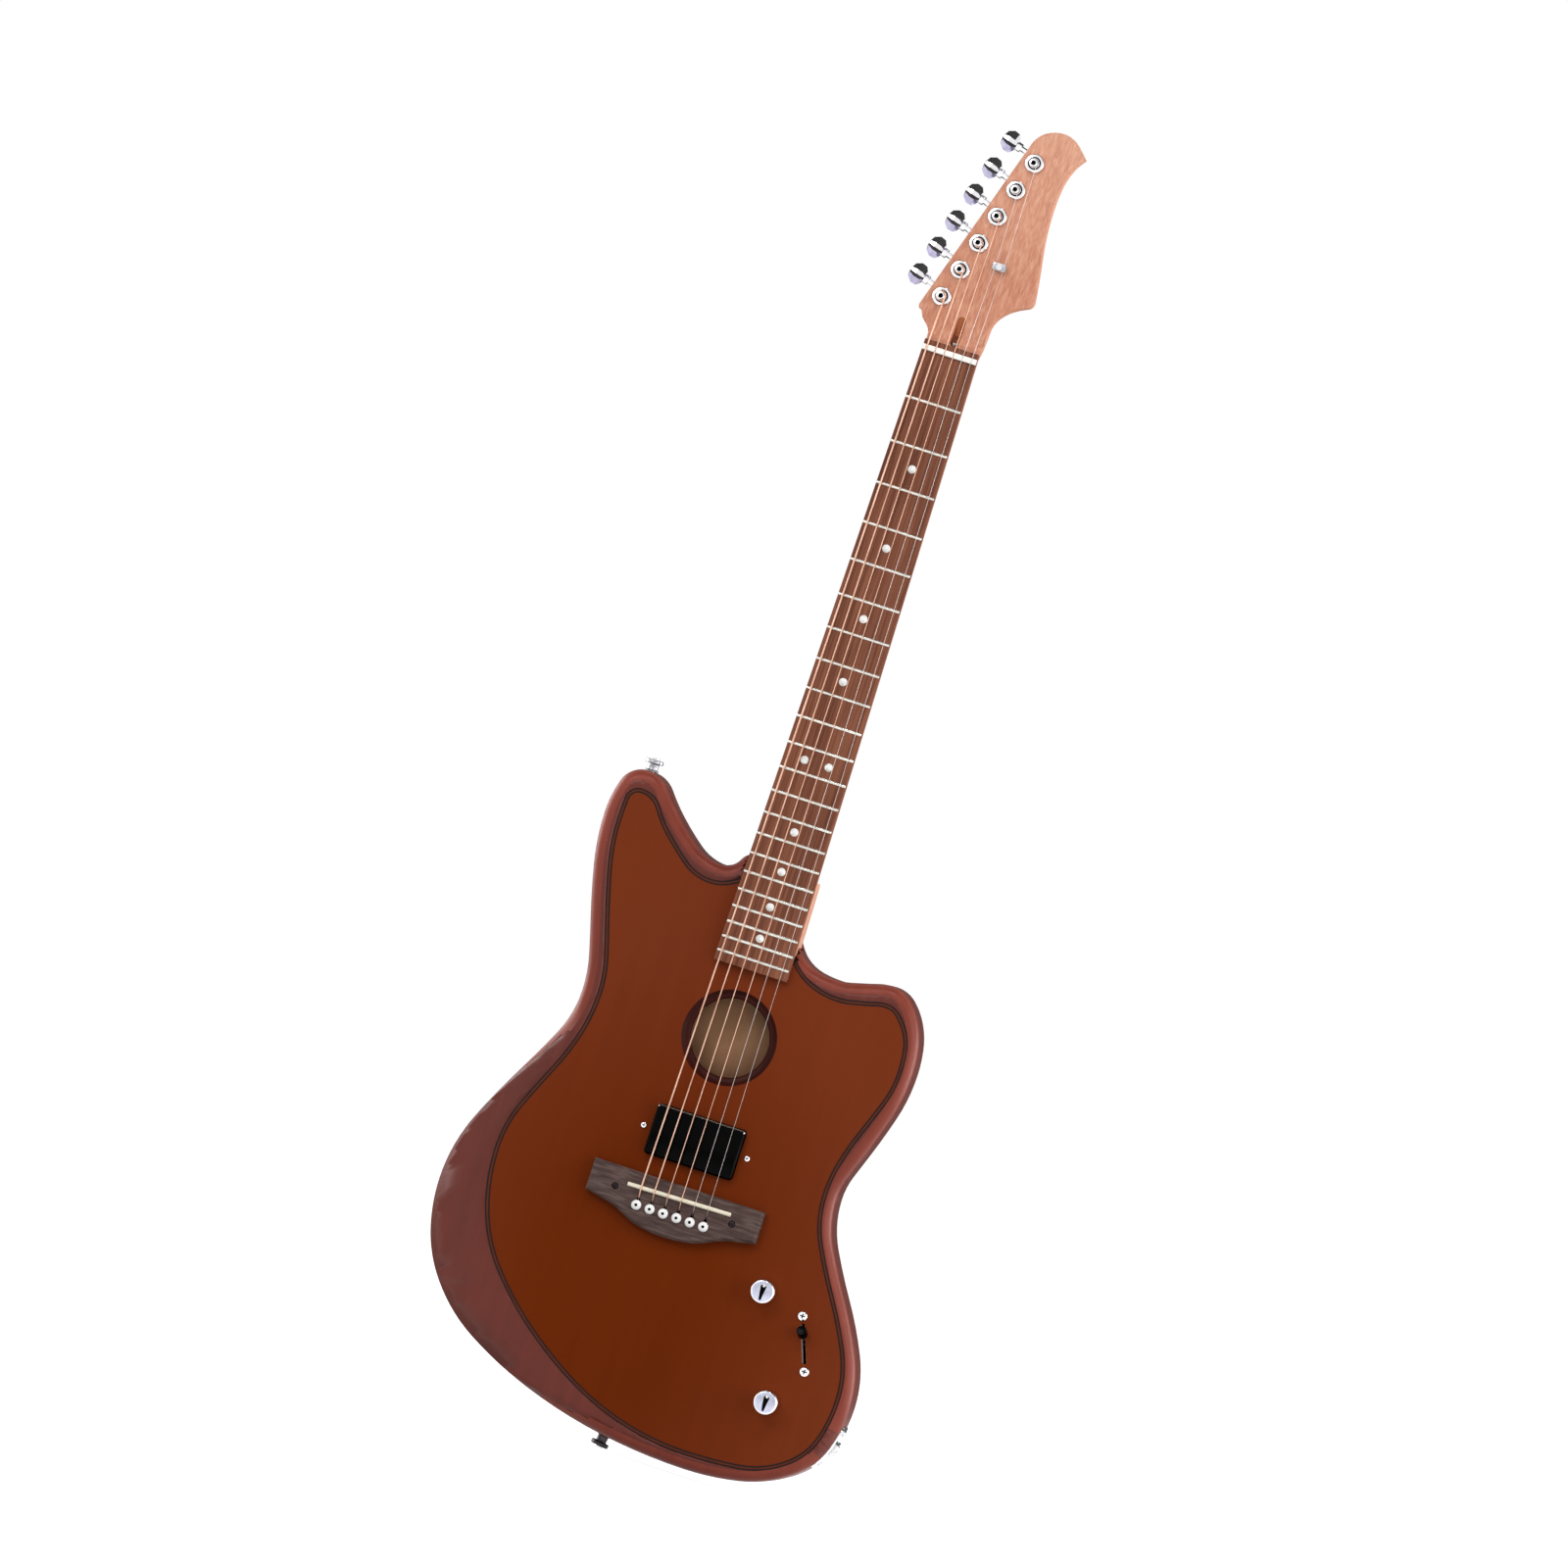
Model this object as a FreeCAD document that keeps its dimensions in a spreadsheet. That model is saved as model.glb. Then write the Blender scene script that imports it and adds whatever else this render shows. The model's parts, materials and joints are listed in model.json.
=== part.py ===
import FreeCAD
import Part
import Sketcher

import math
import os
import re

from FreeCAD import Placement, Rotation, Vector

# A semi-hollow electric guitar with a flat inlaid top, a pin bridge and six tuners in line.
# Frame in millimetres: X to the right seen from the front, Y from the front to the back and
# Z up the neck. The origin is on the flat back, behind the middle of the saddle.

SIZES = [
    ("overrun", 2.0, "how far a cutter passes a face"),
    ("scale_length", 648.0, "saddle line to the face of the nut"),
    # body
    ("body_width", 343.6, "widest part of the body"),
    ("body_length", 481.0, "bottom of the body to the tip of the long horn"),
    ("body_thickness", 45.0, "front to back"),
    ("front_round", 8.0, "radius of the front edge"),
    ("back_round", 7.0, "radius of the back edge"),
    ("bevel_depth", 11.0, "depth of the forearm bevel at the edge"),
    ("bevel_start", 0.4, "bevel outside the dark line"),
    ("bevel_overrun", 6.0, "how far the bevel's cutter passes the rim"),
    ("rim_margin", 12.0, "wood between the plate line and the chamber"),
    ("back_wall", 7.0, "wood left behind the chamber"),
    ("neck_block", 12.0, "wood between the neck pocket and the chamber"),
    # top plate
    ("top_thickness", 3.0, "inlaid top plate"),
    ("purfling_width", 3.5, "dark line round the top plate"),
    ("inlay_gap", 0.05, "glue line round an inlaid piece"),
    ("sound_hole_diameter", 66.0, "hole in the top plate"),
    ("sound_hole_height", 122.0, "above the saddle line"),
    ("sound_hole_lip", 2.6, "radius of the front edge of the hole"),
    ("collar_width", 8.0, "ring glued round the hole inside"),
    ("collar_thickness", 5.0, "ring glued round the hole inside"),
    ("brace_width", 8.0, "bars under the top plate"),
    ("brace_depth", 9.0, "bars under the top plate"),
    ("brace_slope", 14.0, "length of a bar's sloped end"),
    ("brace_tip", 2.0, "depth of a bar's end"),
    ("cross_brace_height", 72.0, "above the saddle line"),
    ("cross_brace_length", 170.0, "bar below the sound hole"),
    # neck
    ("nut_width", 42.0, "fretboard at the nut"),
    ("board_end_width", 56.5, "fretboard at its body end"),
    ("board_thickness", 6.5, "along the middle"),
    ("board_radius", 305.0, "crown of the fretboard"),
    ("board_overhang", 7.9, "board past the last fret"),
    ("board_strip", 4.0, "board above the nut"),
    ("board_lift", 0.8, "gap between the board and the top plate"),
    ("pocket_depth", 19.0, "neck pocket"),
    ("heel_gap", 0.2, "beside the heel in its pocket"),
    ("heel_setback", 2.0, "heel behind the end of the board"),
    ("heel_length", 74.0, "squared part of the heel"),
    ("heel_round", 5.0, "radius of the heel's upper end"),
    ("neck_depth_low", 17.0, "wood under the board at the heel"),
    ("neck_depth_high", 14.6, "wood under the board at the nut"),
    # head
    ("head_width", 84.3, "headstock, corner to tip"),
    ("head_length", 174.3, "headstock above the board"),
    ("head_drop", 10.0, "crown of the board to the face of the headstock"),
    ("head_thickness", 14.5, "headstock"),
    ("head_edge", 1.2, "radius of the headstock's edges"),
    ("head_scoop", 12.0, "radius of the ramp down to the headstock"),
    ("head_ramp_start", 3.3, "ramp above the board"),
    ("throat_length", 24.0, "neck to headstock at the back"),
    ("truss_slot_width", 6.5, "opening for the truss rod's nut"),
    ("truss_slot_depth", 6.0, "opening at its deep end"),
    ("truss_slot_start", 1.3, "opening above the board"),
    ("truss_slot_length", 22.0, "opening in the face of the headstock"),
    ("truss_rod_diameter", 4.8, "steel rod in the neck"),
    ("truss_nut_diameter", 5.6, "adjusting nut"),
    ("truss_nut_length", 7.0, "adjusting nut"),
    ("truss_key", 3.0, "hollow in the adjusting nut"),
    ("truss_key_depth", 4.0, "hollow in the adjusting nut"),
    ("truss_sink", 5.5, "middle of the rod under the board"),
    ("truss_rod_start", 205.0, "lower end of the rod above the saddle line"),
    ("truss_gap", 0.3, "round the rod and its nut"),
    # frets, dots and nut
    ("fret_count", 22, "frets"),
    ("fret_width", 2.4, "crown of a fret"),
    ("fret_height", 1.1, "crown of a fret"),
    ("dot_diameter", 6.0, "position dots"),
    ("dot_depth", 1.5, "position dots"),
    ("twin_dot_reach", 9.4, "twelfth-fret dots from the centre line"),
    ("dot_gap", 0.02, "round a position dot"),
    ("fret_inset", 0.3, "fret's end inside the board's edge"),
    ("fret_bevel", 0.7, "upper edges of a fret"),
    ("nut_thickness", 4.2, "nut"),
    ("nut_fit", 0.03, "round the nut in the board"),
    ("nut_bevel", 0.5, "upper edges of the nut"),
    ("nut_seat", 4.5, "nut sunk into the board"),
    ("nut_shoulder", 0.5, "nut above the bottom of its string slots"),
    # strings
    ("nut_string_span", 34.6, "outer strings at the nut"),
    ("saddle_string_span", 52.2, "outer strings at the saddle"),
    ("nut_string_lift", 1.8, "strings above the board at the nut"),
    ("saddle_string_lift", 12.2, "strings above the top plate at the saddle"),
    ("string_first", 0.30, "diameter"),
    ("string_second", 0.41, "diameter"),
    ("string_third", 0.61, "diameter"),
    ("string_fourth", 0.81, "diameter"),
    ("string_fifth", 1.07, "diameter"),
    ("string_sixth", 1.32, "diameter"),
    ("string_clearance", 0.03, "round a string in a slot or over an edge"),
    ("string_bend", 3.0, "radius of a string's bend"),
    ("coil_gap", 0.58, "between a string's turns on its post"),
    ("coil_clearance", 0.12, "between a string's turns and the post"),
    ("coil_turns", 2, "turns on a post"),
    ("ball_diameter", 4.0, "end of a string under the bridge plate"),
    ("ball_length", 3.0, "end of a string under the bridge plate"),
    # bridge
    ("bridge_width", 132.4, "across the strings"),
    ("bridge_front", 8.0, "front edge above the saddle line"),
    ("bridge_wing", 24.0, "height of the bridge's ends"),
    ("bridge_belly", 16.3, "belly below the ends"),
    ("bridge_thickness", 8.5, "above the top plate"),
    ("bridge_round", 2.0, "upper edge of the bridge"),
    ("saddle_length", 80.0, "across the strings"),
    ("saddle_thickness", 3.0, "along the strings"),
    ("saddle_offset", 3.0, "towards the thin strings"),
    ("saddle_seat", 5.0, "sunk into the bridge"),
    ("saddle_angle", 1.2, "degrees of slant"),
    ("saddle_bevel", 0.9, "upper edges of the saddle"),
    ("saddle_setback", 2.0, "middle of the saddle behind the saddle line"),
    ("pin_setback", 15.8, "pins behind the saddle line"),
    ("pin_head_diameter", 7.5, "bridge pins"),
    ("pin_head_height", 2.8, "bridge pins"),
    ("pin_shank_diameter", 5.0, "bridge pins"),
    ("pin_length", 22.0, "below the head"),
    ("pin_fit", 0.03, "round a pin"),
    ("string_hole_diameter", 2.6, "string hole in front of a pin"),
    ("string_ramp_width", 2.0, "ramp from a string hole towards the saddle"),
    ("string_hole_reach", 4.7, "string hole in front of a pin"),
    ("bridge_screw_reach", 45.6, "from the centre line"),
    ("bridge_screw_setback", 7.3, "behind the saddle line"),
    ("bridge_screw_diameter", 4.6, "head"),
    ("bridge_screw_sink", 1.5, "head sunk into the bridge"),
    ("bridge_screw_length", 12.0, "shank"),
    ("bridge_plate_width", 124.0, "plate under the top"),
    ("bridge_plate_height", 44.0, "plate under the top"),
    ("bridge_plate_thickness", 3.0, "plate under the top"),
    # pickup
    ("pickup_width", 67.9, "across the strings"),
    ("pickup_height", 37.6, "along the strings"),
    ("pickup_place", 41.6, "middle above the saddle line"),
    ("pickup_lift", 6.0, "cover above the top plate"),
    ("pickup_depth", 19.0, "cover, front to back"),
    ("pickup_corner", 2.2, "radius of the cover's corners"),
    ("pickup_bevel", 0.9, "bevel of the cover's front"),
    ("pickup_wall", 1.0, "cover"),
    ("pickup_gap", 0.6, "round the cover in the top plate"),
    ("pickup_plate", 1.6, "base plate"),
    ("pickup_ear_height", 15.0, "ears of the base plate"),
    ("pickup_ear_reach", 46.0, "ears from the centre line"),
    ("pickup_screw_reach", 40.3, "screws from the centre line"),
    ("pickup_screw_head", 4.6, "diameter"),
    ("pickup_screw_diameter", 2.2, "shank"),
    ("pickup_screw_length", 24.0, "shank"),
    ("coil_width", 13.0, "each coil along the strings"),
    ("sleeve_diameter", 5.0, "rubber sleeve round a screw"),
    # knobs and pots
    ("volume_x", 83.2, "volume knob"),
    ("volume_z", -47.0, "volume knob"),
    ("tone_x", 110.6, "tone knob"),
    ("tone_z", -123.7, "tone knob"),
    ("knob_diameter", 18.0, "knob"),
    ("knob_height", 14.0, "knob"),
    ("knob_gap", 0.8, "under the knob"),
    ("knob_round", 1.4, "upper edge of the knob"),
    ("scoop_length", 13.4, "pointer scoop in the knob"),
    ("scoop_wide", 4.6, "pointer scoop in the knob"),
    ("scoop_narrow", 1.8, "pointer scoop in the knob"),
    ("scoop_depth", 1.6, "pointer scoop in the knob"),
    ("shaft_diameter", 6.0, "pot shaft"),
    ("shaft_fit", 0.05, "round a turning shaft"),
    ("shaft_reach", 11.0, "shaft above the top plate"),
    ("pot_diameter", 24.0, "pot"),
    ("pot_depth", 11.0, "pot"),
    ("pot_bush_diameter", 9.4, "threaded bush"),
    ("pot_bush_reach", 2.6, "bush above the top plate"),
    ("pot_nut_width", 12.7, "across the flats"),
    ("pot_nut_thickness", 2.0, "nut under a knob"),
    ("nut_recess", 15.0, "hollow under a knob"),
    ("nut_recess_depth", 3.4, "hollow under a knob"),
    # switch
    ("switch_x", 122.5, "middle of the blade switch"),
    ("switch_z", -74.8, "middle of the blade switch"),
    ("switch_angle", 19.9, "degrees from the centre line"),
    ("switch_screw_spacing", 41.0, "screws of the switch"),
    ("switch_screw_head", 7.3, "diameter"),
    ("switch_screw_height", 1.8, "head"),
    ("switch_screw_shank", 3.4, "diameter"),
    ("switch_slot_length", 30.0, "slot in the top plate"),
    ("switch_slot_width", 3.0, "slot in the top plate"),
    ("switch_frame_slot", 2.2, "slot in the frame"),
    ("switch_frame_length", 50.0, "frame under the top plate"),
    ("switch_frame_width", 15.0, "frame under the top plate"),
    ("switch_frame_plate", 1.6, "frame under the top plate"),
    ("switch_box_length", 34.0, "cheeks of the frame"),
    ("switch_box_depth", 20.0, "cheeks of the frame"),
    ("switch_cheek", 1.6, "cheeks of the frame"),
    ("lever_pivot_depth", 14.0, "below the face of the top plate"),
    ("lever_thickness", 1.4, "blade"),
    ("lever_width", 5.0, "blade"),
    ("lever_reach", 8.0, "blade above the top plate"),
    ("lever_swing", 23.5, "degrees each way"),
    ("lever_pin_diameter", 3.0, "pivot of the blade"),
    ("tip_diameter", 7.4, "switch tip"),
    ("tip_length", 8.0, "switch tip"),
    ("tip_seat", 4.5, "blade inside the tip"),
    # jack
    ("jack_plate_length", 38.0, "along the rim"),
    ("jack_plate_height", 25.0, "front to back"),
    ("jack_plate_thickness", 1.5, "plate"),
    ("jack_plate_corner", 5.0, "radius"),
    ("jack_bore", 6.45, "takes a 6.35 mm plug"),
    ("jack_sleeve", 9.5, "threaded sleeve"),
    ("jack_depth", 27.0, "sleeve and housing inside the rim"),
    ("jack_housing", 17.0, "housing"),
    ("jack_nut", 13.0, "outer nut"),
    ("jack_nut_thickness", 2.2, "outer nut"),
    ("jack_seat_diameter", 20.0, "hole in the rim"),
    ("jack_seat_depth", 30.0, "hole in the rim"),
    ("jack_screw_spacing", 28.0, "plate screws"),
    # strap buttons
    ("strap_head_diameter", 13.5, "strap button"),
    ("strap_neck_diameter", 8.0, "strap button"),
    ("strap_height", 9.0, "strap button"),
    ("strap_screw_diameter", 3.6, "shank"),
    ("strap_screw_length", 24.0, "shank"),
    ("strap_screw_head", 6.4, "head"),
    # back
    ("cover_thickness", 2.0, "control cover"),
    ("cover_gap", 0.25, "round the control cover"),
    ("cover_ledge", 6.0, "ledge under the control cover"),
    ("cover_corner", 14.0, "radius"),
    ("ferrule_diameter", 12.0, "neck screw ferrules"),
    ("ferrule_depth", 3.0, "neck screw ferrules"),
    ("neck_screw_diameter", 4.4, "shank"),
    ("neck_screw_head", 8.4, "head"),
    ("neck_screw_bite", 13.0, "screw in the heel"),
    ("small_screw_diameter", 2.2, "shank"),
    ("small_screw_head", 4.4, "head"),
    ("small_screw_length", 10.0, "shank"),
    ("screw_head_height", 1.4, "heads of the small screws"),
    ("screw_gap", 0.25, "round a screw in its hole"),
    ("cover_screw_length", 5.0, "shank"),
    ("neck_screw_length", 36.0, "screw from the back into the heel"),
    # tuners
    ("tuner_count", 6, "tuners"),
    ("tuner_pitch", 23.8, "along the row"),
    ("tuner_tilt", 17.2, "degrees between the row and the neck"),
    ("tuner_first_x", -19.8, "first post"),
    ("tuner_first_rise", 33.3, "first post above the board"),
    ("post_diameter", 6.0, "tuner post"),
    ("post_waist", 5.0, "tuner post where the string winds"),
    ("post_reach", 9.7, "post above the face of the headstock"),
    ("post_waist_length", 5.3, "tuner post"),
    ("post_rim", 1.2, "post above its waist"),
    ("post_hole", 1.8, "hole across the post and in its end"),
    ("post_fit", 0.05, "round the post in its bush"),
    ("bush_diameter", 10.0, "tuner bush in the headstock"),
    ("bush_fit", 0.05, "round the bush"),
    ("flange_diameter", 14.2, "bush on the face of the headstock"),
    ("flange_thickness", 1.3, "bush on the face of the headstock"),
    ("bush_nose", 10.2, "raised ring of the bush"),
    ("bush_nose_height", 1.5, "raised ring of the bush"),
    ("bush_depth", 12.0, "bush inside the headstock"),
    ("gear_diameter", 9.0, "wheel on the post"),
    ("gear_thickness", 3.0, "wheel on the post"),
    ("gear_start", 1.0, "wheel behind the headstock"),
    ("gear_gap", 0.3, "round the wheel"),
    ("case_length", 15.6, "tuner case along the row"),
    ("case_width", 18.3, "tuner case across the row"),
    ("case_depth", 10.6, "tuner case behind the headstock"),
    ("case_inner", 8.0, "case on the inner side of the post"),
    ("case_lower", 7.2, "case below the post"),
    ("case_round", 2.2, "edges of the case"),
    ("ear_width", 5.6, "ear of the case that its screw holds"),
    ("ear_thickness", 1.2, "ear of the case that its screw holds"),
    ("worm_offset", 3.6, "shaft beside the post"),
    ("worm_depth", 7.2, "shaft behind the headstock"),
    ("worm_diameter", 4.4, "worm in the case"),
    ("worm_start", -5.6, "inner end of the worm from the post"),
    ("key_shaft_diameter", 3.9, "shaft outside the case"),
    ("collar_diameter", 6.6, "flared collar of the button"),
    ("collar_start", 18.0, "collar from the post"),
    ("collar_length", 3.4, "flared collar of the button"),
    ("button_start", 21.4, "button from the post"),
    ("button_length", 12.4, "button along its shaft"),
    ("button_width", 16.6, "button across its shaft"),
    ("button_thickness", 7.6, "button"),
    ("button_bevel", 2.4, "edges of the button"),
    # string tree
    ("tree_x", 14.6, "string tree"),
    ("tree_rise", 66.3, "string tree above the board"),
    ("tree_string_reach", 3.25, "string from the middle of the tree"),
    ("tree_length", 10.4, "across the strings"),
    ("tree_width", 5.6, "along the strings"),
    ("tree_plate", 1.4, "wings"),
    ("tree_lift", 4.4, "wings above the headstock"),
    ("tree_post", 3.6, "diameter"),
]

# Outlines seen from the front, anticlockwise: shares of the width and the length that they
# follow, and the heading of the curve there in degrees.
BODY_OUTLINE_SHARES = [
    (0.3254, 0.0707, 90), (0.3533, 0.1455, 70), (0.3984, 0.2869, 90), (0.3754, 0.3638, 118),
    (0.2983, 0.4060, 180), (0.2387, 0.3967, 195), (0.1819, 0.3888, 180), (0.0978, 0.4052, 141),
    (0.0582, 0.4407, 130), (-0.0378, 0.5227, 130), (-0.0655, 0.5333, 180), (-0.0972, 0.5189, 245),
    (-0.1324, 0.5029, 180), (-0.2550, 0.5532, 136), (-0.3478, 0.6046, 180), (-0.4109, 0.5239, 270),
    (-0.3696, 0.3638, 286.5), (-0.3376, 0.2536, 270), (-0.4086, 0.1143, 241), (-0.5090, -0.0894, 270),
    (-0.4520, -0.2287, 305), (-0.1868, -0.3518, 341), (0.1892, -0.3954, 0), (0.4211, -0.3501, 38),
    (0.4910, -0.2287, 90), (0.4083, -0.0728, 123),
]
PLATE_OUTLINE_SHARES = [
    (0.3009, 0.0707, 90), (0.3324, 0.1767, 69), (0.3734, 0.2848, 90), (0.3519, 0.3493, 125),
    (0.3012, 0.3746, 180), (0.2532, 0.3672, 192), (0.1979, 0.3605, 180), (0.1167, 0.3753, 150),
    (0.0582, 0.4158, 135), (-0.0349, 0.4990, 180), (-0.0786, 0.4896, 215), (-0.1426, 0.4726, 180),
    (-0.2619, 0.5218, 137), (-0.3449, 0.5717, 180), (-0.3725, 0.5198, 270), (-0.3327, 0.3742, 286.6),
    (-0.2966, 0.2578, 270), (-0.3393, 0.1299, 245), (-0.4051, -0.0166, 270), (-0.3187, -0.1933, 311),
    (-0.1004, -0.3170, 331), (0.1834, -0.3701, 0), (0.4066, -0.3326, 40), (0.4633, -0.2225, 90),
    (0.3859, -0.0780, 122.5),
]
# The bevel lies between these points of the two outlines, from the waist to the bottom.
BEVEL_FIRST_BODY_POINT = 17
BEVEL_FIRST_PLATE_POINT = 16
BEVEL_DEPTH_SHARES = [0.06, 0.45, 0.82, 1.0, 1.0, 1.0, 0.9, 0.5, 0.06]
JACK_BODY_POINT = 23
HORN_BODY_POINT = 14
TAIL_BODY_POINT = 21

HEAD_OUTLINE_SHARES = [
    (0.2467, 0.0333, 90), (0.3025, 0.1796, 52), (0.5101, 0.2513, 22), (0.5480, 0.2857, 97),
    (0.4531, 0.6758, 90), (0.5160, 0.8652, 66), (0.5919, 0.9225, 50, 132), (0.3499, 1.0, 180),
    (0.1008, 0.9168, 252.6), (-0.4033, 0.1383, 252.6), (-0.3713, 0.0975, 311), (-0.2467, 0.0103, 270),
]
# Corners of the right half of a tuner's button, as shares of its width and length.
BUTTON_CORNER_SHARES = [(0.142, 0.0), (0.31, 0.07), (0.48, 0.26), (0.5, 0.6), (0.31, 0.93), (0.12, 1.0)]
BRIDGE_BELLY_SHARES = [
    (-0.5, 0.0, -12), (-0.25, 0.583, -28), (0.0, 1.0, 0), (0.25, 0.583, 28), (0.5, 0.0, 12)
]
# Corners of the control cover, as shares of the body's width and length.
COVER_CORNER_SHARES = [
    (0.190, -0.040), (0.345, -0.040), (0.432, -0.160), (0.432, -0.240), (0.368, -0.310), (0.245, -0.310),
]
# Neck screws from the centre line and above the lower end of the heel, as shares of its sizes.
NECK_SCREW_SHARES = [(-0.32, 0.14), (0.29, 0.14), (-0.32, 0.78), (0.11, 0.42)]
SINGLE_DOT_FRETS = [3, 5, 7, 9, 15, 17, 19, 21]
TWIN_DOT_FRET = 12
# Bars under the top from end to end, as shares of the body's width and length.
LONG_BRACE_SHARES = [
    ((-0.16, 0.17), (-0.21, 0.35)), ((0.16, 0.17), (0.20, 0.33)),
    ((-0.06, -0.08), (-0.125, -0.25)), ((0.06, -0.08), (0.10, -0.30)),
]
COVER_SCREW_SHARE = 0.13
STRINGS = ["string_sixth", "string_fifth", "string_fourth", "string_third", "string_second", "string_first"]
WOUND_STRING_COUNT = 4

doc = FreeCAD.newDocument("SemiHollowGuitar")
sheet = doc.addObject("Spreadsheet::Sheet", "Sizes")
for row, (alias, value, note) in enumerate(SIZES, start=1):
    sheet.set(f"A{row}", alias)
    sheet.set(f"B{row}", str(value))
    sheet.set(f"C{row}", note)
    sheet.setAlias(f"B{row}", alias)
doc.recompute()
ALIASES = {alias for alias, value, note in SIZES}
nodes = []

ALONG_Y = Rotation(Vector(1, 0, 0), -90)
FRONT_VIEW = Rotation(Vector(1, 0, 0), 90)


def cells(text):
    """The text of a sum with each size's name pointing at its cell."""
    return re.sub(r"[a-z_]+", lambda word: f"Sizes.{word[0]}" if word[0] in ALIASES else word[0], text)


def mm(text):
    """The value of a sum over the sizes."""
    return float(sheet.evalExpression(cells(text)))


def bind(item, **sums):
    """Ties properties of a document object to sums over the sizes."""
    for name, text in sums.items():
        item.setExpression(name.replace("__", "."), cells(text))


def place(item, x="0", y="0", z="0", turn=None):
    """Puts an object at sums over the sizes, with a fixed turn."""
    item.Placement = Placement(Vector(mm(x), mm(y), mm(z)), turn or Rotation())
    bind(item, Placement__Base__x=x, Placement__Base__y=y, Placement__Base__z=z)
    return item


def node(name, item):
    """Names a finished sub-part and keeps it for export."""
    item.Label = name
    nodes.append(item)
    return item


def box(name, width, depth, height, x="0", y="0", z="0", turn=None):
    """Block from one corner: width along X, depth along Y, height along Z."""
    item = doc.addObject("Part::Box", name)
    bind(item, Length=width, Width=depth, Height=height)
    return place(item, x, y, z, turn)


def cylinder(name, diameter, length, x="0", y="0", z="0", turn=ALONG_Y):
    """Cylinder that starts at a point and runs to the back, or along its turned axis."""
    item = doc.addObject("Part::Cylinder", name)
    bind(item, Radius=f"({diameter}) / 2", Height=length)
    return place(item, x, y, z, turn)


def prism(name, diameter, length, x="0", y="0", z="0", turn=ALONG_Y, sides=12):
    """Many-sided rod with a diameter across its flats, from a point to the back or along its axis."""
    item = doc.addObject("Part::Prism", name)
    item.Polygon = sides
    bind(item, Circumradius=f"({diameter}) / 2 / cos(180 deg / {sides})", Height=length)
    return place(item, x, y, z, turn)


def joined(name, pieces):
    """Pieces made one solid."""
    item = doc.addObject("Part::MultiFuse", name)
    item.Shapes = list(pieces)
    return item


def group(name, pieces):
    """Separate solids kept together as one sub-part."""
    item = doc.addObject("Part::Compound", name)
    item.Links = list(pieces)
    return item


def cut(name, base, cutters):
    """A piece with the cutters taken out of it."""
    item = doc.addObject("Part::Cut", name)
    item.Base = base
    item.Tool = cutters[0] if len(cutters) == 1 else joined(name + "_cutters", cutters)
    return item


def common(name, first, second):
    """What two pieces share."""
    item = doc.addObject("Part::MultiCommon", name)
    item.Shapes = [first, second]
    return item


def solid(name, shape):
    """A shape made with Part's own functions, as a document object."""
    item = doc.addObject("Part::Feature", name)
    item.Shape = shape
    return item


def origin_plane(body, role):
    """One of a body's own origin planes."""
    return next(feature for feature in body.Origin.OriginFeatures if feature.Role == role)


def new_sketch(body, role, name):
    """A sketch on one of a body's own origin planes."""
    sketch = body.newObject("Sketcher::SketchObject", name)
    sketch.AttachmentSupport = [(origin_plane(body, role), "")]
    sketch.MapMode = "FlatFace"
    return sketch


def draw_corners(sketch, corners):
    """Draws a closed loop of lines whose corners are tied to sums over the sizes."""
    points = [Vector(mm(across), mm(along), 0) for across, along in corners]
    count = len(points)
    lines = [Part.LineSegment(points[i], points[(i + 1) % count]) for i in range(count)]
    sketch.addGeometry(lines, False)
    for i in range(count):
        sketch.addConstraint(Sketcher.Constraint("Coincident", i, 2, (i + 1) % count, 1))
    for i, (across, along) in enumerate(corners):
        for kind, text, value, axis in (
            ("DistanceX", across, points[i].x, -2),
            ("DistanceY", along, points[i].y, -1),
        ):
            if abs(value) < 1e-9:
                sketch.addConstraint(Sketcher.Constraint("PointOnObject", i, 1, axis))
            else:
                index = sketch.addConstraint(Sketcher.Constraint(kind, i, 1, value))
                sketch.setExpression(f"Constraints[{index}]", cells(text))


def slab(name, edges, front, depth):
    """Plate with an outline drawn from the front, from Y = front to the back."""
    body = doc.addObject("PartDesign::Body", name)
    sketch = new_sketch(body, "XZ_Plane", name + "_outline")
    sketch.addGeometry(edges, False)
    sketch.setExpression("AttachmentOffset.Base.z", cells(f"-({front})"))
    pad = body.newObject("PartDesign::Pad", name + "_pad")
    pad.Profile = sketch
    pad.Reversed = True
    bind(pad, Length=depth)
    return body


def soften(body, radius, wanted, kind="Fillet"):
    """Rounds or bevels the edges of a body that a test picks."""
    doc.recompute()
    base = body.Tip
    picked = [f"Edge{i}" for i, edge in enumerate(base.Shape.Edges, start=1) if wanted(edge)]
    dress = body.newObject(f"PartDesign::{kind}", f"{body.Name}_{kind.lower()}")
    dress.Base = (base, picked)
    bind(dress, **{"Radius" if kind == "Fillet" else "Size": radius})
    return body


def flat_at(level):
    """Test for edges that lie at one place along Y."""
    return lambda edge: edge.BoundBox.YLength < 1e-6 and abs(edge.BoundBox.YMin - level) < 1e-6


def heading(degrees):
    """Unit vector in a front view's drawing plane."""
    return Vector(math.cos(math.radians(degrees)), math.sin(math.radians(degrees)), 0)


def arc_from(start, way, end):
    """Arc that leaves start along way and passes through end, or a line if it is straight."""
    chord = end - start
    side = way - chord * (way.dot(chord) / chord.dot(chord))
    if side.Length < 1e-6:
        return Part.LineSegment(start, end)
    bulge = chord.Length / 2 * math.tan(chord.getAngle(way) / 2)
    middle = (start + end) / 2 + side.normalize() * bulge
    return Part.ArcOfCircle(start, middle, end)


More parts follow.
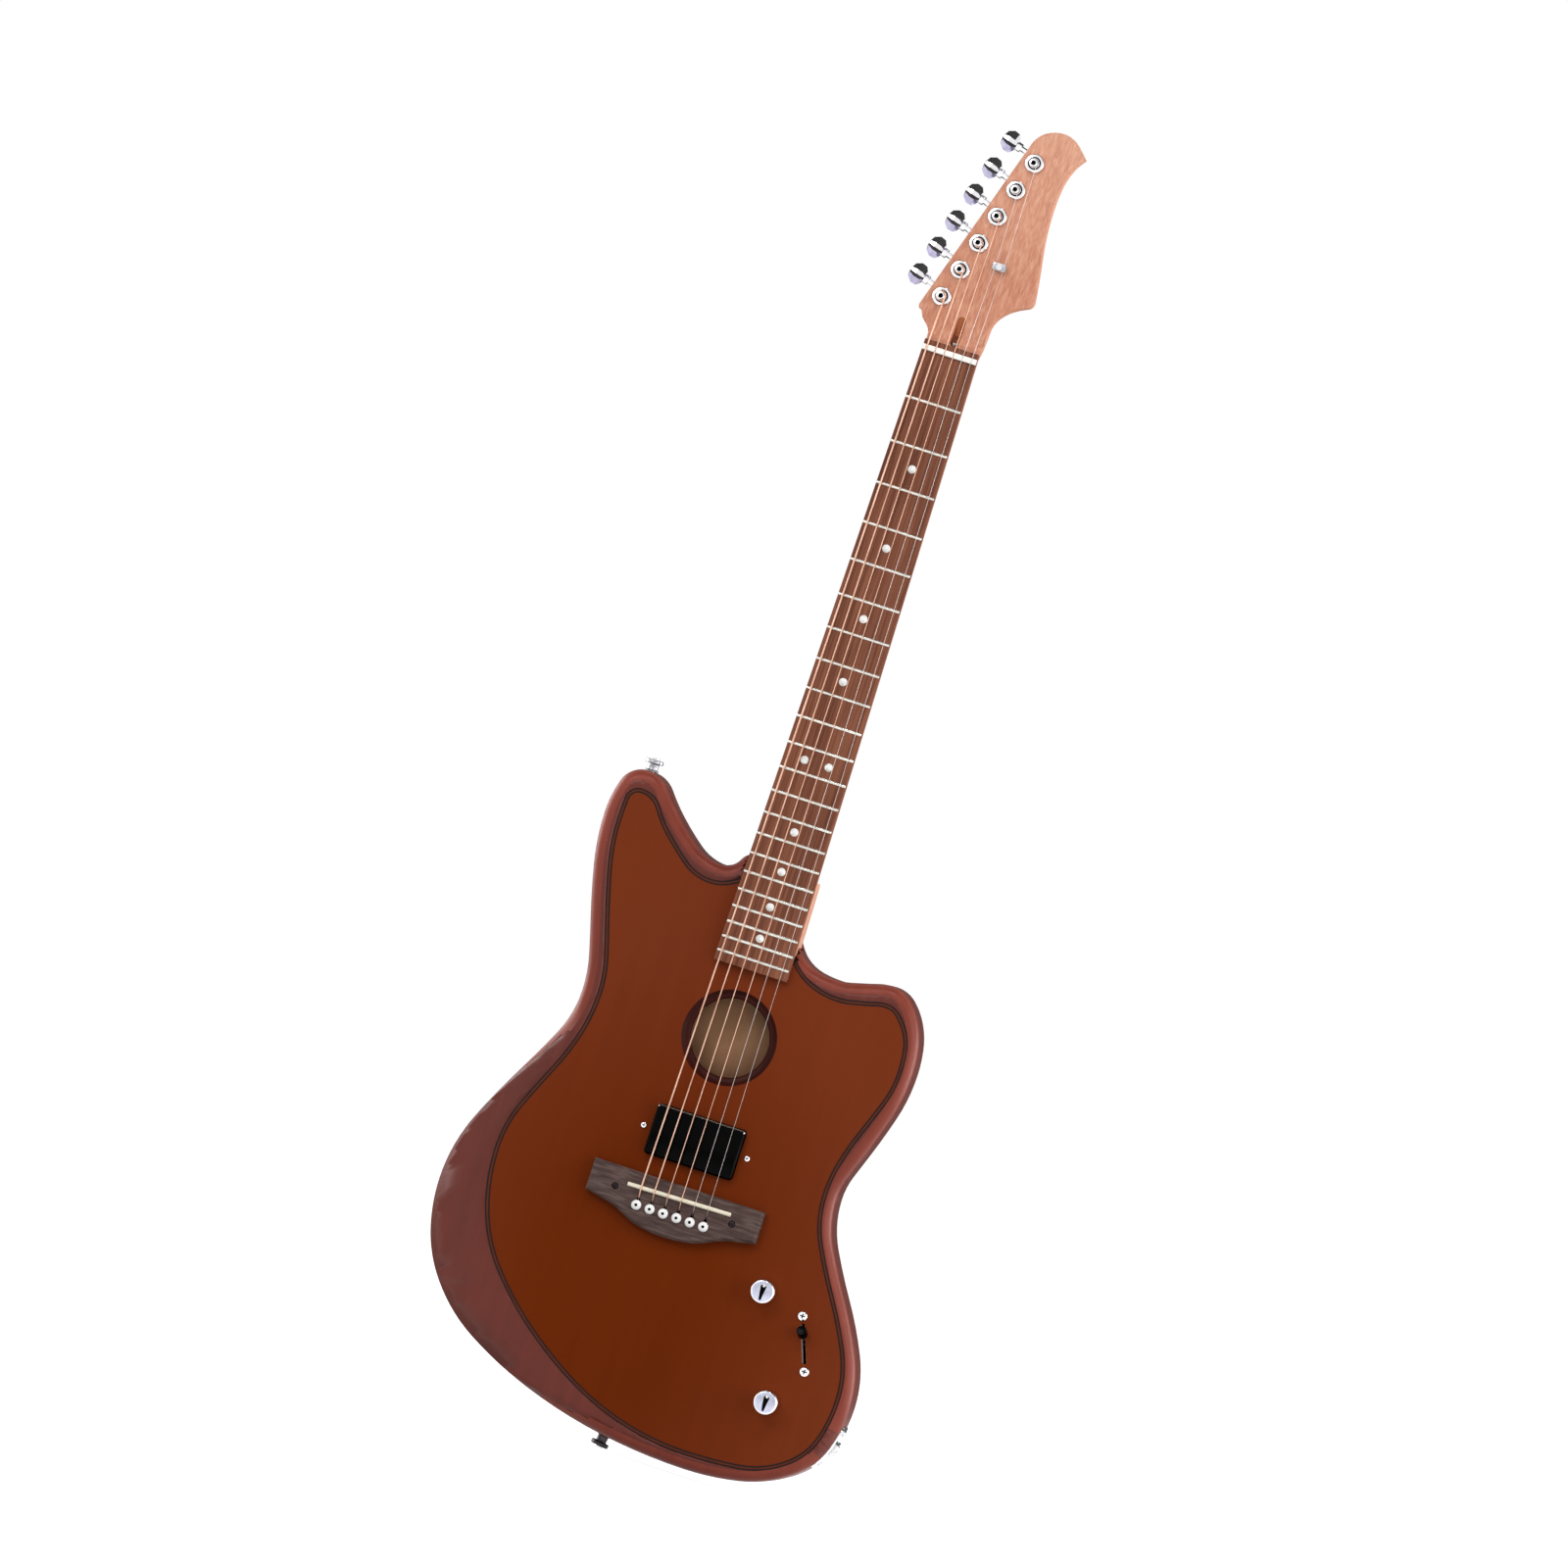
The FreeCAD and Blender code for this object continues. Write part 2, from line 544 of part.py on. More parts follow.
def meeting(start, start_way, end, end_way):
    """Point and direction where the two tangent arcs between two directed points meet."""
    chord = end - start
    both = start_way + end_way
    spread = 2 * (1 - start_way.dot(end_way))
    along = chord.dot(both)
    if spread < 1e-9:
        reach = chord.dot(chord) / (2 * along)
    else:
        reach = (math.sqrt(along * along + spread * chord.dot(chord)) - along) / spread
    leave = start + start_way * reach
    arrive = end - end_way * reach
    return (leave + arrive) / 2, (arrive - leave).normalize()


def biarc(start, start_way, end, end_way):
    """Two tangent arcs from two directed points to where they meet."""
    knee, knee_way = meeting(start, start_way, end, end_way)
    return [arc_from(start, start_way, knee), arc_from(knee, knee_way, end)]


def facing_up(curve):
    """The same flat curve drawn anticlockwise, as a sketch wants it."""
    if isinstance(curve, Part.LineSegment) or curve.Axis.z > 0:
        return curve
    middle = curve.value((curve.FirstParameter + curve.LastParameter) / 2)
    return Part.ArcOfCircle(curve.EndPoint, middle, curve.StartPoint)


def drawn(points):
    """Curves through directed points (x, z, heading in, optional heading out)."""
    curves = []
    for start, end in zip(points, points[1:]):
        curves += biarc(
            Vector(start[0], start[1], 0), heading(start[-1]), Vector(end[0], end[1], 0), heading(end[2])
        )
    return [facing_up(curve) for curve in curves]


def scaled(shares, width, length, base="0"):
    """Outline points in millimetres from shares of a width and a length."""
    return [(s[0] * mm(width), mm(base) + s[1] * mm(length), *s[2:]) for s in shares]


def closed(points):
    """The points with the first one repeated at the end."""
    return points + points[:1]


def rounded_loop(corners, radius):
    """Closed loop of lines with a tangent arc at each corner."""
    curves = []
    count = len(corners)
    ends = []
    for i in range(count):
        before, here, after = (Vector(*corners[(i + k) % count], 0) for k in (-1, 0, 1))
        inward = (before - here).normalize()
        outward = (after - here).normalize()
        reach = radius / math.tan(inward.getAngle(outward) / 2)
        start = here + inward * reach
        end = here + outward * reach
        curves.append(facing_up(arc_from(start, inward * -1, end)))
        ends.append((start, end))
    for i in range(count):
        curves.append(Part.LineSegment(ends[i][1], ends[(i + 1) % count][0]))
    return curves


def rectangle(width, height, x="0", z="0"):
    """Corners of a rectangle about a centre."""
    half_width = mm(f"({width}) / 2")
    half_height = mm(f"({height}) / 2")
    middle_x = mm(x)
    middle_z = mm(z)
    return [
        (middle_x - half_width, middle_z - half_height),
        (middle_x + half_width, middle_z - half_height),
        (middle_x + half_width, middle_z + half_height),
        (middle_x - half_width, middle_z + half_height),
    ]


def polygon(corners):
    """Closed loop of lines through corners."""
    points = [Vector(x, z, 0) for x, z in corners]
    return [Part.LineSegment(a, b) for a, b in zip(points, points[1:] + points[:1])]


def outline_sketch(name, curves):
    """Outline in the front view, at Y = 0."""
    sketch = doc.addObject("Sketcher::SketchObject", name)
    sketch.Placement = Placement(Vector(), FRONT_VIEW)
    sketch.addGeometry(curves, False)
    return sketch


def offset_slab(name, outline, offset, front, depth):
    """Plate inside or outside an outline by an offset, from Y = front to the back."""
    ring = doc.addObject("Part::Offset2D", name + "_offset")
    ring.Source = outline
    ring.Join = "Arc"
    bind(ring, Value=offset)
    plate = doc.addObject("Part::Extrusion", name)
    plate.Base = ring
    plate.DirMode = "Custom"
    plate.Dir = Vector(0, 1, 0)
    plate.Solid = True
    bind(plate, LengthFwd=depth)
    return place(plate, y=front)


FRONT = "-body_thickness"
UNDER_TOP = "top_thickness - body_thickness"
POCKET_FLOOR = "pocket_depth - body_thickness"
BOARD_CROWN = "-body_thickness - board_lift - board_thickness"
BOARD_UNDERSIDE = "-body_thickness - board_lift"
HEAD_FACE = "-body_thickness - board_lift - board_thickness + head_drop"
HEAD_BACK = "-body_thickness - board_lift - board_thickness + head_drop + head_thickness"
LAST_FRET = "scale_length / 2 ^ (fret_count / 12)"
BOARD_END = "scale_length / 2 ^ (fret_count / 12) - board_overhang"
BOARD_TOP = "scale_length + nut_thickness + board_strip"
HEEL_END = "scale_length / 2 ^ (fret_count / 12) - board_overhang + heel_setback"


def board_width(height):
    """Width of the fretboard at a height above the saddle line."""
    share = (mm("scale_length") - height) / (mm("scale_length") - mm(BOARD_END))
    return mm("nut_width") + share * (mm("board_end_width") - mm("nut_width"))


def crown_drop(across):
    """How far the crowned board falls away at a distance from the middle."""
    radius = mm("board_radius")
    return radius - math.sqrt(radius * radius - across * across)


def string_across(index, span):
    """Place of a string across the neck, thick strings first."""
    return (index - (len(STRINGS) - 1) / 2) * mm(span) / (len(STRINGS) - 1)


def tuner_turn():
    """Turn of a tuner's own frame: X up the row, Y to the back, Z out to the button."""
    return Rotation(Vector(0, 1, 0), mm("tuner_tilt") - 90)


def tuner_place(index, behind_face="0"):
    """Place of a tuner's own frame on the back of the headstock."""
    start = Vector(
        mm("tuner_first_x"), mm(HEAD_BACK) + mm(behind_face), mm(BOARD_TOP) + mm("tuner_first_rise")
    )
    return Placement(start + tuner_turn().multVec(Vector(index * mm("tuner_pitch"), 0, 0)), tuner_turn())


body_points = scaled(BODY_OUTLINE_SHARES, "body_width", "body_length")
plate_points = scaled(PLATE_OUTLINE_SHARES, "body_width", "body_length")
plate_outline = outline_sketch("plate_outline", drawn(closed(plate_points)))
body_outline = outline_sketch("rim_outline", drawn(closed(body_points)))


def at_height(point, level):
    """A front-view drawing point moved into the guitar's frame."""
    return Vector(point.x, level, point.y)


def directed(point):
    """Place and direction of an outline point."""
    return Vector(point[0], point[1], 0), heading(point[2])


def halfway_points(points, first, count):
    """Outline points and the meeting points between them, from a first point on."""
    found = []
    for start, end in zip(points[first:first + count], points[first + 1:]):
        found += [directed(start)[0], meeting(*directed(start), *directed(end))[0]]
    return found


def bevel_cutter():
    """Slanted facet under the forearm, from the plate line out past the rim."""
    pairs = (len(BEVEL_DEPTH_SHARES) + 1) // 2
    inner = halfway_points(plate_points, BEVEL_FIRST_PLATE_POINT, pairs)
    outer = halfway_points(body_points, BEVEL_FIRST_BODY_POINT, pairs)
    front = mm(FRONT)
    clear = front - mm("overrun")
    margin = mm("purfling_width / 2 - bevel_start")
    sections = []
    for near, far, share in zip(inner[1:], outer[1:], BEVEL_DEPTH_SHARES):
        width = (far - near).Length
        out = (far - near) / width
        past = far + out * mm("bevel_overrun")
        near = near + out * margin
        fall = share * mm("bevel_depth") * (past - near).Length / (width - margin)
        corners = [
            at_height(near, front), at_height(past, front + fall), at_height(past, clear),
            at_height(near, clear),
        ]
        sections.append(Part.makePolygon(corners + corners[:1]))
    return solid("bevel_cutter", Part.makeLoft(sections, True, False))


def rim_spot(index, along=0.0):
    """Place and outward direction on the rim's side, by an outline point's next meeting point."""
    start, start_way = directed(body_points[index])
    end, end_way = directed(body_points[index + 1])
    knee = meeting(start, start_way, end, end_way)[0]
    if along > 0:
        edge = Part.Edge(arc_from(end, end_way * -1, knee))
    else:
        edge = Part.Edge(arc_from(start, start_way, knee))
    spot = edge.getParameterByLength(edge.Length - abs(along))
    way = edge.tangentAt(spot) * (-1 if along > 0 else 1)
    level = mm("front_round - body_thickness + (body_thickness - front_round - back_round) / 2")
    return at_height(edge.valueAt(spot), level), Vector(way.y, 0, -way.x)


def facing(place_and_way, sink=0.0):
    """Placement on a spot whose own Y points out of the rim and whose own X runs along it."""
    spot, outward = place_and_way
    along = Vector(-outward.z, 0, outward.x)
    return Placement(spot - outward * sink, Rotation(along, outward, along.cross(outward), "YXZ"))


def bar(name, corners, thickness):
    """Flat bar from a profile in its own X and Y, as thick each way along its own Z."""
    body = doc.addObject("PartDesign::Body", name)
    sketch = new_sketch(body, "XY_Plane", name + "_profile")
    draw_corners(sketch, corners)
    pad = body.newObject("PartDesign::Pad", name + "_pad")
    pad.Profile = sketch
    pad.Midplane = True
    bind(pad, Length=thickness)
    return body


def turned_at(item, spot):
    """Puts an object at a worked-out placement."""
    for axis in "xyz":
        item.setExpression(f"Placement.Base.{axis}", None)
    item.Placement = spot
    return item


def beveled_part(name, base, size, wanted):
    """Bevels the edges of a piece that a test picks."""
    doc.recompute()
    picked = [i for i, edge in enumerate(base.Shape.Edges, start=1) if wanted(edge)]
    item = doc.addObject("Part::Chamfer", name)
    item.Base = base
    item.Edges = [(i, mm(size), mm(size)) for i in picked]
    return item


def crowned_bar(middle, width, top, height, reach, bevel):
    """Bar across the neck with beveled upper edges, bent to the crown of the fretboard."""
    radius = mm("board_radius") + (mm(BOARD_CROWN) - top)
    half = width / 2
    profile = [
        (half, height), (half, bevel), (half - bevel, 0), (bevel - half, 0), (-half, bevel), (-half, height)
    ]
    corners = [Vector(0, top + drop, middle + along) for along, drop in profile]
    centre = Vector(0, top + radius, 0)
    half_turn = math.degrees(math.asin(reach / radius))
    face = Part.Face(Part.makePolygon(corners + corners[:1])).rotate(centre, Vector(0, 0, 1), -half_turn)
    return face.revolve(centre, Vector(0, 0, 1), 2 * half_turn)


def pocket(name, front, depth):
    """Tapered opening for the heel of the neck."""
    low = mm(f"{HEEL_END} - heel_gap")
    high = mm(f"{HEEL_END} + heel_length * 3 / 2")
    corners = [(-board_width(low) / 2 - mm("heel_gap"), low), (board_width(low) / 2 + mm("heel_gap"), low)]
    corners += [
        (board_width(high) / 2 + mm("heel_gap"), high), (-board_width(high) / 2 - mm("heel_gap"), high)
    ]
    return slab(name, polygon(corners), front, depth)


def neck_screw_places():
    """Places of the neck screws in the front view."""
    low = mm(HEEL_END)
    return [(s[0] * mm("board_end_width"), low + s[1] * mm("heel_length")) for s in NECK_SCREW_SHARES]


def cover_corners():
    """Corners of the control cover."""
    return [(s[0] * mm("body_width"), s[1] * mm("body_length")) for s in COVER_CORNER_SHARES]


def cover_screw_places():
    """Places of the cover's screws, over its ledge."""
    corners = cover_corners()
    middle_x = sum(x for x, z in corners) / len(corners)
    middle_z = sum(z for x, z in corners) / len(corners)
    share = COVER_SCREW_SHARE
    return [(x + (middle_x - x) * share, z + (middle_z - z) * share) for x, z in corners]


cover_outline = outline_sketch("cover_outline", rounded_loop(cover_corners(), mm("cover_corner")))


def holes(name, diameter, front, depth, spots):
    """Drilled holes front to back at places in the front view."""
    return [
        prism(f"{name}_{i}", diameter, depth, str(x), front, str(z), sides=8)
        for i, (x, z) in enumerate(spots, start=1)
    ]


def pin_places():
    """Places of the bridge pins."""
    return [(string_across(i, "saddle_string_span"), -mm("pin_setback")) for i in range(len(STRINGS))]


def string_hole_places():
    """Places of the string holes in front of the pins."""
    return [(x, z + mm("string_hole_reach")) for x, z in pin_places()]


def pot_places():
    """Places of the volume and tone controls."""
    return [(mm("volume_x"), mm("volume_z")), (mm("tone_x"), mm("tone_z"))]


def bridge_screw_places():
    """Places of the bridge screws."""
    reach = mm("bridge_screw_reach")
    return [(-reach, -mm("bridge_screw_setback")), (reach, -mm("bridge_screw_setback"))]


def pickup_screw_places():
    """Places of the pickup screws."""
    return [(-mm("pickup_screw_reach"), mm("pickup_place")), (mm("pickup_screw_reach"), mm("pickup_place"))]


def switch_placement(level="0", swing=0.0):
    """Frame of the blade switch: own X up its slot, own Y to the back, own Z across it."""
    turn = Rotation(Vector(0, 1, 0), -90 - mm("switch_angle"))
    spot = Vector(mm("switch_x"), mm(level), mm("switch_z"))
    return Placement(spot, turn.multiply(Rotation(Vector(0, 0, 1), swing)))


def switch_screw_places():
    """Places of the switch screws."""
    half = mm("switch_screw_spacing / 2")
    return [
        (spot.x, spot.z)
        for spot in (switch_placement().multVec(Vector(way * half, 0, 0)) for way in (-1, 1))
    ]


def make_body():
    """Wooden body: rounded rim, forearm bevel, chamber, neck pocket and seats for the fittings."""
    blank = slab("body_blank", drawn(closed(body_points)), FRONT, "body_thickness")
    soften(blank, "front_round", flat_at(mm(FRONT)), "Chamfer")
    soften(blank, "back_round", flat_at(0), "Chamfer")
    recess = offset_slab(
        "top_recess", plate_outline, "purfling_width / 2 + inlay_gap", f"{FRONT} - overrun",
        "overrun + top_thickness"
    )
    chamber = offset_slab(
        "chamber_blank", plate_outline, "-rim_margin", FRONT, "body_thickness - back_wall"
    )
    block_width = "board_end_width + 2 * neck_block"
    block = box(
        "neck_block_blank", block_width, "body_thickness + 2 * overrun", "body_length",
        f"-({block_width}) / 2", f"{FRONT} - overrun", f"{HEEL_END} - heel_gap - neck_block",
    )
    cutters = [bevel_cutter(), recess, cut("chamber", chamber, [block])]
    cutters.append(pocket("neck_pocket", f"{FRONT} - overrun", "overrun + pocket_depth"))
    cutters.append(
        offset_slab("cover_seat", cover_outline, "cover_gap", "-cover_thickness", "cover_thickness + overrun")
    )
    cutters.append(
        offset_slab(
            "cover_opening", cover_outline, "-cover_ledge", "-back_wall - overrun", "back_wall + 2 * overrun"
        )
    )
    cutters += holes(
        "ferrule_seat", "ferrule_diameter + 2 * screw_gap", "-ferrule_depth", "ferrule_depth + overrun",
        neck_screw_places(),
    )
    cutters += holes(
        "neck_screw_way", "neck_screw_diameter + 2 * screw_gap", FRONT, "body_thickness", neck_screw_places()
    )
    cutters += holes(
        "cover_screw_way", "small_screw_diameter + 2 * screw_gap", "-back_wall", "back_wall",
        cover_screw_places(),
    )
    jack = prism("jack_seat", "jack_seat_diameter", "jack_seat_depth + overrun")
    cutters.append(turned_at(jack, inward_from(rim_spot(JACK_BODY_POINT), mm("overrun"))))
    for i, way in enumerate((-1, 1)):
        screw = prism(
            f"jack_screw_way_{i}", "small_screw_diameter + 2 * screw_gap", "small_screw_length + overrun",
            sides=6,
        )
        spot = rim_spot(JACK_BODY_POINT, way * mm("jack_screw_spacing / 2"))
        cutters.append(turned_at(screw, inward_from(spot, mm("overrun"))))
    for i, spot in enumerate(strap_spots()):
        screw = prism(
            f"strap_screw_way_{i}", "strap_screw_diameter + 2 * screw_gap", "strap_screw_length + overrun",
            sides=6,
        )
        cutters.append(turned_at(screw, inward_from(spot, mm("overrun"))))
    node("body", cut("body_cut", blank, cutters))


def inward_from(place_and_way, start):
    """Placement of a cylinder that runs into the rim from outside it."""
    spot, outward = place_and_way
    return Placement(spot + outward * start, Rotation(Vector(0, 0, 1), outward * -1))


def strap_spots():
    """Places of the strap buttons: tip of the long horn and bottom of the body."""
    horn, way = directed(body_points[HORN_BODY_POINT])
    tail = rim_spot(TAIL_BODY_POINT)
    return [(at_height(horn, tail[0].y), Vector(way.y, 0, -way.x)), tail]


def make_top():
    """Top plate with its dark line, sound-hole ring, bars and bridge plate."""
    plate = offset_slab("plate_blank", plate_outline, "-purfling_width / 2", FRONT, "top_thickness")
    through = "top_thickness + 2 * overrun"
    start = f"{FRONT} - overrun"
    cutters = [pocket("plate_pocket", start, through)]
    cutters.append(cylinder("sound_hole", "sound_hole_diameter", through, "0", start, "sound_hole_height"))
    opening = rounded_loop(
        rectangle("pickup_width + 2 * pickup_gap", "pickup_height + 2 * pickup_gap", "0", "pickup_place"),
        mm("pickup_corner + pickup_gap"),
    )
    cutters.append(slab("pickup_opening", opening, start, through))
    cutters += holes("pin_way", "pin_shank_diameter + 2 * pin_fit", start, through, pin_places())
    cutters += holes("string_hole", "string_hole_diameter", start, through, string_hole_places())
    cutters += holes(
        "bridge_screw_hole", "small_screw_diameter + 2 * screw_gap", start, through, bridge_screw_places()
    )
    cutters += holes(
        "pickup_screw_hole", "pickup_screw_diameter + 2 * screw_gap", start, through, pickup_screw_places()
    )
    cutters += holes("pot_hole", "pot_bush_diameter + 2 * inlay_gap", start, through, pot_places())
    cutters += holes(
        "switch_screw_hole", "switch_screw_shank + 2 * screw_gap", start, through, switch_screw_places()
    )
    slot = slab(
        "switch_slot",
        rounded_loop(rectangle("switch_slot_length", "switch_slot_width"), mm("switch_slot_width / 2.02")),
        "0", through,
    )
    cutters.append(turned_at(slot, switch_placement(start)))
    drilled = cut("plate_cut", plate, cutters)
    node("soundboard", beveled_part("plate_lip", drilled, "sound_hole_lip", is_hole_edge))
    outer = offset_slab("purfling_outer", plate_outline, "purfling_width / 2", FRONT, "top_thickness")
    inner = offset_slab(
        "purfling_inner", plate_outline, "inlay_gap - purfling_width / 2", f"{FRONT} - overrun",
        "top_thickness + 2 * overrun"
    )
    node("purfling", cut("purfling_cut", outer, [inner, pocket("purfling_pocket", start, through)]))
    ring = prism(
        "collar_blank", "sound_hole_diameter + 2 * collar_width", "collar_thickness", "0", UNDER_TOP,
        "sound_hole_height", sides=24,
    )
    hole = prism(
        "collar_hole", "sound_hole_diameter", "collar_thickness + 2 * overrun", "0", f"{UNDER_TOP} - overrun",
        "sound_hole_height", sides=24,
    )
    node("sound_hole_collar", cut("collar_cut", ring, [hole]))
    make_braces()
    plate = box(
        "bridge_plate_blank", "bridge_plate_width", "bridge_plate_thickness", "bridge_plate_height",
        "-bridge_plate_width / 2", UNDER_TOP, "bridge_front - bridge_plate_height",
    )
    through = "bridge_plate_thickness + 2 * overrun"
    start = f"{UNDER_TOP} - overrun"
    cutters = holes("plate_pin_way", "pin_shank_diameter + 2 * pin_fit", start, through, pin_places())
    cutters += holes("plate_string_way", "string_hole_diameter", start, through, string_hole_places())
    cutters += holes(
        "plate_screw_way", "small_screw_diameter + 2 * screw_gap", start, through, bridge_screw_places()
    )
    node("bridge_plate", cut("bridge_plate_cut", plate, cutters))


def is_hole_edge(edge):
    """Front edge of the sound hole."""
    if not isinstance(edge.Curve, Part.Circle):
        return False
    return abs(edge.Curve.Radius - mm("sound_hole_diameter / 2")) < 1e-6 and flat_at(mm(FRONT))(edge)


def make_braces():
    """Bars glued under the top plate."""
    bars = []
    reach = mm("cross_brace_length / 2")
    height = mm("cross_brace_height")
    ends = [((-reach, height), (reach, height))]
    ends += [
        tuple((x * mm("body_width"), z * mm("body_length")) for x, z in pair) for pair in LONG_BRACE_SHARES
    ]
    for i, (start, end) in enumerate(ends, start=1):
        length = math.dist(start, end)
        corners = [
            ("0", "0"), (str(length), "0"), (str(length), "brace_tip"),
            (f"{length} - brace_slope", "brace_depth"),
            ("brace_slope", "brace_depth"), ("0", "brace_tip"),
        ]
        brace = bar(f"brace_{i}", corners, "brace_width")
        turn = Rotation(Vector(1, 0, 0), Vector(end[0] - start[0], 0, end[1] - start[1]))
        bars.append(turned_at(brace, Placement(Vector(start[0], mm(UNDER_TOP), start[1]), turn)))
    node("top_braces", group("brace_group", bars))


def neck_section(height, width, depth):
    """Section of the neck: flat front, each side a pair of tangent arcs to the middle of the back."""
    front = mm(BOARD_UNDERSIDE)
    corner = Vector(width / 2, front, 0)
    back = Vector(0, front + depth, 0)
    right = biarc(corner, Vector(0, 1, 0), back, Vector(-1, 0, 0))
    left = biarc(Vector(-width / 2, front, 0), Vector(0, 1, 0), back, Vector(1, 0, 0))
    edges = [Part.LineSegment(Vector(-width / 2, front, 0), corner), *right, *left]
    wire = Part.Wire(Part.sortEdges([edge.toShape() for edge in edges])[0])
    wire.translate(Vector(0, 0, height))
    return wire


def throat_section(height, width, depth):
    """Squared section where the neck has become the headstock, with as many edges."""
    front = mm(BOARD_UNDERSIDE)
    back = front + depth
    points = [(-width / 2, front), (width / 2, front), (width / 2, back), (0, back), (-width / 2, back)]
    corners = [Vector(x, y, height) for x, y in points]
    return Part.makePolygon(corners + corners[:1])


def head_edges():
    """Outline of the headstock, closed across the neck."""
    points = scaled(HEAD_OUTLINE_SHARES, "head_width", "head_length", BOARD_TOP)
    low = mm(f"{BOARD_TOP} - board_strip")
    first = Vector(points[0][0], points[0][1], 0)
    last = Vector(points[-1][0], points[-1][1], 0)
    low_left = Vector(last.x, low, 0)
    low_right = Vector(first.x, low, 0)
    corners = [last, low_left, low_right, first]
    return drawn(points) + [Part.LineSegment(a, b) for a, b in zip(corners, corners[1:])]


def scoop_cutter():
    """Clears the front of the headstock, with a round ramp up to the neck."""
    radius = mm("head_scoop")
    face = mm(HEAD_FACE)
    rise = face - mm(BOARD_UNDERSIDE)
    run = math.sqrt(radius * radius - (radius - rise) ** 2)
    start = mm(f"{BOARD_TOP} + head_ramp_start")
    side = mm("head_width")
    turn = math.acos((radius - rise) / radius)
    middle = Vector(
        -side, face - radius + radius * math.cos(turn / 2), start + run - radius * math.sin(turn / 2)
    )
    foot = Vector(-side, face, start + run)
    crest = Vector(-side, face - rise, start)
    top = start + mm("head_length * 2")
    clear = mm(BOARD_UNDERSIDE) - mm("overrun")
    corners = [foot, Vector(-side, face, top), Vector(-side, clear, top), Vector(-side, clear, start), crest]
    edges = [Part.ArcOfCircle(crest, middle, foot).toShape()]
    edges += [Part.LineSegment(a, b).toShape() for a, b in zip(corners, corners[1:])]
    face_shape = Part.Face(Part.Wire(Part.sortEdges(edges)[0]))
    return solid("scoop_cutter", face_shape.extrude(Vector(2 * side, 0, 0)))


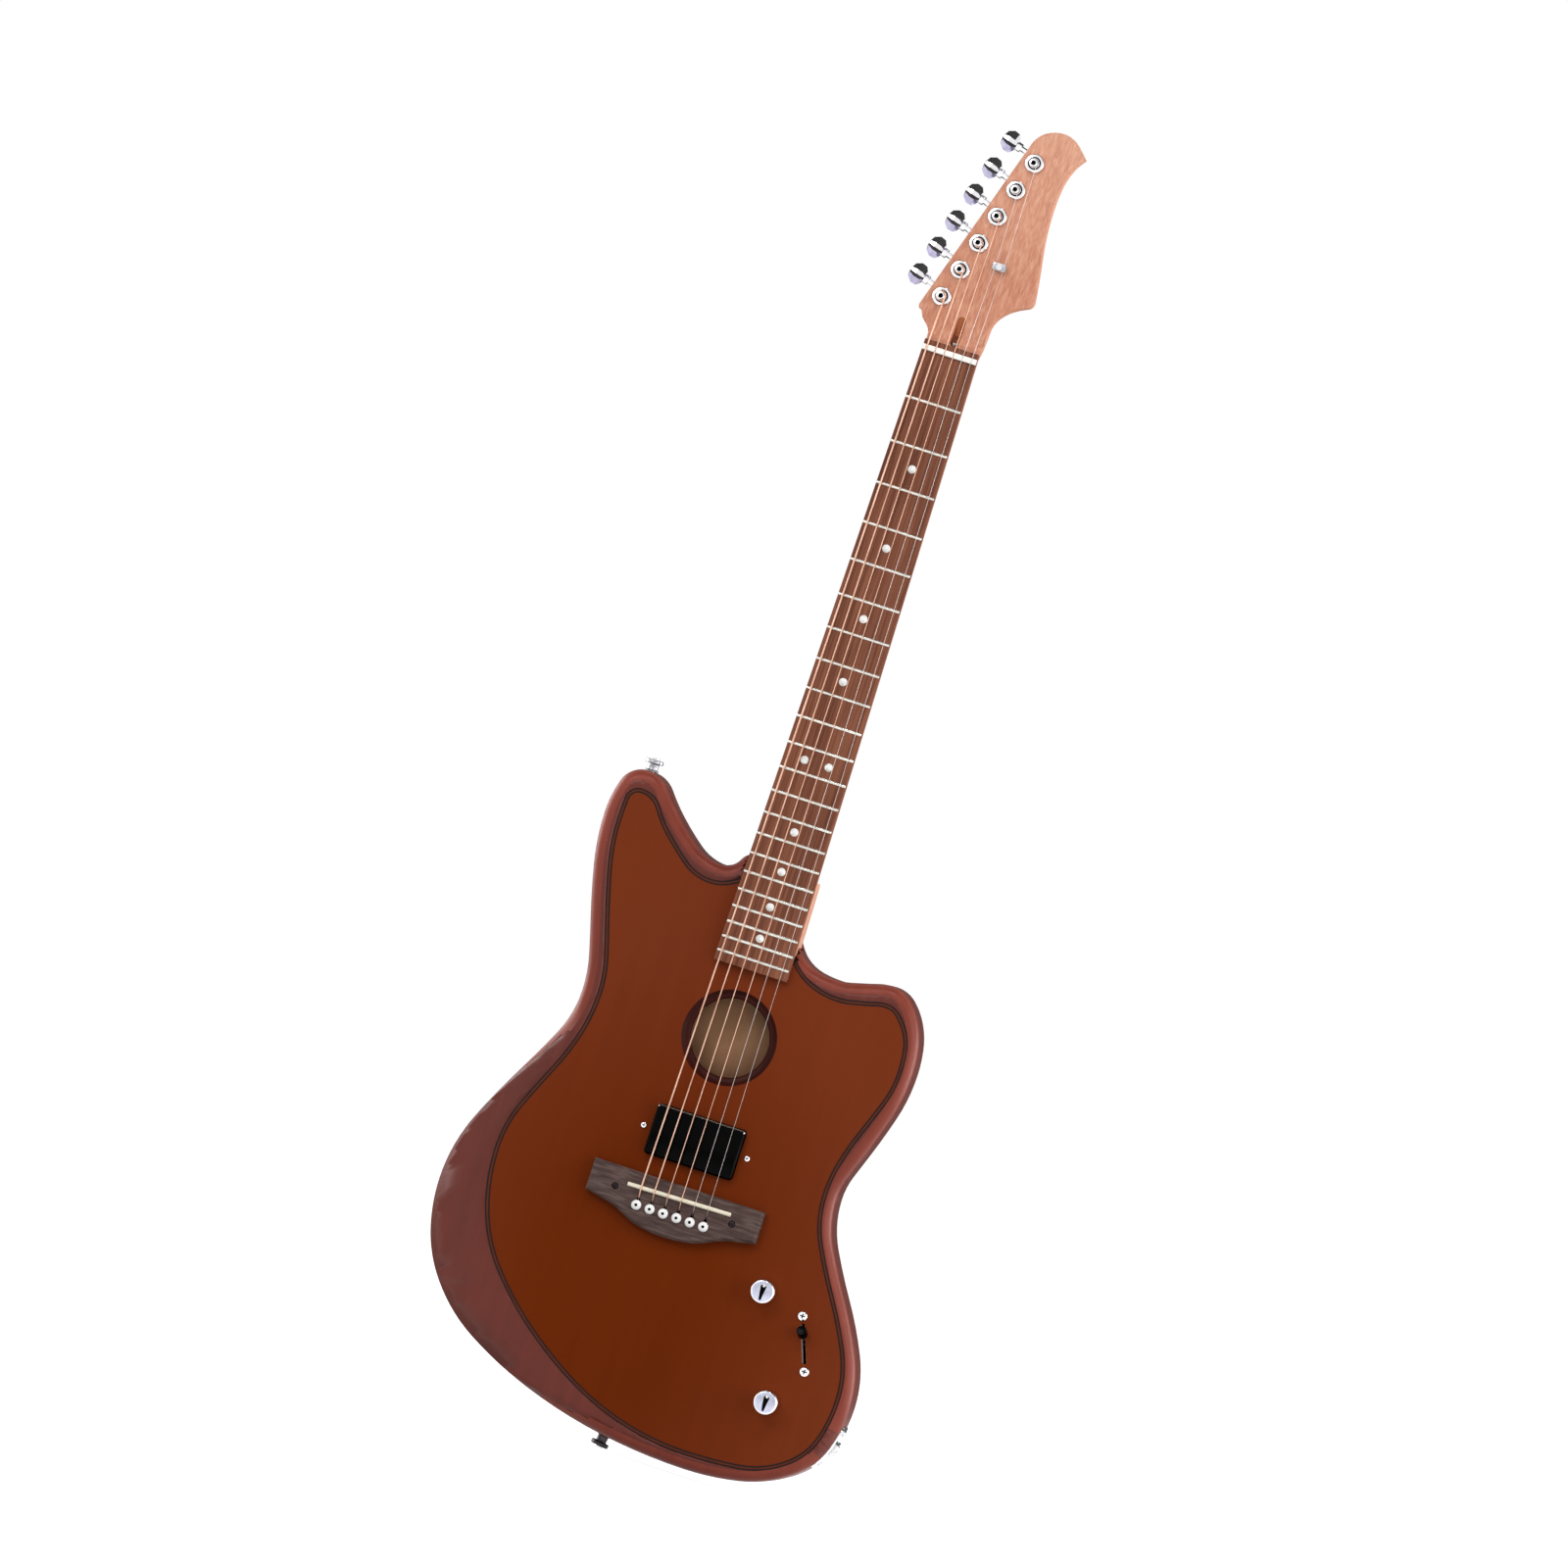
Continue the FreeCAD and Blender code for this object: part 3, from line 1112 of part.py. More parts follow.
def make_neck():
    """Neck with its squared heel, rounded shaft and headstock, and the steel rod inside."""
    heel_end = mm(HEEL_END)
    throat = mm(f"{BOARD_TOP} - board_strip")
    low = mm("neck_depth_low")
    high = mm("neck_depth_high")
    shaft = solid("neck_shaft", Part.makeLoft(
        [neck_section(heel_end, board_width(heel_end), low), neck_section(throat, board_width(throat), high)],
        True, True,
    ))
    corners = [
        (-board_width(heel_end) / 2, heel_end), (board_width(heel_end) / 2, heel_end),
        (board_width(heel_end + mm("heel_length")) / 2, heel_end + mm("heel_length")),
        (-board_width(heel_end + mm("heel_length")) / 2, heel_end + mm("heel_length")),
    ]
    heel = slab("heel", polygon(corners), BOARD_UNDERSIDE, f"{POCKET_FLOOR} - ({BOARD_UNDERSIDE})")
    soften(heel, "heel_round", is_heel_edge)
    plate = slab("head_plate", head_edges(), HEAD_FACE, "head_thickness")
    soften(plate, "head_edge", lambda edge: flat_at(mm(HEAD_BACK))(edge) and is_head_rim(edge), "Chamfer")
    soften(plate, "head_edge", lambda edge: flat_at(mm(HEAD_FACE))(edge) and is_head_rim(edge), "Chamfer")
    ramp = slab("head_ramp", head_edges(), BOARD_UNDERSIDE, "head_drop")
    stock = joined("head_blank", [plate, cut("ramp_cut", ramp, [scoop_cutter()])])
    throat_end = throat + mm("throat_length")
    wide = mm("head_width * 2")
    full = mm(f"{HEAD_BACK} - ({BOARD_UNDERSIDE})")
    envelope = solid("throat_envelope", Part.makeLoft(
        [
            neck_section(throat, board_width(throat), high),
            throat_section(throat_end, mm("head_width * 3 / 4"), full),
        ],
        True, True,
    ))
    beyond = solid("head_envelope", Part.makeBox(
        2 * wide, full, mm("head_length * 2"), Vector(-wide, mm(BOARD_UNDERSIDE), throat_end)
    ))
    head = common("head", stock, joined("head_limits", [envelope, beyond]))
    rod_y = f"{BOARD_UNDERSIDE} + truss_sink"
    cutters = [prism(
        "rod_channel", "truss_rod_diameter + 2 * truss_gap", f"{BOARD_TOP} - truss_rod_start", "0", rod_y,
        "truss_rod_start - truss_gap", Rotation(),
    )]
    nut_start = f"{BOARD_TOP} + head_ramp_start - truss_nut_length"
    cutters.append(prism(
        "rod_nut_channel", "truss_nut_diameter + 2 * truss_gap", "truss_nut_length + truss_slot_length / 4",
        "0", rod_y,
        f"{nut_start} - truss_gap", Rotation(),
    ))
    loop = rounded_loop(
        rectangle("truss_slot_width", "truss_slot_length", "0", "-truss_slot_length / 2"),
        mm("truss_slot_width / 2.02")
    )
    slot = slab("truss_slot", loop, "-head_thickness", "head_thickness")
    slope = math.degrees(math.atan2(mm("truss_slot_depth"), mm("truss_slot_length")))
    slot_top = mm(f"{BOARD_TOP} + truss_slot_start + truss_slot_length")
    cutters.append(
        turned_at(slot, Placement(Vector(0, mm(HEAD_FACE), slot_top), Rotation(Vector(1, 0, 0), slope)))
    )
    start = Placement(Vector(0, -mm("overrun"), 0), ALONG_Y)
    for i in range(int(mm("tuner_count"))):
        hole = prism(f"bush_hole_{i + 1}", "bush_diameter + 2 * bush_fit", "head_thickness + 2 * overrun")
        cutters.append(turned_at(hole, tuner_place(i, "-head_thickness").multiply(start)))
    cutters += holes(
        "neck_screw_bite", "neck_screw_diameter + 2 * screw_gap", f"{POCKET_FLOOR} - neck_screw_bite",
        "neck_screw_bite + overrun", neck_screw_places(),
    )
    for i, spot in enumerate(case_screw_spots()):
        hole = prism(
            f"case_screw_hole_{i + 1}", "small_screw_diameter + 2 * screw_gap", "small_screw_length", sides=6
        )
        cutters.append(turned_at(hole, Placement(spot, Rotation(Vector(1, 0, 0), 90))))
    cutters.append(prism(
        "tree_hole", "small_screw_diameter + 2 * screw_gap", "small_screw_length", "tree_x", HEAD_FACE,
        f"{BOARD_TOP} + tree_rise", sides=6,
    ))
    node("neck", cut("neck_cut", joined("neck_blank", [shaft, heel, head]), cutters))
    rod = prism(
        "rod_steel", "truss_rod_diameter", f"{nut_start} - truss_rod_start + truss_nut_length / 2", "0",
        rod_y,
        "truss_rod_start", Rotation(),
    )
    nut = prism("rod_nut", "truss_nut_diameter", "truss_nut_length", "0", rod_y, nut_start, Rotation())
    key = prism(
        "rod_key", "truss_key", "truss_key_depth + overrun", "0", rod_y,
        f"{nut_start} + truss_nut_length - truss_key_depth", Rotation(), sides=6,
    )
    node("truss_rod", cut("rod_cut", joined("rod_blank", [rod, nut]), [key]))


def is_heel_edge(edge):
    """Back edge of the heel where the shaft leaves it."""
    high = mm(f"{HEEL_END} + heel_length")
    box = edge.BoundBox
    return flat_at(mm(POCKET_FLOOR))(edge) and abs(box.ZMin - high) < 1e-6 and box.ZLength < 1e-6


def is_head_rim(edge):
    """Edge of the headstock beyond the neck."""
    return edge.BoundBox.ZMax > mm(f"{BOARD_TOP} + head_ramp_start")


def case_screw_spots():
    """Places of the screws of the tuner cases, on the back of the headstock."""
    inner = -mm("case_inner + ear_width / 2")
    return [tuner_place(i).multVec(Vector(0, 0, inner)) for i in range(int(mm("tuner_count")))]


def make_board():
    """Fretboard with its frets, dots and nut."""
    low = mm(BOARD_END)
    high = mm(BOARD_TOP)
    corners = [
        (-board_width(low) / 2, low), (board_width(low) / 2, low), (board_width(high) / 2, high),
        (-board_width(high) / 2, high)
    ]
    blank = slab("board_blank", polygon(corners), BOARD_CROWN, "board_thickness")
    crown = cylinder(
        "board_crown", "2 * board_radius", f"{BOARD_TOP}", "0", f"{BOARD_CROWN} + board_radius", "0",
        Rotation()
    )
    crowned = common("board_crowned", blank, crown)
    nut_slot = box(
        "nut_slot", "nut_width * 2", "nut_seat + overrun", "nut_thickness + nut_fit", "-nut_width",
        f"{BOARD_CROWN} - overrun",
        "scale_length",
    )
    pockets = []
    dots = []
    for i, (x, z) in enumerate(dot_places(), start=1):
        start = (str(x), f"{BOARD_CROWN} - overrun", str(z))
        pockets.append(prism(f"dot_pocket_{i}", "dot_diameter + 2 * dot_gap", "dot_depth + overrun", *start))
        face = crown_drop(abs(x) + mm("dot_diameter / 2"))
        front = f"{BOARD_CROWN} + {face}"
        dots.append(prism(f"dot_blank_{i}", "dot_diameter", f"dot_depth - {face}", str(x), front, str(z)))
    node("fretboard", cut("board_cut", crowned, [nut_slot, *pockets]))
    node("position_dots", group("dot_set", dots))
    frets = []
    for number in range(1, int(mm("fret_count")) + 1):
        height = mm(f"scale_length / 2 ^ ({number} / 12)")
        frets.append(crowned_bar(
            height, mm("fret_width"), mm(f"{BOARD_CROWN} - fret_height"), mm("fret_height"),
            board_width(height) / 2 - mm("fret_inset"), mm("fret_bevel"),
        ))
    node("frets", solid("fret_set", Part.makeCompound(frets)))
    seat = crowned_bar(
        mm("scale_length + nut_thickness / 2"), mm("nut_thickness"),
        mm(f"{BOARD_CROWN} - nut_string_lift - nut_shoulder"),
        mm("nut_string_lift + nut_shoulder + nut_seat - nut_fit"),
        board_width(mm("scale_length + nut_thickness")) / 2, mm("nut_bevel"),
    )
    slots = solid("nut_troughs", Part.makeCompound([nut_trough(i) for i in range(len(STRINGS))]))
    floor = box(
        "nut_floor", "nut_width * 2", "board_thickness", "nut_thickness * 2", "-nut_width",
        f"{BOARD_CROWN} + nut_seat - nut_fit", "scale_length - nut_thickness / 2",
    )
    node("nut", cut("nut_cut", solid("nut_blank", seat), [slots, floor]))


def dot_places():
    """Places of the position dots, midway between frets."""
    places = []
    for number in [*SINGLE_DOT_FRETS, TWIN_DOT_FRET]:
        height = (
            mm(f"scale_length / 2 ^ ({number} / 12)") + mm(f"scale_length / 2 ^ (({number} - 1) / 12)")
        ) / 2
        reach = mm("twin_dot_reach")
        places += [(-reach, height), (reach, height)] if number == TWIN_DOT_FRET else [(0, height)]
    return places


def post_middle(index):
    """Point on a post's axis at the level of its first turn of string."""
    spot = tuner_place(index).Base
    waist_top = mm(f"{HEAD_FACE} - post_reach + post_rim")
    return Vector(spot.x, waist_top + mm(STRINGS[index]) / 2 + mm("coil_clearance"), spot.z)


def coil_radius(index):
    """Radius of the turns on a post, to the middle of the string."""
    return mm("post_waist / 2 + coil_clearance") + mm(STRINGS[index]) / 2


def supports(index):
    """Round edges that a string bends over: middle and radius at the saddle and at the nut."""
    across = string_across(index, "saddle_string_span")
    crest = mm(f"{FRONT} - saddle_string_lift") + crown_drop(across)
    half = mm("saddle_thickness / 2")
    saddle = Vector(across, crest + half, saddle_height(across))
    across = string_across(index, "nut_string_span")
    nut = Vector(across, mm(f"{BOARD_CROWN} - nut_string_lift") + crown_drop(across), mm("scale_length"))
    found = [(saddle, half), (nut, 0.0)]
    if index >= WOUND_STRING_COUNT:
        tree = mm(f"{HEAD_FACE} - tree_lift") + mm("tree_plate")
        side = (index - WOUND_STRING_COUNT - 0.5) * mm("2 * tree_string_reach")
        found.append((Vector(mm("tree_x") + side, tree, mm(f"{BOARD_TOP} + tree_rise")), -1.0))
    return found


def saddle_height(across):
    """Height of the middle of the saddle above the saddle line, at a place across the strings."""
    return (across - mm("saddle_offset")) * math.tan(math.radians(mm("saddle_angle"))) - mm("saddle_setback")


def string_corners(index):
    """Corners of a string's route from its hole in the bridge to the start of its turns."""
    radius = mm(STRINGS[index]) / 2
    hole = Vector(string_hole_places()[index][0], 0, string_hole_places()[index][1])
    start = Vector(hole.x, mm(f"{UNDER_TOP} + bridge_plate_thickness + string_clearance"), hole.z)
    rise = Vector(hole.x, mm(f"{FRONT} - bridge_thickness + string_hole_diameter / 2"), hole.z)
    middle = post_middle(index)
    corners = [start, rise] + [spot for spot, size in supports(index)]
    for _ in range(8):
        last = corners[-1]
        flat = Vector(middle.x - last.x, 0, middle.z - last.z)
        turn = math.degrees(math.asin(coil_radius(index) / flat.Length))
        way = Rotation(Vector(0, 1, 0), turn).multVec(flat.normalize())
        reach = math.sqrt((middle.x - last.x) ** 2 + (middle.z - last.z) ** 2 - coil_radius(index) ** 2)
        landing = Vector(last.x, 0, last.z) + way * reach
        landing.y = middle.y
        route = corners + [landing]
        for k, (spot, size) in enumerate(supports(index), start=2):
            come = (route[k] - route[k - 1]).normalize()
            leave = (route[k + 1] - route[k]).normalize()
            side = (come - leave).normalize()
            lift = mm("string_bend") * (1 / math.cos(come.getAngle(leave) / 2) - 1)
            if size > 0:
                corners[k] = spot + side * (size + radius + lift + mm("string_clearance"))
            elif size < 0:
                slant = max(abs(come.y), abs(leave.y)) * mm("tree_width / 2")
                corners[k] = Vector(spot.x, spot.y + radius + mm("string_clearance") + slant, spot.z)
            else:
                corners[k] = Vector(spot.x, spot.y - radius - mm("string_clearance"), spot.z)
    return corners + [landing]


def nut_trough(index):
    """Open slot in the nut that follows a string from the nut's face towards its post."""
    corners = string_corners(index)
    way = (corners[4] - corners[3]).normalize()
    radius = mm(STRINGS[index]) / 2 + mm("string_clearance")
    start = corners[3] - way * mm("overrun")
    length = mm("nut_thickness + 2 * overrun")
    opening = Part.makeBox(2 * radius, length, mm("nut_string_lift + overrun"))
    across = way.cross(Vector(0, -1, 0)).normalize()
    up = across.cross(way)
    opening.Placement = Placement(start - across * radius - up * radius, Rotation(across, way, up, "YXZ"))
    return opening


def copies(name, item, spots):
    """Copies of a finished piece at worked-out placements, kept together."""
    doc.recompute()
    made = []
    for i, spot in enumerate(spots, start=1):
        made.append(turned_at(solid(f"{name}_{i}", item.Shape.copy()), spot))
    return group(name, made)


def along_axis(start, way):
    """Placement whose own Y runs along a way from a start."""
    return Placement(start, Rotation(Vector(0, 1, 0), way))


def screw(name, head, head_height, shank, length):
    """Small screw: own Y runs from the middle of its head into the wood."""
    cap = prism(name + "_head", head, head_height)
    rod = prism(name + "_shank", shank, f"{head_height} + {length}", sides=8)
    return joined(name, [cap, rod])


def string_route(index):
    """Middle line of a string: its bends, its straight parts and its turns on the post."""
    corners = string_corners(index)
    bend = mm("string_bend")
    curves = []
    here = corners[0]
    for before, corner, after in zip(corners, corners[1:], corners[2:]):
        come = (corner - before).normalize()
        leave = (after - corner).normalize()
        reach = bend * math.tan(come.getAngle(leave) / 2)
        start = corner - come * reach
        end = corner + leave * reach
        curves += [Part.LineSegment(here, start), arc_from(start, come, end)]
        here = end
    landing = corners[-1]
    way = (landing - corners[-2]).normalize()
    curves.append(Part.LineSegment(here, landing))
    middle = post_middle(index)
    pitch = mm(STRINGS[index]) + mm("coil_gap")
    flat = Vector(way.x, 0, way.z).normalize() * (2 * math.pi * coil_radius(index))
    steps = int(mm("coil_turns * 4"))
    spots = [(landing, way)]
    for k in range(1, steps + 1):
        turn = Rotation(Vector(0, 1, 0), -90 * k)
        spot = middle + turn.multVec(landing - middle) + Vector(0, pitch * k / 4, 0)
        spots.append((spot, (turn.multVec(flat) + Vector(0, pitch, 0)).normalize()))
    for start, end in zip(spots, spots[1:]):
        curves += biarc(*start, *end)
    return curves, len(curves) - 2 * steps


def winding_gap(index):
    """Least gap between a string's turns, measured on points of its middle line."""
    curves, first = string_route(index)
    points = []
    for curve in curves[first - 1:]:
        length = curve.length()
        start = max(0.0, length - 4 * coil_radius(index)) if curve is curves[first - 1] else 0.0
        steps = max(2, int((length - start) / 0.25))
        for k in range(steps):
            along = start + (length - start) * k / steps
            points.append(curve.value(curve.parameterAtDistance(along, curve.FirstParameter)))
    apart = int(3 * coil_radius(index) / 0.25)
    least = min(
        (points[i] - points[j]).Length for i in range(len(points)) for j in range(i + apart, len(points))
    )
    return least - mm(STRINGS[index])


def string_solid(index):
    """One string as a tube with its ball at the bridge end."""
    radius = mm(STRINGS[index]) / 2
    curves, first = string_route(index)
    wire = Part.Wire([curve.toShape() for curve in curves])
    start = curves[0].StartPoint
    way = (curves[0].EndPoint - start).normalize()
    sides = 6 if index < WOUND_STRING_COUNT else 4
    turns = [Rotation(way, 360 * k / sides) for k in range(sides + 1)]
    ring = Part.makePolygon([start + turn.multVec(Vector(radius, 0, 0)) for turn in turns])
    shell = Part.BRepOffsetAPI.MakePipeShell(wire)
    shell.add(ring)
    shell.build()
    shell.makeSolid()
    side = mm("ball_diameter")
    ball = Part.makeBox(side, mm("ball_length"), side, start - Vector(side / 2, 0, side / 2))
    return shell.shape().fuse(ball)


def make_strings():
    """Six strings from the bridge over the saddle and the nut to their posts."""
    pieces = [string_solid(i) for i in range(len(STRINGS))]
    node("wound_strings", solid("wound_set", Part.makeCompound(pieces[:WOUND_STRING_COUNT])))
    node("plain_strings", solid("plain_set", Part.makeCompound(pieces[WOUND_STRING_COUNT:])))
    gaps = [winding_gap(i) for i in range(len(STRINGS))]
    print("winding gaps", [round(gap, 3) for gap in gaps])


def saddle_placement():
    """Frame of the slanted saddle: own X along it, own Z across it."""
    spot = Vector(mm("saddle_offset"), 0, -mm("saddle_setback"))
    return Placement(spot, Rotation(Vector(0, 1, 0), -mm("saddle_angle")))


def make_bridge():
    """Bridge with its saddle, pins and screws."""
    low = mm("bridge_front - bridge_wing")
    high = mm("bridge_front")
    half = mm("bridge_width / 2")
    belly = drawn(scaled(BRIDGE_BELLY_SHARES, "bridge_width", "-bridge_belly", "bridge_front - bridge_wing"))
    corners = [Vector(half, low, 0), Vector(half, high, 0), Vector(-half, high, 0), Vector(-half, low, 0)]
    edges = belly + [Part.LineSegment(a, b) for a, b in zip(corners, corners[1:])]
    blank = slab("bridge_blank", edges, f"{FRONT} - bridge_thickness", "bridge_thickness")
    soften(blank, "bridge_round", flat_at(mm(f"{FRONT} - bridge_thickness")), "Chamfer")
    top = f"{FRONT} - bridge_thickness"
    seat = slab(
        "saddle_slot",
        polygon(rectangle("saddle_length + 2 * inlay_gap", "saddle_thickness + 2 * inlay_gap")),
        f"{top} - overrun", "saddle_seat + overrun",
    )
    cutters = [turned_at(seat, saddle_placement())]
    through = "bridge_thickness + 2 * overrun"
    cutters += holes(
        "bridge_pin_hole", "pin_shank_diameter + 2 * pin_fit", f"{top} - overrun", through, pin_places()
    )
    cutters += holes(
        "bridge_string_hole", "string_hole_diameter", f"{top} - overrun", through, string_hole_places()
    )
    ramps = []
    for i in range(len(STRINGS)):
        corners = string_corners(i)
        way = (corners[2] - corners[1]).normalize()
        ramp = prism(f"string_ramp_{i + 1}", "string_ramp_width", "string_hole_reach + overrun", sides=8)
        ramps.append(turned_at(ramp, Placement(corners[1], Rotation(Vector(0, 0, 1), way))))
    cutters += holes(
        "bridge_screw_way", "small_screw_diameter + 2 * screw_gap", top, through, bridge_screw_places()
    )
    cutters += holes(
        "bridge_screw_seat", "bridge_screw_diameter + 2 * screw_gap", f"{top} - overrun",
        "overrun + bridge_screw_sink", bridge_screw_places(),
    )
    node("bridge", cut("bridge_ramped", cut("bridge_cut", blank, cutters), ramps))
    crest = mm(f"{FRONT} - saddle_string_lift")
    floor = mm(f"{top} + saddle_seat - inlay_gap")
    length = mm("saddle_length")
    thick = mm("saddle_thickness")
    block = Part.makeBox(length, floor - crest, thick, Vector(-length / 2, crest, -thick / 2))
    arch = crowned_bar(0, thick, crest, 2 * (floor - crest), length, mm("saddle_bevel"))
    arch.translate(Vector(-mm("saddle_offset"), 0, 0))
    node("saddle", turned_at(solid("saddle_blank", block.common(arch)), saddle_placement()))
    cap = prism("pin_cap", "pin_head_diameter", "pin_head_height", "0", "-pin_head_height", "0", sides=16)
    shank = prism("pin_shank", "pin_shank_diameter", "pin_length", sides=8)
    spots = [Placement(Vector(x, mm(top), z), Rotation()) for x, z in pin_places()]
    node("bridge_pins", copies("pin_row", joined("pin", [cap, shank]), spots))
    base = screw(
        "bridge_screw", "bridge_screw_diameter", "bridge_screw_sink", "small_screw_diameter",
        "bridge_screw_length",
    )
    spots = [Placement(Vector(x, mm(top), z), Rotation()) for x, z in bridge_screw_places()]
    node("bridge_screws", copies("bridge_screw_set", base, spots))


def make_tuners():
    """Bushes, cases, posts and keys of the six tuners."""
    count = int(mm("tuner_count"))
    lift = "bush_nose_height + flange_thickness"
    pieces = [
        prism("bush_nose_ring", "bush_nose", lift, "0", f"-({lift})", "0"),
        prism("bush_flange", "flange_diameter", "flange_thickness", "0", "-flange_thickness", "0"),
        prism("bush_body", "bush_diameter", "bush_depth"),
    ]
    bore = cylinder(
        "bush_bore", "post_diameter + 2 * post_fit", f"{lift} + bush_depth + 2 * overrun", "0",
        f"-({lift}) - overrun",
    )
    bush = cut("bush", joined("bush_blank", pieces), [bore])
    node(
        "tuner_bushings", copies("bush_row", bush, [tuner_place(i, "-head_thickness") for i in range(count)])
    )
    shell = box("case_box", "case_length", "case_depth", "case_width", "-case_lower", "0", "-case_inner")
    beveled = beveled_part("case_beveled", shell, "case_round", lambda edge: edge.BoundBox.YMax > 1e-6)
    wheel = box(
        "case_wheel_room", "gear_diameter + 2 * gear_gap", "gear_start + gear_thickness + gear_gap + overrun",
        "gear_diameter + 2 * gear_gap", "-gear_diameter / 2 - gear_gap", "-overrun",
        "-gear_diameter / 2 - gear_gap",
    )
    bore = cylinder(
        "case_worm_bore", "worm_diameter + 2 * post_fit", "case_width - worm_start", "worm_offset",
        "worm_depth",
        "worm_start - gear_gap", Rotation(),
    )
    ear = box(
        "case_ear", "ear_width", "ear_thickness", "ear_width + case_round", "-ear_width / 2", "0",
        "-case_inner - ear_width",
    )
    way = prism(
        "case_ear_way", "small_screw_diameter + 2 * screw_gap", "ear_thickness + 2 * overrun", "0",
        "-overrun",
        "-case_inner - ear_width / 2", sides=6,
    )
    case = cut("case_cut", joined("case_blank", [beveled, ear]), [wheel, bore, way])
    node("tuner_cases", copies("case_set", case, [tuner_place(i) for i in range(count)]))
    total = "post_reach + head_thickness"
    neck_start = "post_rim + post_waist_length"
    pieces = [
        prism("post_cap", "post_diameter", "post_rim"),
        prism("post_neck", "post_waist", neck_start),
        cylinder(
            "post_shank", "post_diameter", f"{total} + gear_start - ({neck_start})", "0", neck_start, "0"
        ),
        prism("post_wheel", "gear_diameter", "gear_thickness", "0", f"{total} + gear_start", "0"),
    ]
    slot = box(
        "post_slot", "post_hole", "post_rim + overrun", "post_diameter + 2 * overrun", "-post_hole / 2",
        "-overrun",
        "-post_diameter / 2 - overrun",
    )
    post = cut("post", joined("post_blank", pieces), [slot])
    doc.recompute()
    for i in range(count):
        one = solid(f"post_{i + 1}", post.Shape.copy())
        node(f"tuner_post_{i + 1}", turned_at(one, tuner_place(i, f"-({total})")))
    key = tuner_key()
    doc.recompute()
    seat = Placement(Vector(mm("worm_offset"), mm("worm_depth"), 0), Rotation())
    for i in range(count):
        one = solid(f"key_{i + 1}", key.Shape.copy())
        node(f"tuner_key_{i + 1}", turned_at(one, tuner_place(i).multiply(seat)))
    head_screw = screw(
        "case_screw", "small_screw_head", "screw_head_height", "small_screw_diameter", "small_screw_length"
    )
    away = Rotation(Vector(0, 1, 0), Vector(0, -1, 0))
    lift = mm("ear_thickness + screw_head_height")
    spots = [Placement(spot + Vector(0, lift, 0), away) for spot in case_screw_spots()]
    tree_top = mm(f"{HEAD_FACE} - tree_lift - screw_head_height")
    spots.append(Placement(Vector(mm("tree_x"), tree_top, mm(f"{BOARD_TOP} + tree_rise")), Rotation()))
    node("headstock_screws", copies("head_screw_set", head_screw, spots))


def tuner_key():
    """Worm shaft with its collar, and the button on its end, about the key's own axis."""
    upright = Rotation()
    face = "case_width - case_inner"
    shaft = [
        cylinder("key_worm", "worm_diameter", f"{face} - worm_start", "0", "0", "worm_start", upright),
        prism("key_rod", "key_shaft_diameter", f"collar_start - ({face})", "0", "0", face, upright),
        prism("key_collar", "collar_diameter", "collar_length", "0", "0", "collar_start", upright),
    ]
    shares = BUTTON_CORNER_SHARES + [(-x, z) for x, z in reversed(BUTTON_CORNER_SHARES)]
    corners = [(x * mm("button_width"), mm("button_start") + z * mm("button_length")) for x, z in shares]
    plate = slab("key_plate", polygon(corners), "-button_thickness / 2", "button_thickness")
    for level in (-mm("button_thickness / 2"), mm("button_thickness / 2")):
        soften(plate, "button_bevel", lambda edge, at=level: flat_at(at)(edge), "Chamfer")
    return group("key_set", [joined("key_spindle", shaft), plate])


def make_string_tree():
    """Winged tree that holds the two thinnest strings down."""
    post = prism("tree_post_blank", "tree_post", "tree_lift", "0", f"{HEAD_FACE} - tree_lift", "0")
    loop = rounded_loop(rectangle("tree_length", "tree_width"), mm("tree_width / 4"))
    wings = slab("tree_wings", loop, f"{HEAD_FACE} - tree_lift", "tree_plate")
    hole = prism(
        "tree_bore", "small_screw_diameter + 2 * screw_gap", "tree_lift + 2 * overrun", "0",
        f"{HEAD_FACE} - tree_lift - overrun", "0", sides=6,
    )
    tree = cut("tree_cut", joined("tree_blank", [post, wings]), [hole])
    node("string_tree", place(tree, "tree_x", "0", f"{BOARD_TOP} + tree_rise"))


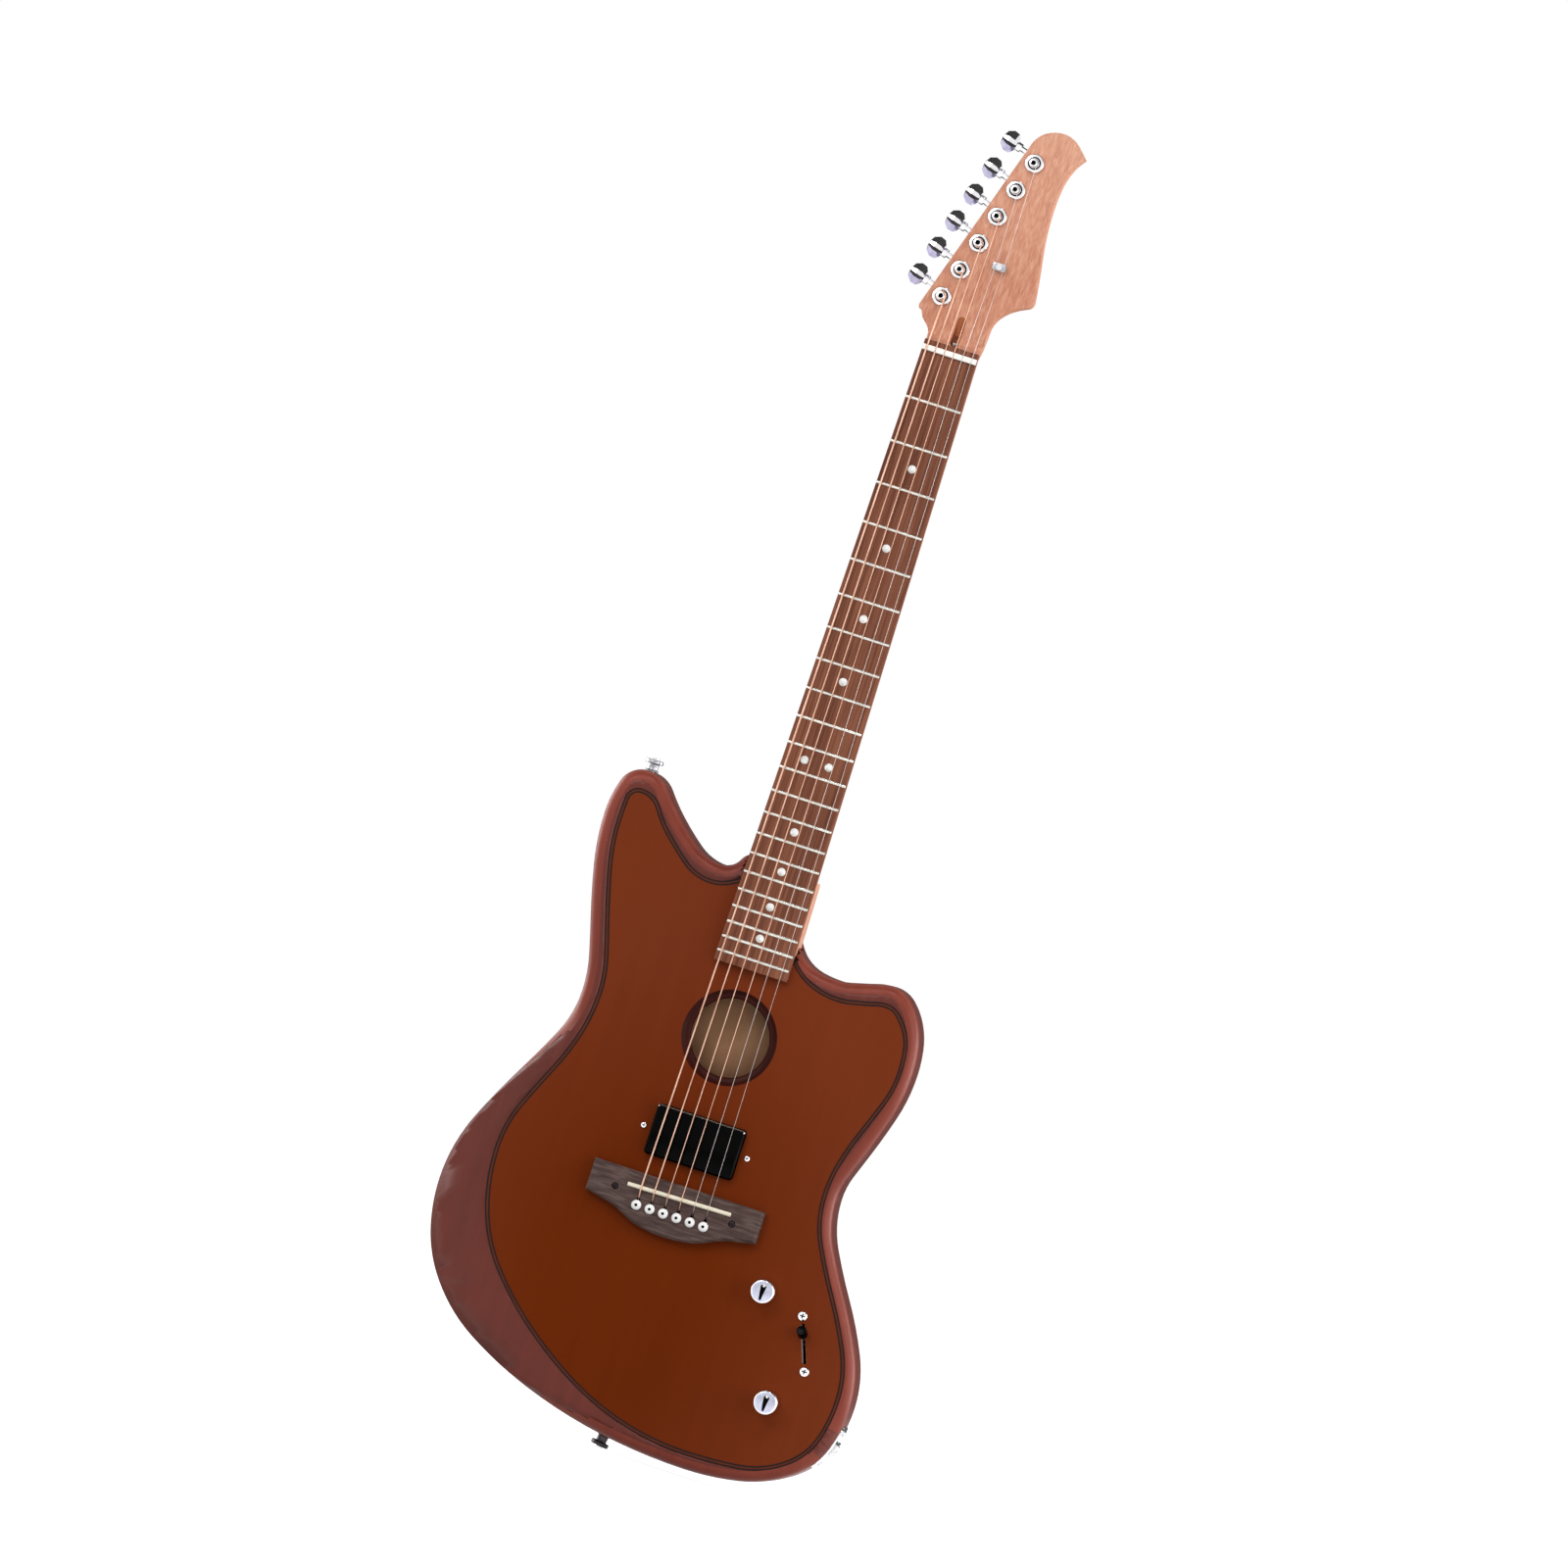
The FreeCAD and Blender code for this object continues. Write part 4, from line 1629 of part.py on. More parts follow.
def make_pickup():
    """Pickup: beveled cover, two coils, base plate, screws and rubber sleeves."""
    front = f"{FRONT} - pickup_lift"
    outer = rounded_loop(rectangle("pickup_width", "pickup_height", "0", "pickup_place"), mm("pickup_corner"))
    shell = slab("pickup_shell", outer, front, "pickup_depth")
    soften(shell, "pickup_bevel", flat_at(mm(front)), "Chamfer")
    inner = rounded_loop(
        rectangle("pickup_width - 2 * pickup_wall", "pickup_height - 2 * pickup_wall", "0", "pickup_place"),
        mm("pickup_corner - pickup_wall"),
    )
    room = slab("pickup_room", inner, f"{front} + pickup_wall + pickup_bevel", "pickup_depth")
    node("pickup_cover", cut("pickup_cut", shell, [room]))
    coils = []
    for i, sign in enumerate(("-", "")):
        loop = rounded_loop(
            rectangle(
                "pickup_width - 4 * pickup_wall", "coil_width", "0",
                f"pickup_place {'-' if sign else '+'} (coil_width + pickup_wall) / 2",
            ),
            mm("coil_width / 2.02"),
        )
        coils.append(
            slab(f"coil_{i + 1}", loop, f"{front} + 3 * pickup_wall", "pickup_depth - 3 * pickup_wall")
        )
    node("pickup_coils", group("coil_pair", coils))
    back = f"{front} + pickup_depth"
    plate = box(
        "base_plate", "pickup_width", "pickup_plate", "pickup_height", "-pickup_width / 2", back,
        "pickup_place - pickup_height / 2"
    )
    ears = box(
        "base_ears", "2 * pickup_ear_reach", "pickup_plate", "pickup_ear_height", "-pickup_ear_reach", back,
        "pickup_place - pickup_ear_height / 2",
    )
    ways = holes(
        "base_screw_way", "pickup_screw_diameter + 2 * screw_gap", f"{back} - overrun",
        "pickup_plate + 2 * overrun", pickup_screw_places(),
    )
    node("pickup_base", cut("base_cut", joined("base_blank", [plate, ears]), ways))
    base = screw(
        "pickup_screw", "pickup_screw_head", "screw_head_height", "pickup_screw_diameter",
        "pickup_screw_length",
    )
    spots = [
        Placement(Vector(x, mm(f"{FRONT} - screw_head_height"), z), Rotation())
        for x, z in pickup_screw_places()
    ]
    node("pickup_screws", copies("pickup_screw_set", base, spots))
    sleeves = holes(
        "sleeve_blank", "sleeve_diameter", UNDER_TOP, f"{back} - ({UNDER_TOP})", pickup_screw_places()
    )
    ways = holes(
        "sleeve_way", "pickup_screw_diameter + 2 * screw_gap", f"{UNDER_TOP} - overrun",
        "pickup_depth + 2 * overrun", pickup_screw_places(),
    )
    node("pickup_sleeves", cut("sleeve_cut", group("sleeve_pair", sleeves), ways))


def make_controls():
    """Volume and tone: pots, nuts, shafts and knobs."""
    pots = []
    nuts = []
    for i, (name, (x, z)) in enumerate(zip(("volume", "tone"), pot_places()), start=1):
        here = (str(x), str(z))
        face = f"{FRONT} - knob_gap - knob_height"
        node(name + "_knob", place(knob(name), here[0], face, here[1]))
        shaft = cylinder(
            name + "_shaft_blank", "shaft_diameter", "shaft_reach + pot_depth", here[0],
            f"{FRONT} - shaft_reach", here[1],
        )
        node(name + "_shaft", shaft)
        body = prism(f"pot_body_{i}", "pot_diameter", "pot_depth", here[0], UNDER_TOP, here[1], sides=16)
        bush = prism(
            f"pot_bush_{i}", "pot_bush_diameter", "pot_bush_reach + top_thickness + pot_depth / 2", here[0],
            f"{FRONT} - pot_bush_reach", here[1], sides=8,
        )
        bore = cylinder(
            f"pot_bore_{i}", "shaft_diameter + 2 * shaft_fit", "shaft_reach + pot_depth + shaft_fit", here[0],
            f"{FRONT} - shaft_reach", here[1],
        )
        pots.append(cut(f"pot_cut_{i}", joined(f"pot_blank_{i}", [body, bush]), [bore]))
        plate = prism(
            f"pot_nut_blank_{i}", "pot_nut_width", "pot_nut_thickness", "0", f"{FRONT} - pot_nut_thickness",
            "0", sides=6
        )
        hole = prism(
            f"pot_nut_hole_{i}", "pot_bush_diameter", "pot_nut_thickness + 2 * overrun", "0",
            f"{FRONT} - pot_nut_thickness - overrun", "0", sides=8,
        )
        nuts.append(place(cut(f"pot_nut_{i}", plate, [hole]), here[0], "0", here[1]))
    node("control_pots", group("pot_pair", pots))
    node("pot_nuts", group("pot_nut_pair", nuts))


def knob(name):
    """Knob with a beveled face, its pointer scoop, the shaft's seat and room for the nut below."""
    blank = prism(name + "_knob_blank", "knob_diameter", "knob_height", sides=24)
    beveled = beveled_part(name + "_knob_bevel", blank, "knob_round", flat_at(0))
    seat = cylinder(
        name + "_shaft_seat", "shaft_diameter", "shaft_reach", "0", "knob_height + knob_gap - shaft_reach",
        "0",
    )
    room = prism(
        name + "_nut_room", "nut_recess", "nut_recess_depth + overrun", "0", "knob_height - nut_recess_depth",
        "0"
    )
    return cut(name + "_knob_cut", beveled, [scoop(name), seat, room])


def scoop(name):
    """Pointer scoop in the face of a knob, wider at its upper end."""
    wide = mm("scoop_wide / 2")
    narrow = mm("scoop_narrow / 2")
    high = mm("scoop_length / 2 - scoop_wide / 2")
    low = -mm("scoop_length / 2 - scoop_narrow / 2")
    tilt = math.degrees(math.asin((wide - narrow) / (high - low)))
    upper = (Vector(0, high, 0), wide)
    lower = (Vector(0, low, 0), narrow)
    right_up = upper[0] + heading(-tilt) * wide
    left_up = upper[0] + heading(180 + tilt) * wide
    right_low = lower[0] + heading(-tilt) * narrow
    left_low = lower[0] + heading(180 + tilt) * narrow
    edges = [
        Part.ArcOfCircle(right_up, Vector(0, high + wide, 0), left_up), Part.LineSegment(left_up, left_low),
        Part.ArcOfCircle(left_low, Vector(0, low - narrow, 0), right_low),
        Part.LineSegment(right_low, right_up),
    ]
    return slab(name + "_scoop", edges, "-overrun", "overrun + scoop_depth")


def make_switch():
    """Blade switch: frame, lever, tip and screws."""
    under = "top_thickness"
    plate = box(
        "switch_plate", "switch_frame_length", "switch_frame_plate", "switch_frame_width",
        "-switch_frame_length / 2", under,
        "-switch_frame_width / 2",
    )
    cheeks = [
        box(
            f"switch_cheek_{i}", "switch_box_length", "switch_box_depth", "switch_cheek",
            "-switch_box_length / 2", under, side
        )
        for i, side in enumerate(("-switch_frame_width / 2", "switch_frame_width / 2 - switch_cheek"))
    ]
    pin = cylinder(
        "switch_pin", "lever_pin_diameter", "switch_frame_width", "0", "lever_pivot_depth",
        "-switch_frame_width / 2", Rotation()
    )
    slot = box(
        "switch_frame_way", "switch_slot_length", "switch_frame_plate + 2 * overrun", "switch_frame_slot",
        "-switch_slot_length / 2", f"{under} - overrun", "-switch_frame_slot / 2",
    )
    ways = [
        cylinder(
            f"switch_screw_way_{i}", "switch_screw_shank + 2 * screw_gap", "switch_frame_plate + 2 * overrun",
            f"{sign}switch_screw_spacing / 2", f"{under} - overrun", "0",
        )
        for i, sign in enumerate(("", "-"))
    ]
    frame = joined("switch_frame_all", [cut("switch_plate_cut", plate, [slot, *ways]), *cheeks, pin])
    node("switch_frame", turned_at(frame, switch_placement(FRONT)))
    pivot = switch_placement(f"{FRONT} + lever_pivot_depth", mm("lever_swing"))
    blade = box(
        "lever_blade", "lever_width", "lever_pivot_depth + lever_reach + lever_width * 2 / 3",
        "lever_thickness",
        "-lever_width / 2", "-lever_pivot_depth - lever_reach", "-lever_thickness / 2",
    )
    eye = cylinder(
        "lever_eye", "lever_pin_diameter + 2 * shaft_fit", "lever_thickness + 2 * overrun", "0", "0",
        "-lever_thickness / 2 - overrun", Rotation(),
    )
    node("switch_lever", turned_at(cut("lever_cut", blade, [eye]), pivot))
    start = "-lever_pivot_depth - lever_reach + tip_seat - tip_length"
    cap = prism("tip_blank", "tip_diameter", "tip_length", "0", start, "0", sides=16)
    seat = box(
        "tip_seat_room", "lever_width", "tip_seat + overrun", "lever_thickness", "-lever_width / 2",
        "-lever_pivot_depth - lever_reach", "-lever_thickness / 2",
    )
    node("switch_tip", turned_at(cut("tip_cut", cap, [seat]), pivot))
    base = screw(
        "switch_screw", "switch_screw_head", "switch_screw_height", "switch_screw_shank",
        "top_thickness + 3 * switch_frame_plate",
    )
    spots = [
        Placement(Vector(x, mm(f"{FRONT} - switch_screw_height"), z), Rotation())
        for x, z in switch_screw_places()
    ]
    node("switch_screws", copies("switch_screw_set", base, spots))


def make_rim_fittings():
    """Jack with its curved plate, strap buttons, back cover, ferrules and all their screws."""
    spot = rim_spot(JACK_BODY_POINT)
    outer = offset_slab("jack_outer", body_outline, "jack_plate_thickness", FRONT, "body_thickness")
    inner = slab(
        "jack_inner", drawn(closed(body_points)), f"{FRONT} - overrun", "body_thickness + 2 * overrun"
    )
    loop = rounded_loop(rectangle("jack_plate_length", "jack_plate_height"), mm("jack_plate_corner"))
    limit = turned_at(
        slab("jack_limit", loop, "-jack_plate_length / 4", "jack_plate_length / 2"), facing(spot)
    )
    hole = turned_at(
        cylinder("jack_plate_hole", "jack_sleeve + 2 * inlay_gap", "jack_plate_length"),
        inward_from(spot, mm("jack_plate_length / 2")),
    )
    ways = [hole]
    screw_spots = [rim_spot(JACK_BODY_POINT, way * mm("jack_screw_spacing / 2")) for way in (-1, 1)]
    for i, here in enumerate(screw_spots):
        way = prism(
            f"jack_plate_way_{i}", "small_screw_diameter + 2 * screw_gap", "small_screw_length", sides=6
        )
        ways.append(turned_at(way, inward_from(here, mm("small_screw_length / 2"))))
    plate = common("jack_plate_blank", cut("jack_ring", outer, [inner]), limit)
    node("jack_plate", cut("jack_plate_cut", plate, ways))
    step = "(jack_nut_thickness / 3)"
    nut_end = f"{step} + jack_nut_thickness"
    neck_end = f"{nut_end} + jack_plate_thickness + jack_nut_thickness * 2"
    pieces = [
        cylinder("jack_sleeve_rod", "jack_sleeve", neck_end),
        prism("jack_nut_ring", "jack_nut", "jack_nut_thickness", "0", step, "0", sides=6),
        prism("jack_case", "jack_housing", f"jack_depth - ({neck_end})", "0", neck_end, "0"),
    ]
    bore = cylinder("jack_bore_way", "jack_bore", "jack_depth + 2 * overrun", "0", "-overrun", "0")
    jack = cut("jack_body", joined("jack_blank", pieces), [bore])
    start = spot[0] + spot[1] * mm(f"jack_plate_thickness + {nut_end}")
    node("output_jack", turned_at(jack, along_axis(start, spot[1] * -1)))
    pieces = [
        prism("strap_cap", "strap_head_diameter", "strap_height / 3", sides=16),
        prism("strap_stem", "strap_neck_diameter", "strap_height"),
        prism(
            "strap_foot", "strap_head_diameter * 3 / 4", "strap_height / 8", "0", "strap_height * 7 / 8", "0"
        ),
    ]
    way = prism(
        "strap_bore", "strap_screw_diameter + 2 * screw_gap", "strap_height + 2 * overrun", "0", "-overrun",
        "0", sides=6,
    )
    button = cut("strap_button", joined("strap_blank", pieces), [way])
    straps = [along_axis(where + out * mm("strap_height"), out * -1) for where, out in strap_spots()]
    node("strap_buttons", copies("strap_pair", button, straps))
    blank = slab(
        "cover_blank", rounded_loop(cover_corners(), mm("cover_corner")), "-cover_thickness",
        "cover_thickness",
    )
    ways = holes(
        "cover_way", "small_screw_diameter + 2 * screw_gap", "-cover_thickness - overrun",
        "cover_thickness + 2 * overrun",
        cover_screw_places(),
    )
    ways += holes(
        "cover_head_room", "small_screw_head + 2 * screw_gap", "-screw_head_height",
        "screw_head_height + overrun",
        cover_screw_places(),
    )
    node("control_cover", cut("cover_cut", blank, ways))
    small = screw(
        "small_screw", "small_screw_head", "screw_head_height", "small_screw_diameter", "cover_screw_length"
    )
    away = Vector(0, -1, 0)
    spots = [along_axis(Vector(x, 0, z), away) for x, z in cover_screw_places()]
    spots += [
        along_axis(where + out * mm("jack_plate_thickness + screw_head_height"), out * -1)
        for where, out in screw_spots
    ]
    small_set = copies("small_screw_set", small, spots)
    large = screw(
        "strap_screw", "strap_screw_head", "screw_head_height", "strap_screw_diameter", "strap_screw_length"
    )
    spots = [
        along_axis(where + out * mm("strap_height + screw_head_height"), out * -1)
        for where, out in strap_spots()
    ]
    node("body_screws", group("body_screw_set", [small_set, copies("strap_screw_set", large, spots)]))
    spots = [along_axis(Vector(x, 0, z), away) for x, z in neck_screw_places()]
    ring = prism("ferrule_ring", "ferrule_diameter", "ferrule_depth", sides=16)
    room = prism(
        "ferrule_room", "neck_screw_head + 2 * screw_gap", "overrun + ferrule_depth / 2", "0", "-overrun", "0"
    )
    way = prism("ferrule_way", "neck_screw_diameter + 2 * screw_gap", "ferrule_depth * 2", sides=6)
    node("neck_ferrules", copies("ferrule_set", cut("ferrule", ring, [room, way]), spots))
    base = screw(
        "neck_screw", "neck_screw_head", "ferrule_depth / 2", "neck_screw_diameter", "neck_screw_length"
    )
    node("neck_screws", copies("neck_screw_set", base, spots))


def finish():
    """Works the document out, checks every piece and writes the sub-parts."""
    doc.recompute()
    wrong = [item.Name for item in doc.Objects if {"Invalid", "Error"} & set(item.State)]
    if wrong:
        raise RuntimeError(f"objects that do not build: {wrong}")
    for item in nodes:
        shape = item.Shape
        if shape.isNull() or not shape.isValid() or not shape.Solids:
            raise RuntimeError(f"{item.Label} is not a sound solid")
        shape.exportStep(f"parts/{item.Label}.step")
    print(f"{len(nodes)} sub-parts written")


make_body()
make_top()
make_bridge()
make_neck()
make_board()
make_strings()
make_tuners()
make_string_tree()
make_pickup()
make_controls()
make_switch()
make_rim_fittings()
os.makedirs("parts", exist_ok=True)
finish()
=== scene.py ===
import json
import logging
import math
from dataclasses import dataclass
from enum import Enum
from typing import Callable, Optional, Sequence

import bpy
from mathutils import Matrix, Vector
from mathutils.kdtree import KDTree


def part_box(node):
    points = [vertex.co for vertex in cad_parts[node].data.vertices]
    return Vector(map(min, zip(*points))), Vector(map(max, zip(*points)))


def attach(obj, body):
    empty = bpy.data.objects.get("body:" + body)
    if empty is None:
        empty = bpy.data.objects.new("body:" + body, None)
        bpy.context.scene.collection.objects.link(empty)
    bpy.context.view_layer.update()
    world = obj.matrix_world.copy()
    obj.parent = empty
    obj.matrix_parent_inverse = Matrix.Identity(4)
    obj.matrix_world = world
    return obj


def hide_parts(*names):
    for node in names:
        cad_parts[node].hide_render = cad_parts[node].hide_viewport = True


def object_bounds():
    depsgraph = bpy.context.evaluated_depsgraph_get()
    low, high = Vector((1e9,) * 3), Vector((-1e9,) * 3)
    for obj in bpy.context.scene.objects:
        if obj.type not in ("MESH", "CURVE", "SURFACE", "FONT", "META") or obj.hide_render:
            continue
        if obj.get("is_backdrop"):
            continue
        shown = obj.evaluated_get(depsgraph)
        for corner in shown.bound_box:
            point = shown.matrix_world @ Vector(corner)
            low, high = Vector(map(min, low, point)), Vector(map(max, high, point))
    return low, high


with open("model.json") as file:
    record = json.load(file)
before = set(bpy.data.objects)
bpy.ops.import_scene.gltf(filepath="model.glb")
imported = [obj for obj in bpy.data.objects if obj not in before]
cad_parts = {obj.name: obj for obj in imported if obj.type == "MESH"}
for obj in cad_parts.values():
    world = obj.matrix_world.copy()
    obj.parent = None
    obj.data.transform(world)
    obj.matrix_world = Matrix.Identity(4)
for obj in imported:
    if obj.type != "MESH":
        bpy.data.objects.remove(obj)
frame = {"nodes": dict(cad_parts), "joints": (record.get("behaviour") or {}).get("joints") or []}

logging.basicConfig(level=logging.INFO, format="%(message)s")
log = logging.getLogger("guitar")

# Sizes are in millimetres and multiplied by MM where Blender takes them, apart from the studio's, in metres.
MM = 0.001
SMALL = 1e-5
MERGE_DISTANCE = 1e-6
FRONT_WAY = Vector((0.0, -1.0, 0.0))
UP_WAY = Vector((0.0, 0.0, 1.0))

Rgb = tuple[int, int, int]
Triple = tuple[float, float, float]
Profile = Sequence[tuple[float, float]]
Piece = bpy.types.Object
Face = bpy.types.MeshPolygon
Socket = bpy.types.NodeSocket


# Colours and nodes

def linear(colour: Rgb) -> tuple[float, float, float, float]:
    """Scene-linear colour of a screen colour.

    Args:
        colour: Red, green and blue from 0 to 255.

    Returns:
        Linear red, green and blue, and a full alpha.
    """
    shares = [value / 255 for value in colour]
    parts = [share / 12.92 if share <= 0.04045 else ((share + 0.055) / 1.055) ** 2.4 for share in shares]
    return (parts[0], parts[1], parts[2], 1.0)


def grey(tone: float) -> tuple[float, float, float, float]:
    """Linear grey of a tone from 0 to 1, with a full alpha."""
    return (tone, tone, tone, 1.0)


def new_material(title: str) -> bpy.types.Material:
    """Node material that holds only its Principled shader.

    Args:
        title: Name of the material.

    Returns:
        The material.
    """
    material = bpy.data.materials.new(title)
    material.use_nodes = True
    return material


@dataclass
class Graph:
    """Node tree of a material or of the world, with short calls for what the finishes share."""

    tree: bpy.types.NodeTree

    def add(self, kind: str, **inputs: object) -> bpy.types.Node:
        """Adds a node.

        Args:
            kind: Type of the node.
            inputs: Value of each input by name, with underscores for spaces.

        Returns:
            The node.
        """
        node = self.tree.nodes.new(kind)
        for name, value in inputs.items():
            node.inputs[name.replace("_", " ")].default_value = value
        return node

    def link(self, output: Socket, target: Socket) -> None:
        """Joins an output to an input."""
        self.tree.links.new(output, target)

    @property
    def shader(self) -> bpy.types.Node:
        """The Principled shader."""
        return self.tree.nodes["Principled BSDF"]

    def shade(self, **inputs: object) -> None:
        """Sets inputs of the Principled shader.

        Args:
            inputs: Value of each input, or the output that feeds it, by name with underscores for spaces.
        """
        for name, value in inputs.items():
            socket = self.shader.inputs[name.replace("_", " ")]
            if isinstance(value, Socket):
                self.link(value, socket)
            else:
                socket.default_value = value

    def show(self, output: Socket) -> None:
        """Gives the surface another shader than the Principled one."""
        self.link(output, self.tree.nodes["Material Output"].inputs["Surface"])
        self.tree.nodes.remove(self.shader)

    def mapped(self, scale: Sequence[float], location: Triple = (0.0, 0.0, 0.0)) -> Socket:
        """Object coordinates, scaled and then moved.

        Args:
            scale: Factor along X, Y and Z.
            location: What is added afterwards.

        Returns:
            The coordinates.
        """
        source = self.add("ShaderNodeTexCoord")
        mapping = self.add("ShaderNodeMapping", Location=location, Scale=tuple(scale))
        self.link(source.outputs["Object"], mapping.inputs["Vector"])
        return mapping.outputs["Vector"]

    def noise(self, scale: Sequence[float], detail: float, distortion: float = 0.0) -> Socket:
        """Noise on Object coordinates.

        Args:
            scale: Repeats per metre along X, Y and Z.
            detail: Octaves of the noise.
            distortion: How far the pattern is stirred.

        Returns:
            The noise's value, from 0 to 1.
        """
        noise = self.add("ShaderNodeTexNoise", Scale=1.0, Detail=detail, Distortion=distortion)
        self.link(self.mapped(scale), noise.inputs["Vector"])
        return noise.outputs[0]

    def distance(self, centre: Triple, spread: Triple) -> Socket:
        """Distance from a place in Object coordinates.

        Args:
            centre: The place, in metres.
            spread: Factor on the distance along X, Y and Z.

        Returns:
            The distance.
        """
        length = self.add("ShaderNodeVectorMath")
        length.operation = "LENGTH"
        location = tuple(-where * factor for where, factor in zip(centre, spread))
        self.link(self.mapped(spread, location), length.inputs[0])
        return length.outputs["Value"]

    def ramp(self, value: Socket, places: Sequence[float], colours: Sequence[Rgb]) -> Socket:
        """Colour ramp over a value.

        Args:
            value: What drives the ramp.
            places: Position of each stop.
            colours: Screen colour of each stop.

        Returns:
            The ramp's colour.
        """
        node = self.add("ShaderNodeValToRGB")
        elements = node.color_ramp.elements
        while len(elements) < len(places):
            elements.new(0.5)
        for element, place, colour in zip(elements, places, colours):
            element.position = place
            element.color = linear(colour)
        self.link(value, node.inputs["Fac"])
        return node.outputs["Color"]

    def between(self, value: Socket, low: float, high: float) -> Socket:
        """Value from 0 to 1 moved to a range.

        Args:
            value: The value.
            low: What 0 becomes.
            high: What 1 becomes.

        Returns:
            The moved value.
        """
        node = self.add("ShaderNodeMapRange", To_Min=low, To_Max=high)
        self.link(value, node.inputs["Value"])
        return node.outputs["Result"]

    def larger(self, first: Socket, second: Socket) -> Socket:
        """The larger one of two values.

        Args:
            first: One value.
            second: The other value.

        Returns:
            The larger value.
        """
        node = self.add("ShaderNodeMath")
        node.operation = "MAXIMUM"
        self.link(first, node.inputs[0])
        self.link(second, node.inputs[1])
        return node.outputs[0]

    def mixed(self, share: float, first: Socket, second: Socket) -> Socket:
        """Blend of two colours.

        Args:
            share: Share of the second colour.
            first: One colour.
            second: The other colour.

        Returns:
            The blend.
        """
        node = self.add("ShaderNodeMix")
        node.data_type = "RGBA"
        node.inputs["Factor"].default_value = share
        colours = [socket for socket in node.inputs if socket.type == "RGBA"]
        self.link(first, colours[0])
        self.link(second, colours[1])
        return next(socket for socket in node.outputs if socket.type == "RGBA")

    def bump(self, height: Socket, strength: float, depth: float) -> None:
        """Fine relief on the shader's normal.

        Args:
            height: What the relief follows.
            strength: Strength from 0 to 1.
            depth: Depth of the relief in metres.
        """
        node = self.add("ShaderNodeBump", Strength=strength, Distance=depth)
        self.link(height, node.inputs["Height"])
        self.shade(Normal=node.outputs["Normal"])


# Finishes

@dataclass(frozen=True)
class Surface:
    """What every kind of finish shares: a name, and a material drawn into a node tree."""

    title: str

    def build(self) -> bpy.types.Material:
        """Makes the material.

        Returns:
            The material.
        """
        material = new_material(self.title)
        self.draw(Graph(material.node_tree))
        return material

    def draw(self, graph: Graph) -> None:
        """Draws the finish into a node tree."""
        raise NotImplementedError


@dataclass(frozen=True)
class Burst:
    """Second colour that comes in with the distance from a place.

    Attributes:
        colour: The colour far from the place.
        share: Most that it takes of the finish.
        centre: The place, in metres.
        spread: Factor on the distance along X, Y and Z.
        start: Scaled distance at which it starts. It is full at 1.
    """

    colour: Rgb
    share: float
    centre: Triple
    spread: Triple
    start: float = 0.35


@dataclass(frozen=True)
class Wood(Surface):
    """Wood under oil or lacquer.

    Attributes:
        dark: Colour of the grain's dark lines.
        middle: Colour between the lines.
        pale: Colour of the pale lines.
        roughness: Middle of the roughness.
        specular: Specular level.
        across: Repeats of the grain per metre along X and Y.
        along: Repeats of the grain per metre along Z.
        cloud: Share of the large soft patches.
        cloud_scale: Repeats of the patches per metre.
        relief: Strength of the grain's relief.
        sheen: Tint of the reflections.
        burst: Colour that comes in further out, if there is one.
        grain_stops: Values of the grain that are dark, middle and pale.
        cloud_stops: Values of the patches that are dark and pale.
        rough_change: How far the roughness goes up and down with the grain.
        relief_depth: Depth of the grain's relief in metres.
    """

    dark: Rgb
    middle: Rgb
    pale: Rgb
    roughness: float = 0.4
    specular: float = 0.5
    across: float = 160.0
    along: float = 5.0
    cloud: float = 0.25
    cloud_scale: float = 6.0
    relief: float = 0.15
    sheen: Rgb = (255, 255, 255)
    burst: Optional[Burst] = None
    grain_stops: tuple[float, ...] = (0.32, 0.5, 0.68)
    cloud_stops: tuple[float, ...] = (0.3, 0.7)
    rough_change: float = 0.05
    relief_depth: float = 0.0003

    def draw(self, graph: Graph) -> None:
        """Draws grain, patches and burst into a node tree.

        Args:
            graph: The node tree.
        """
        grain = graph.noise((self.across, self.across, self.along), detail=8.0, distortion=0.6)
        clouds = graph.noise((self.cloud_scale,) * 3, detail=3.0, distortion=0.3)
        lines = graph.ramp(grain, self.grain_stops, (self.dark, self.middle, self.pale))
        patches = graph.ramp(clouds, self.cloud_stops, (self.dark, self.pale))
        colour = graph.mixed(self.cloud, lines, patches)
        if self.burst:
            distance = graph.distance(self.burst.centre, self.burst.spread)
            outer = graph.ramp(distance, (self.burst.start, 1.0), (self.middle, self.burst.colour))
            colour = graph.mixed(self.burst.share, colour, outer)
        low, high = self.roughness - self.rough_change, self.roughness + self.rough_change
        graph.shade(
            Base_Color=colour,
            Roughness=graph.between(grain, low, high),
            Specular_IOR_Level=self.specular,
            Specular_Tint=linear(self.sheen),
        )
        graph.bump(grain, self.relief, self.relief_depth)


@dataclass(frozen=True)
class Metal(Surface):
    """Plated or polished metal with faint wear."""

    bright: Rgb
    worn: Rgb
    roughness: float = 0.12
    rough_change: float = 0.04
    wear_scale: Triple = (220.0, 220.0, 220.0)
    wear_stops: tuple[float, ...] = (0.35, 0.6)
    metallic: float = 1.0

    def draw(self, graph: Graph) -> None:
        """Draws the wear into a node tree.

        Args:
            graph: The node tree.
        """
        wear = graph.noise(self.wear_scale, detail=4.0)
        graph.shade(
            Base_Color=graph.ramp(wear, self.wear_stops, (self.worn, self.bright)),
            Roughness=graph.between(wear, self.roughness, self.roughness + self.rough_change),
            Metallic=self.metallic,
        )


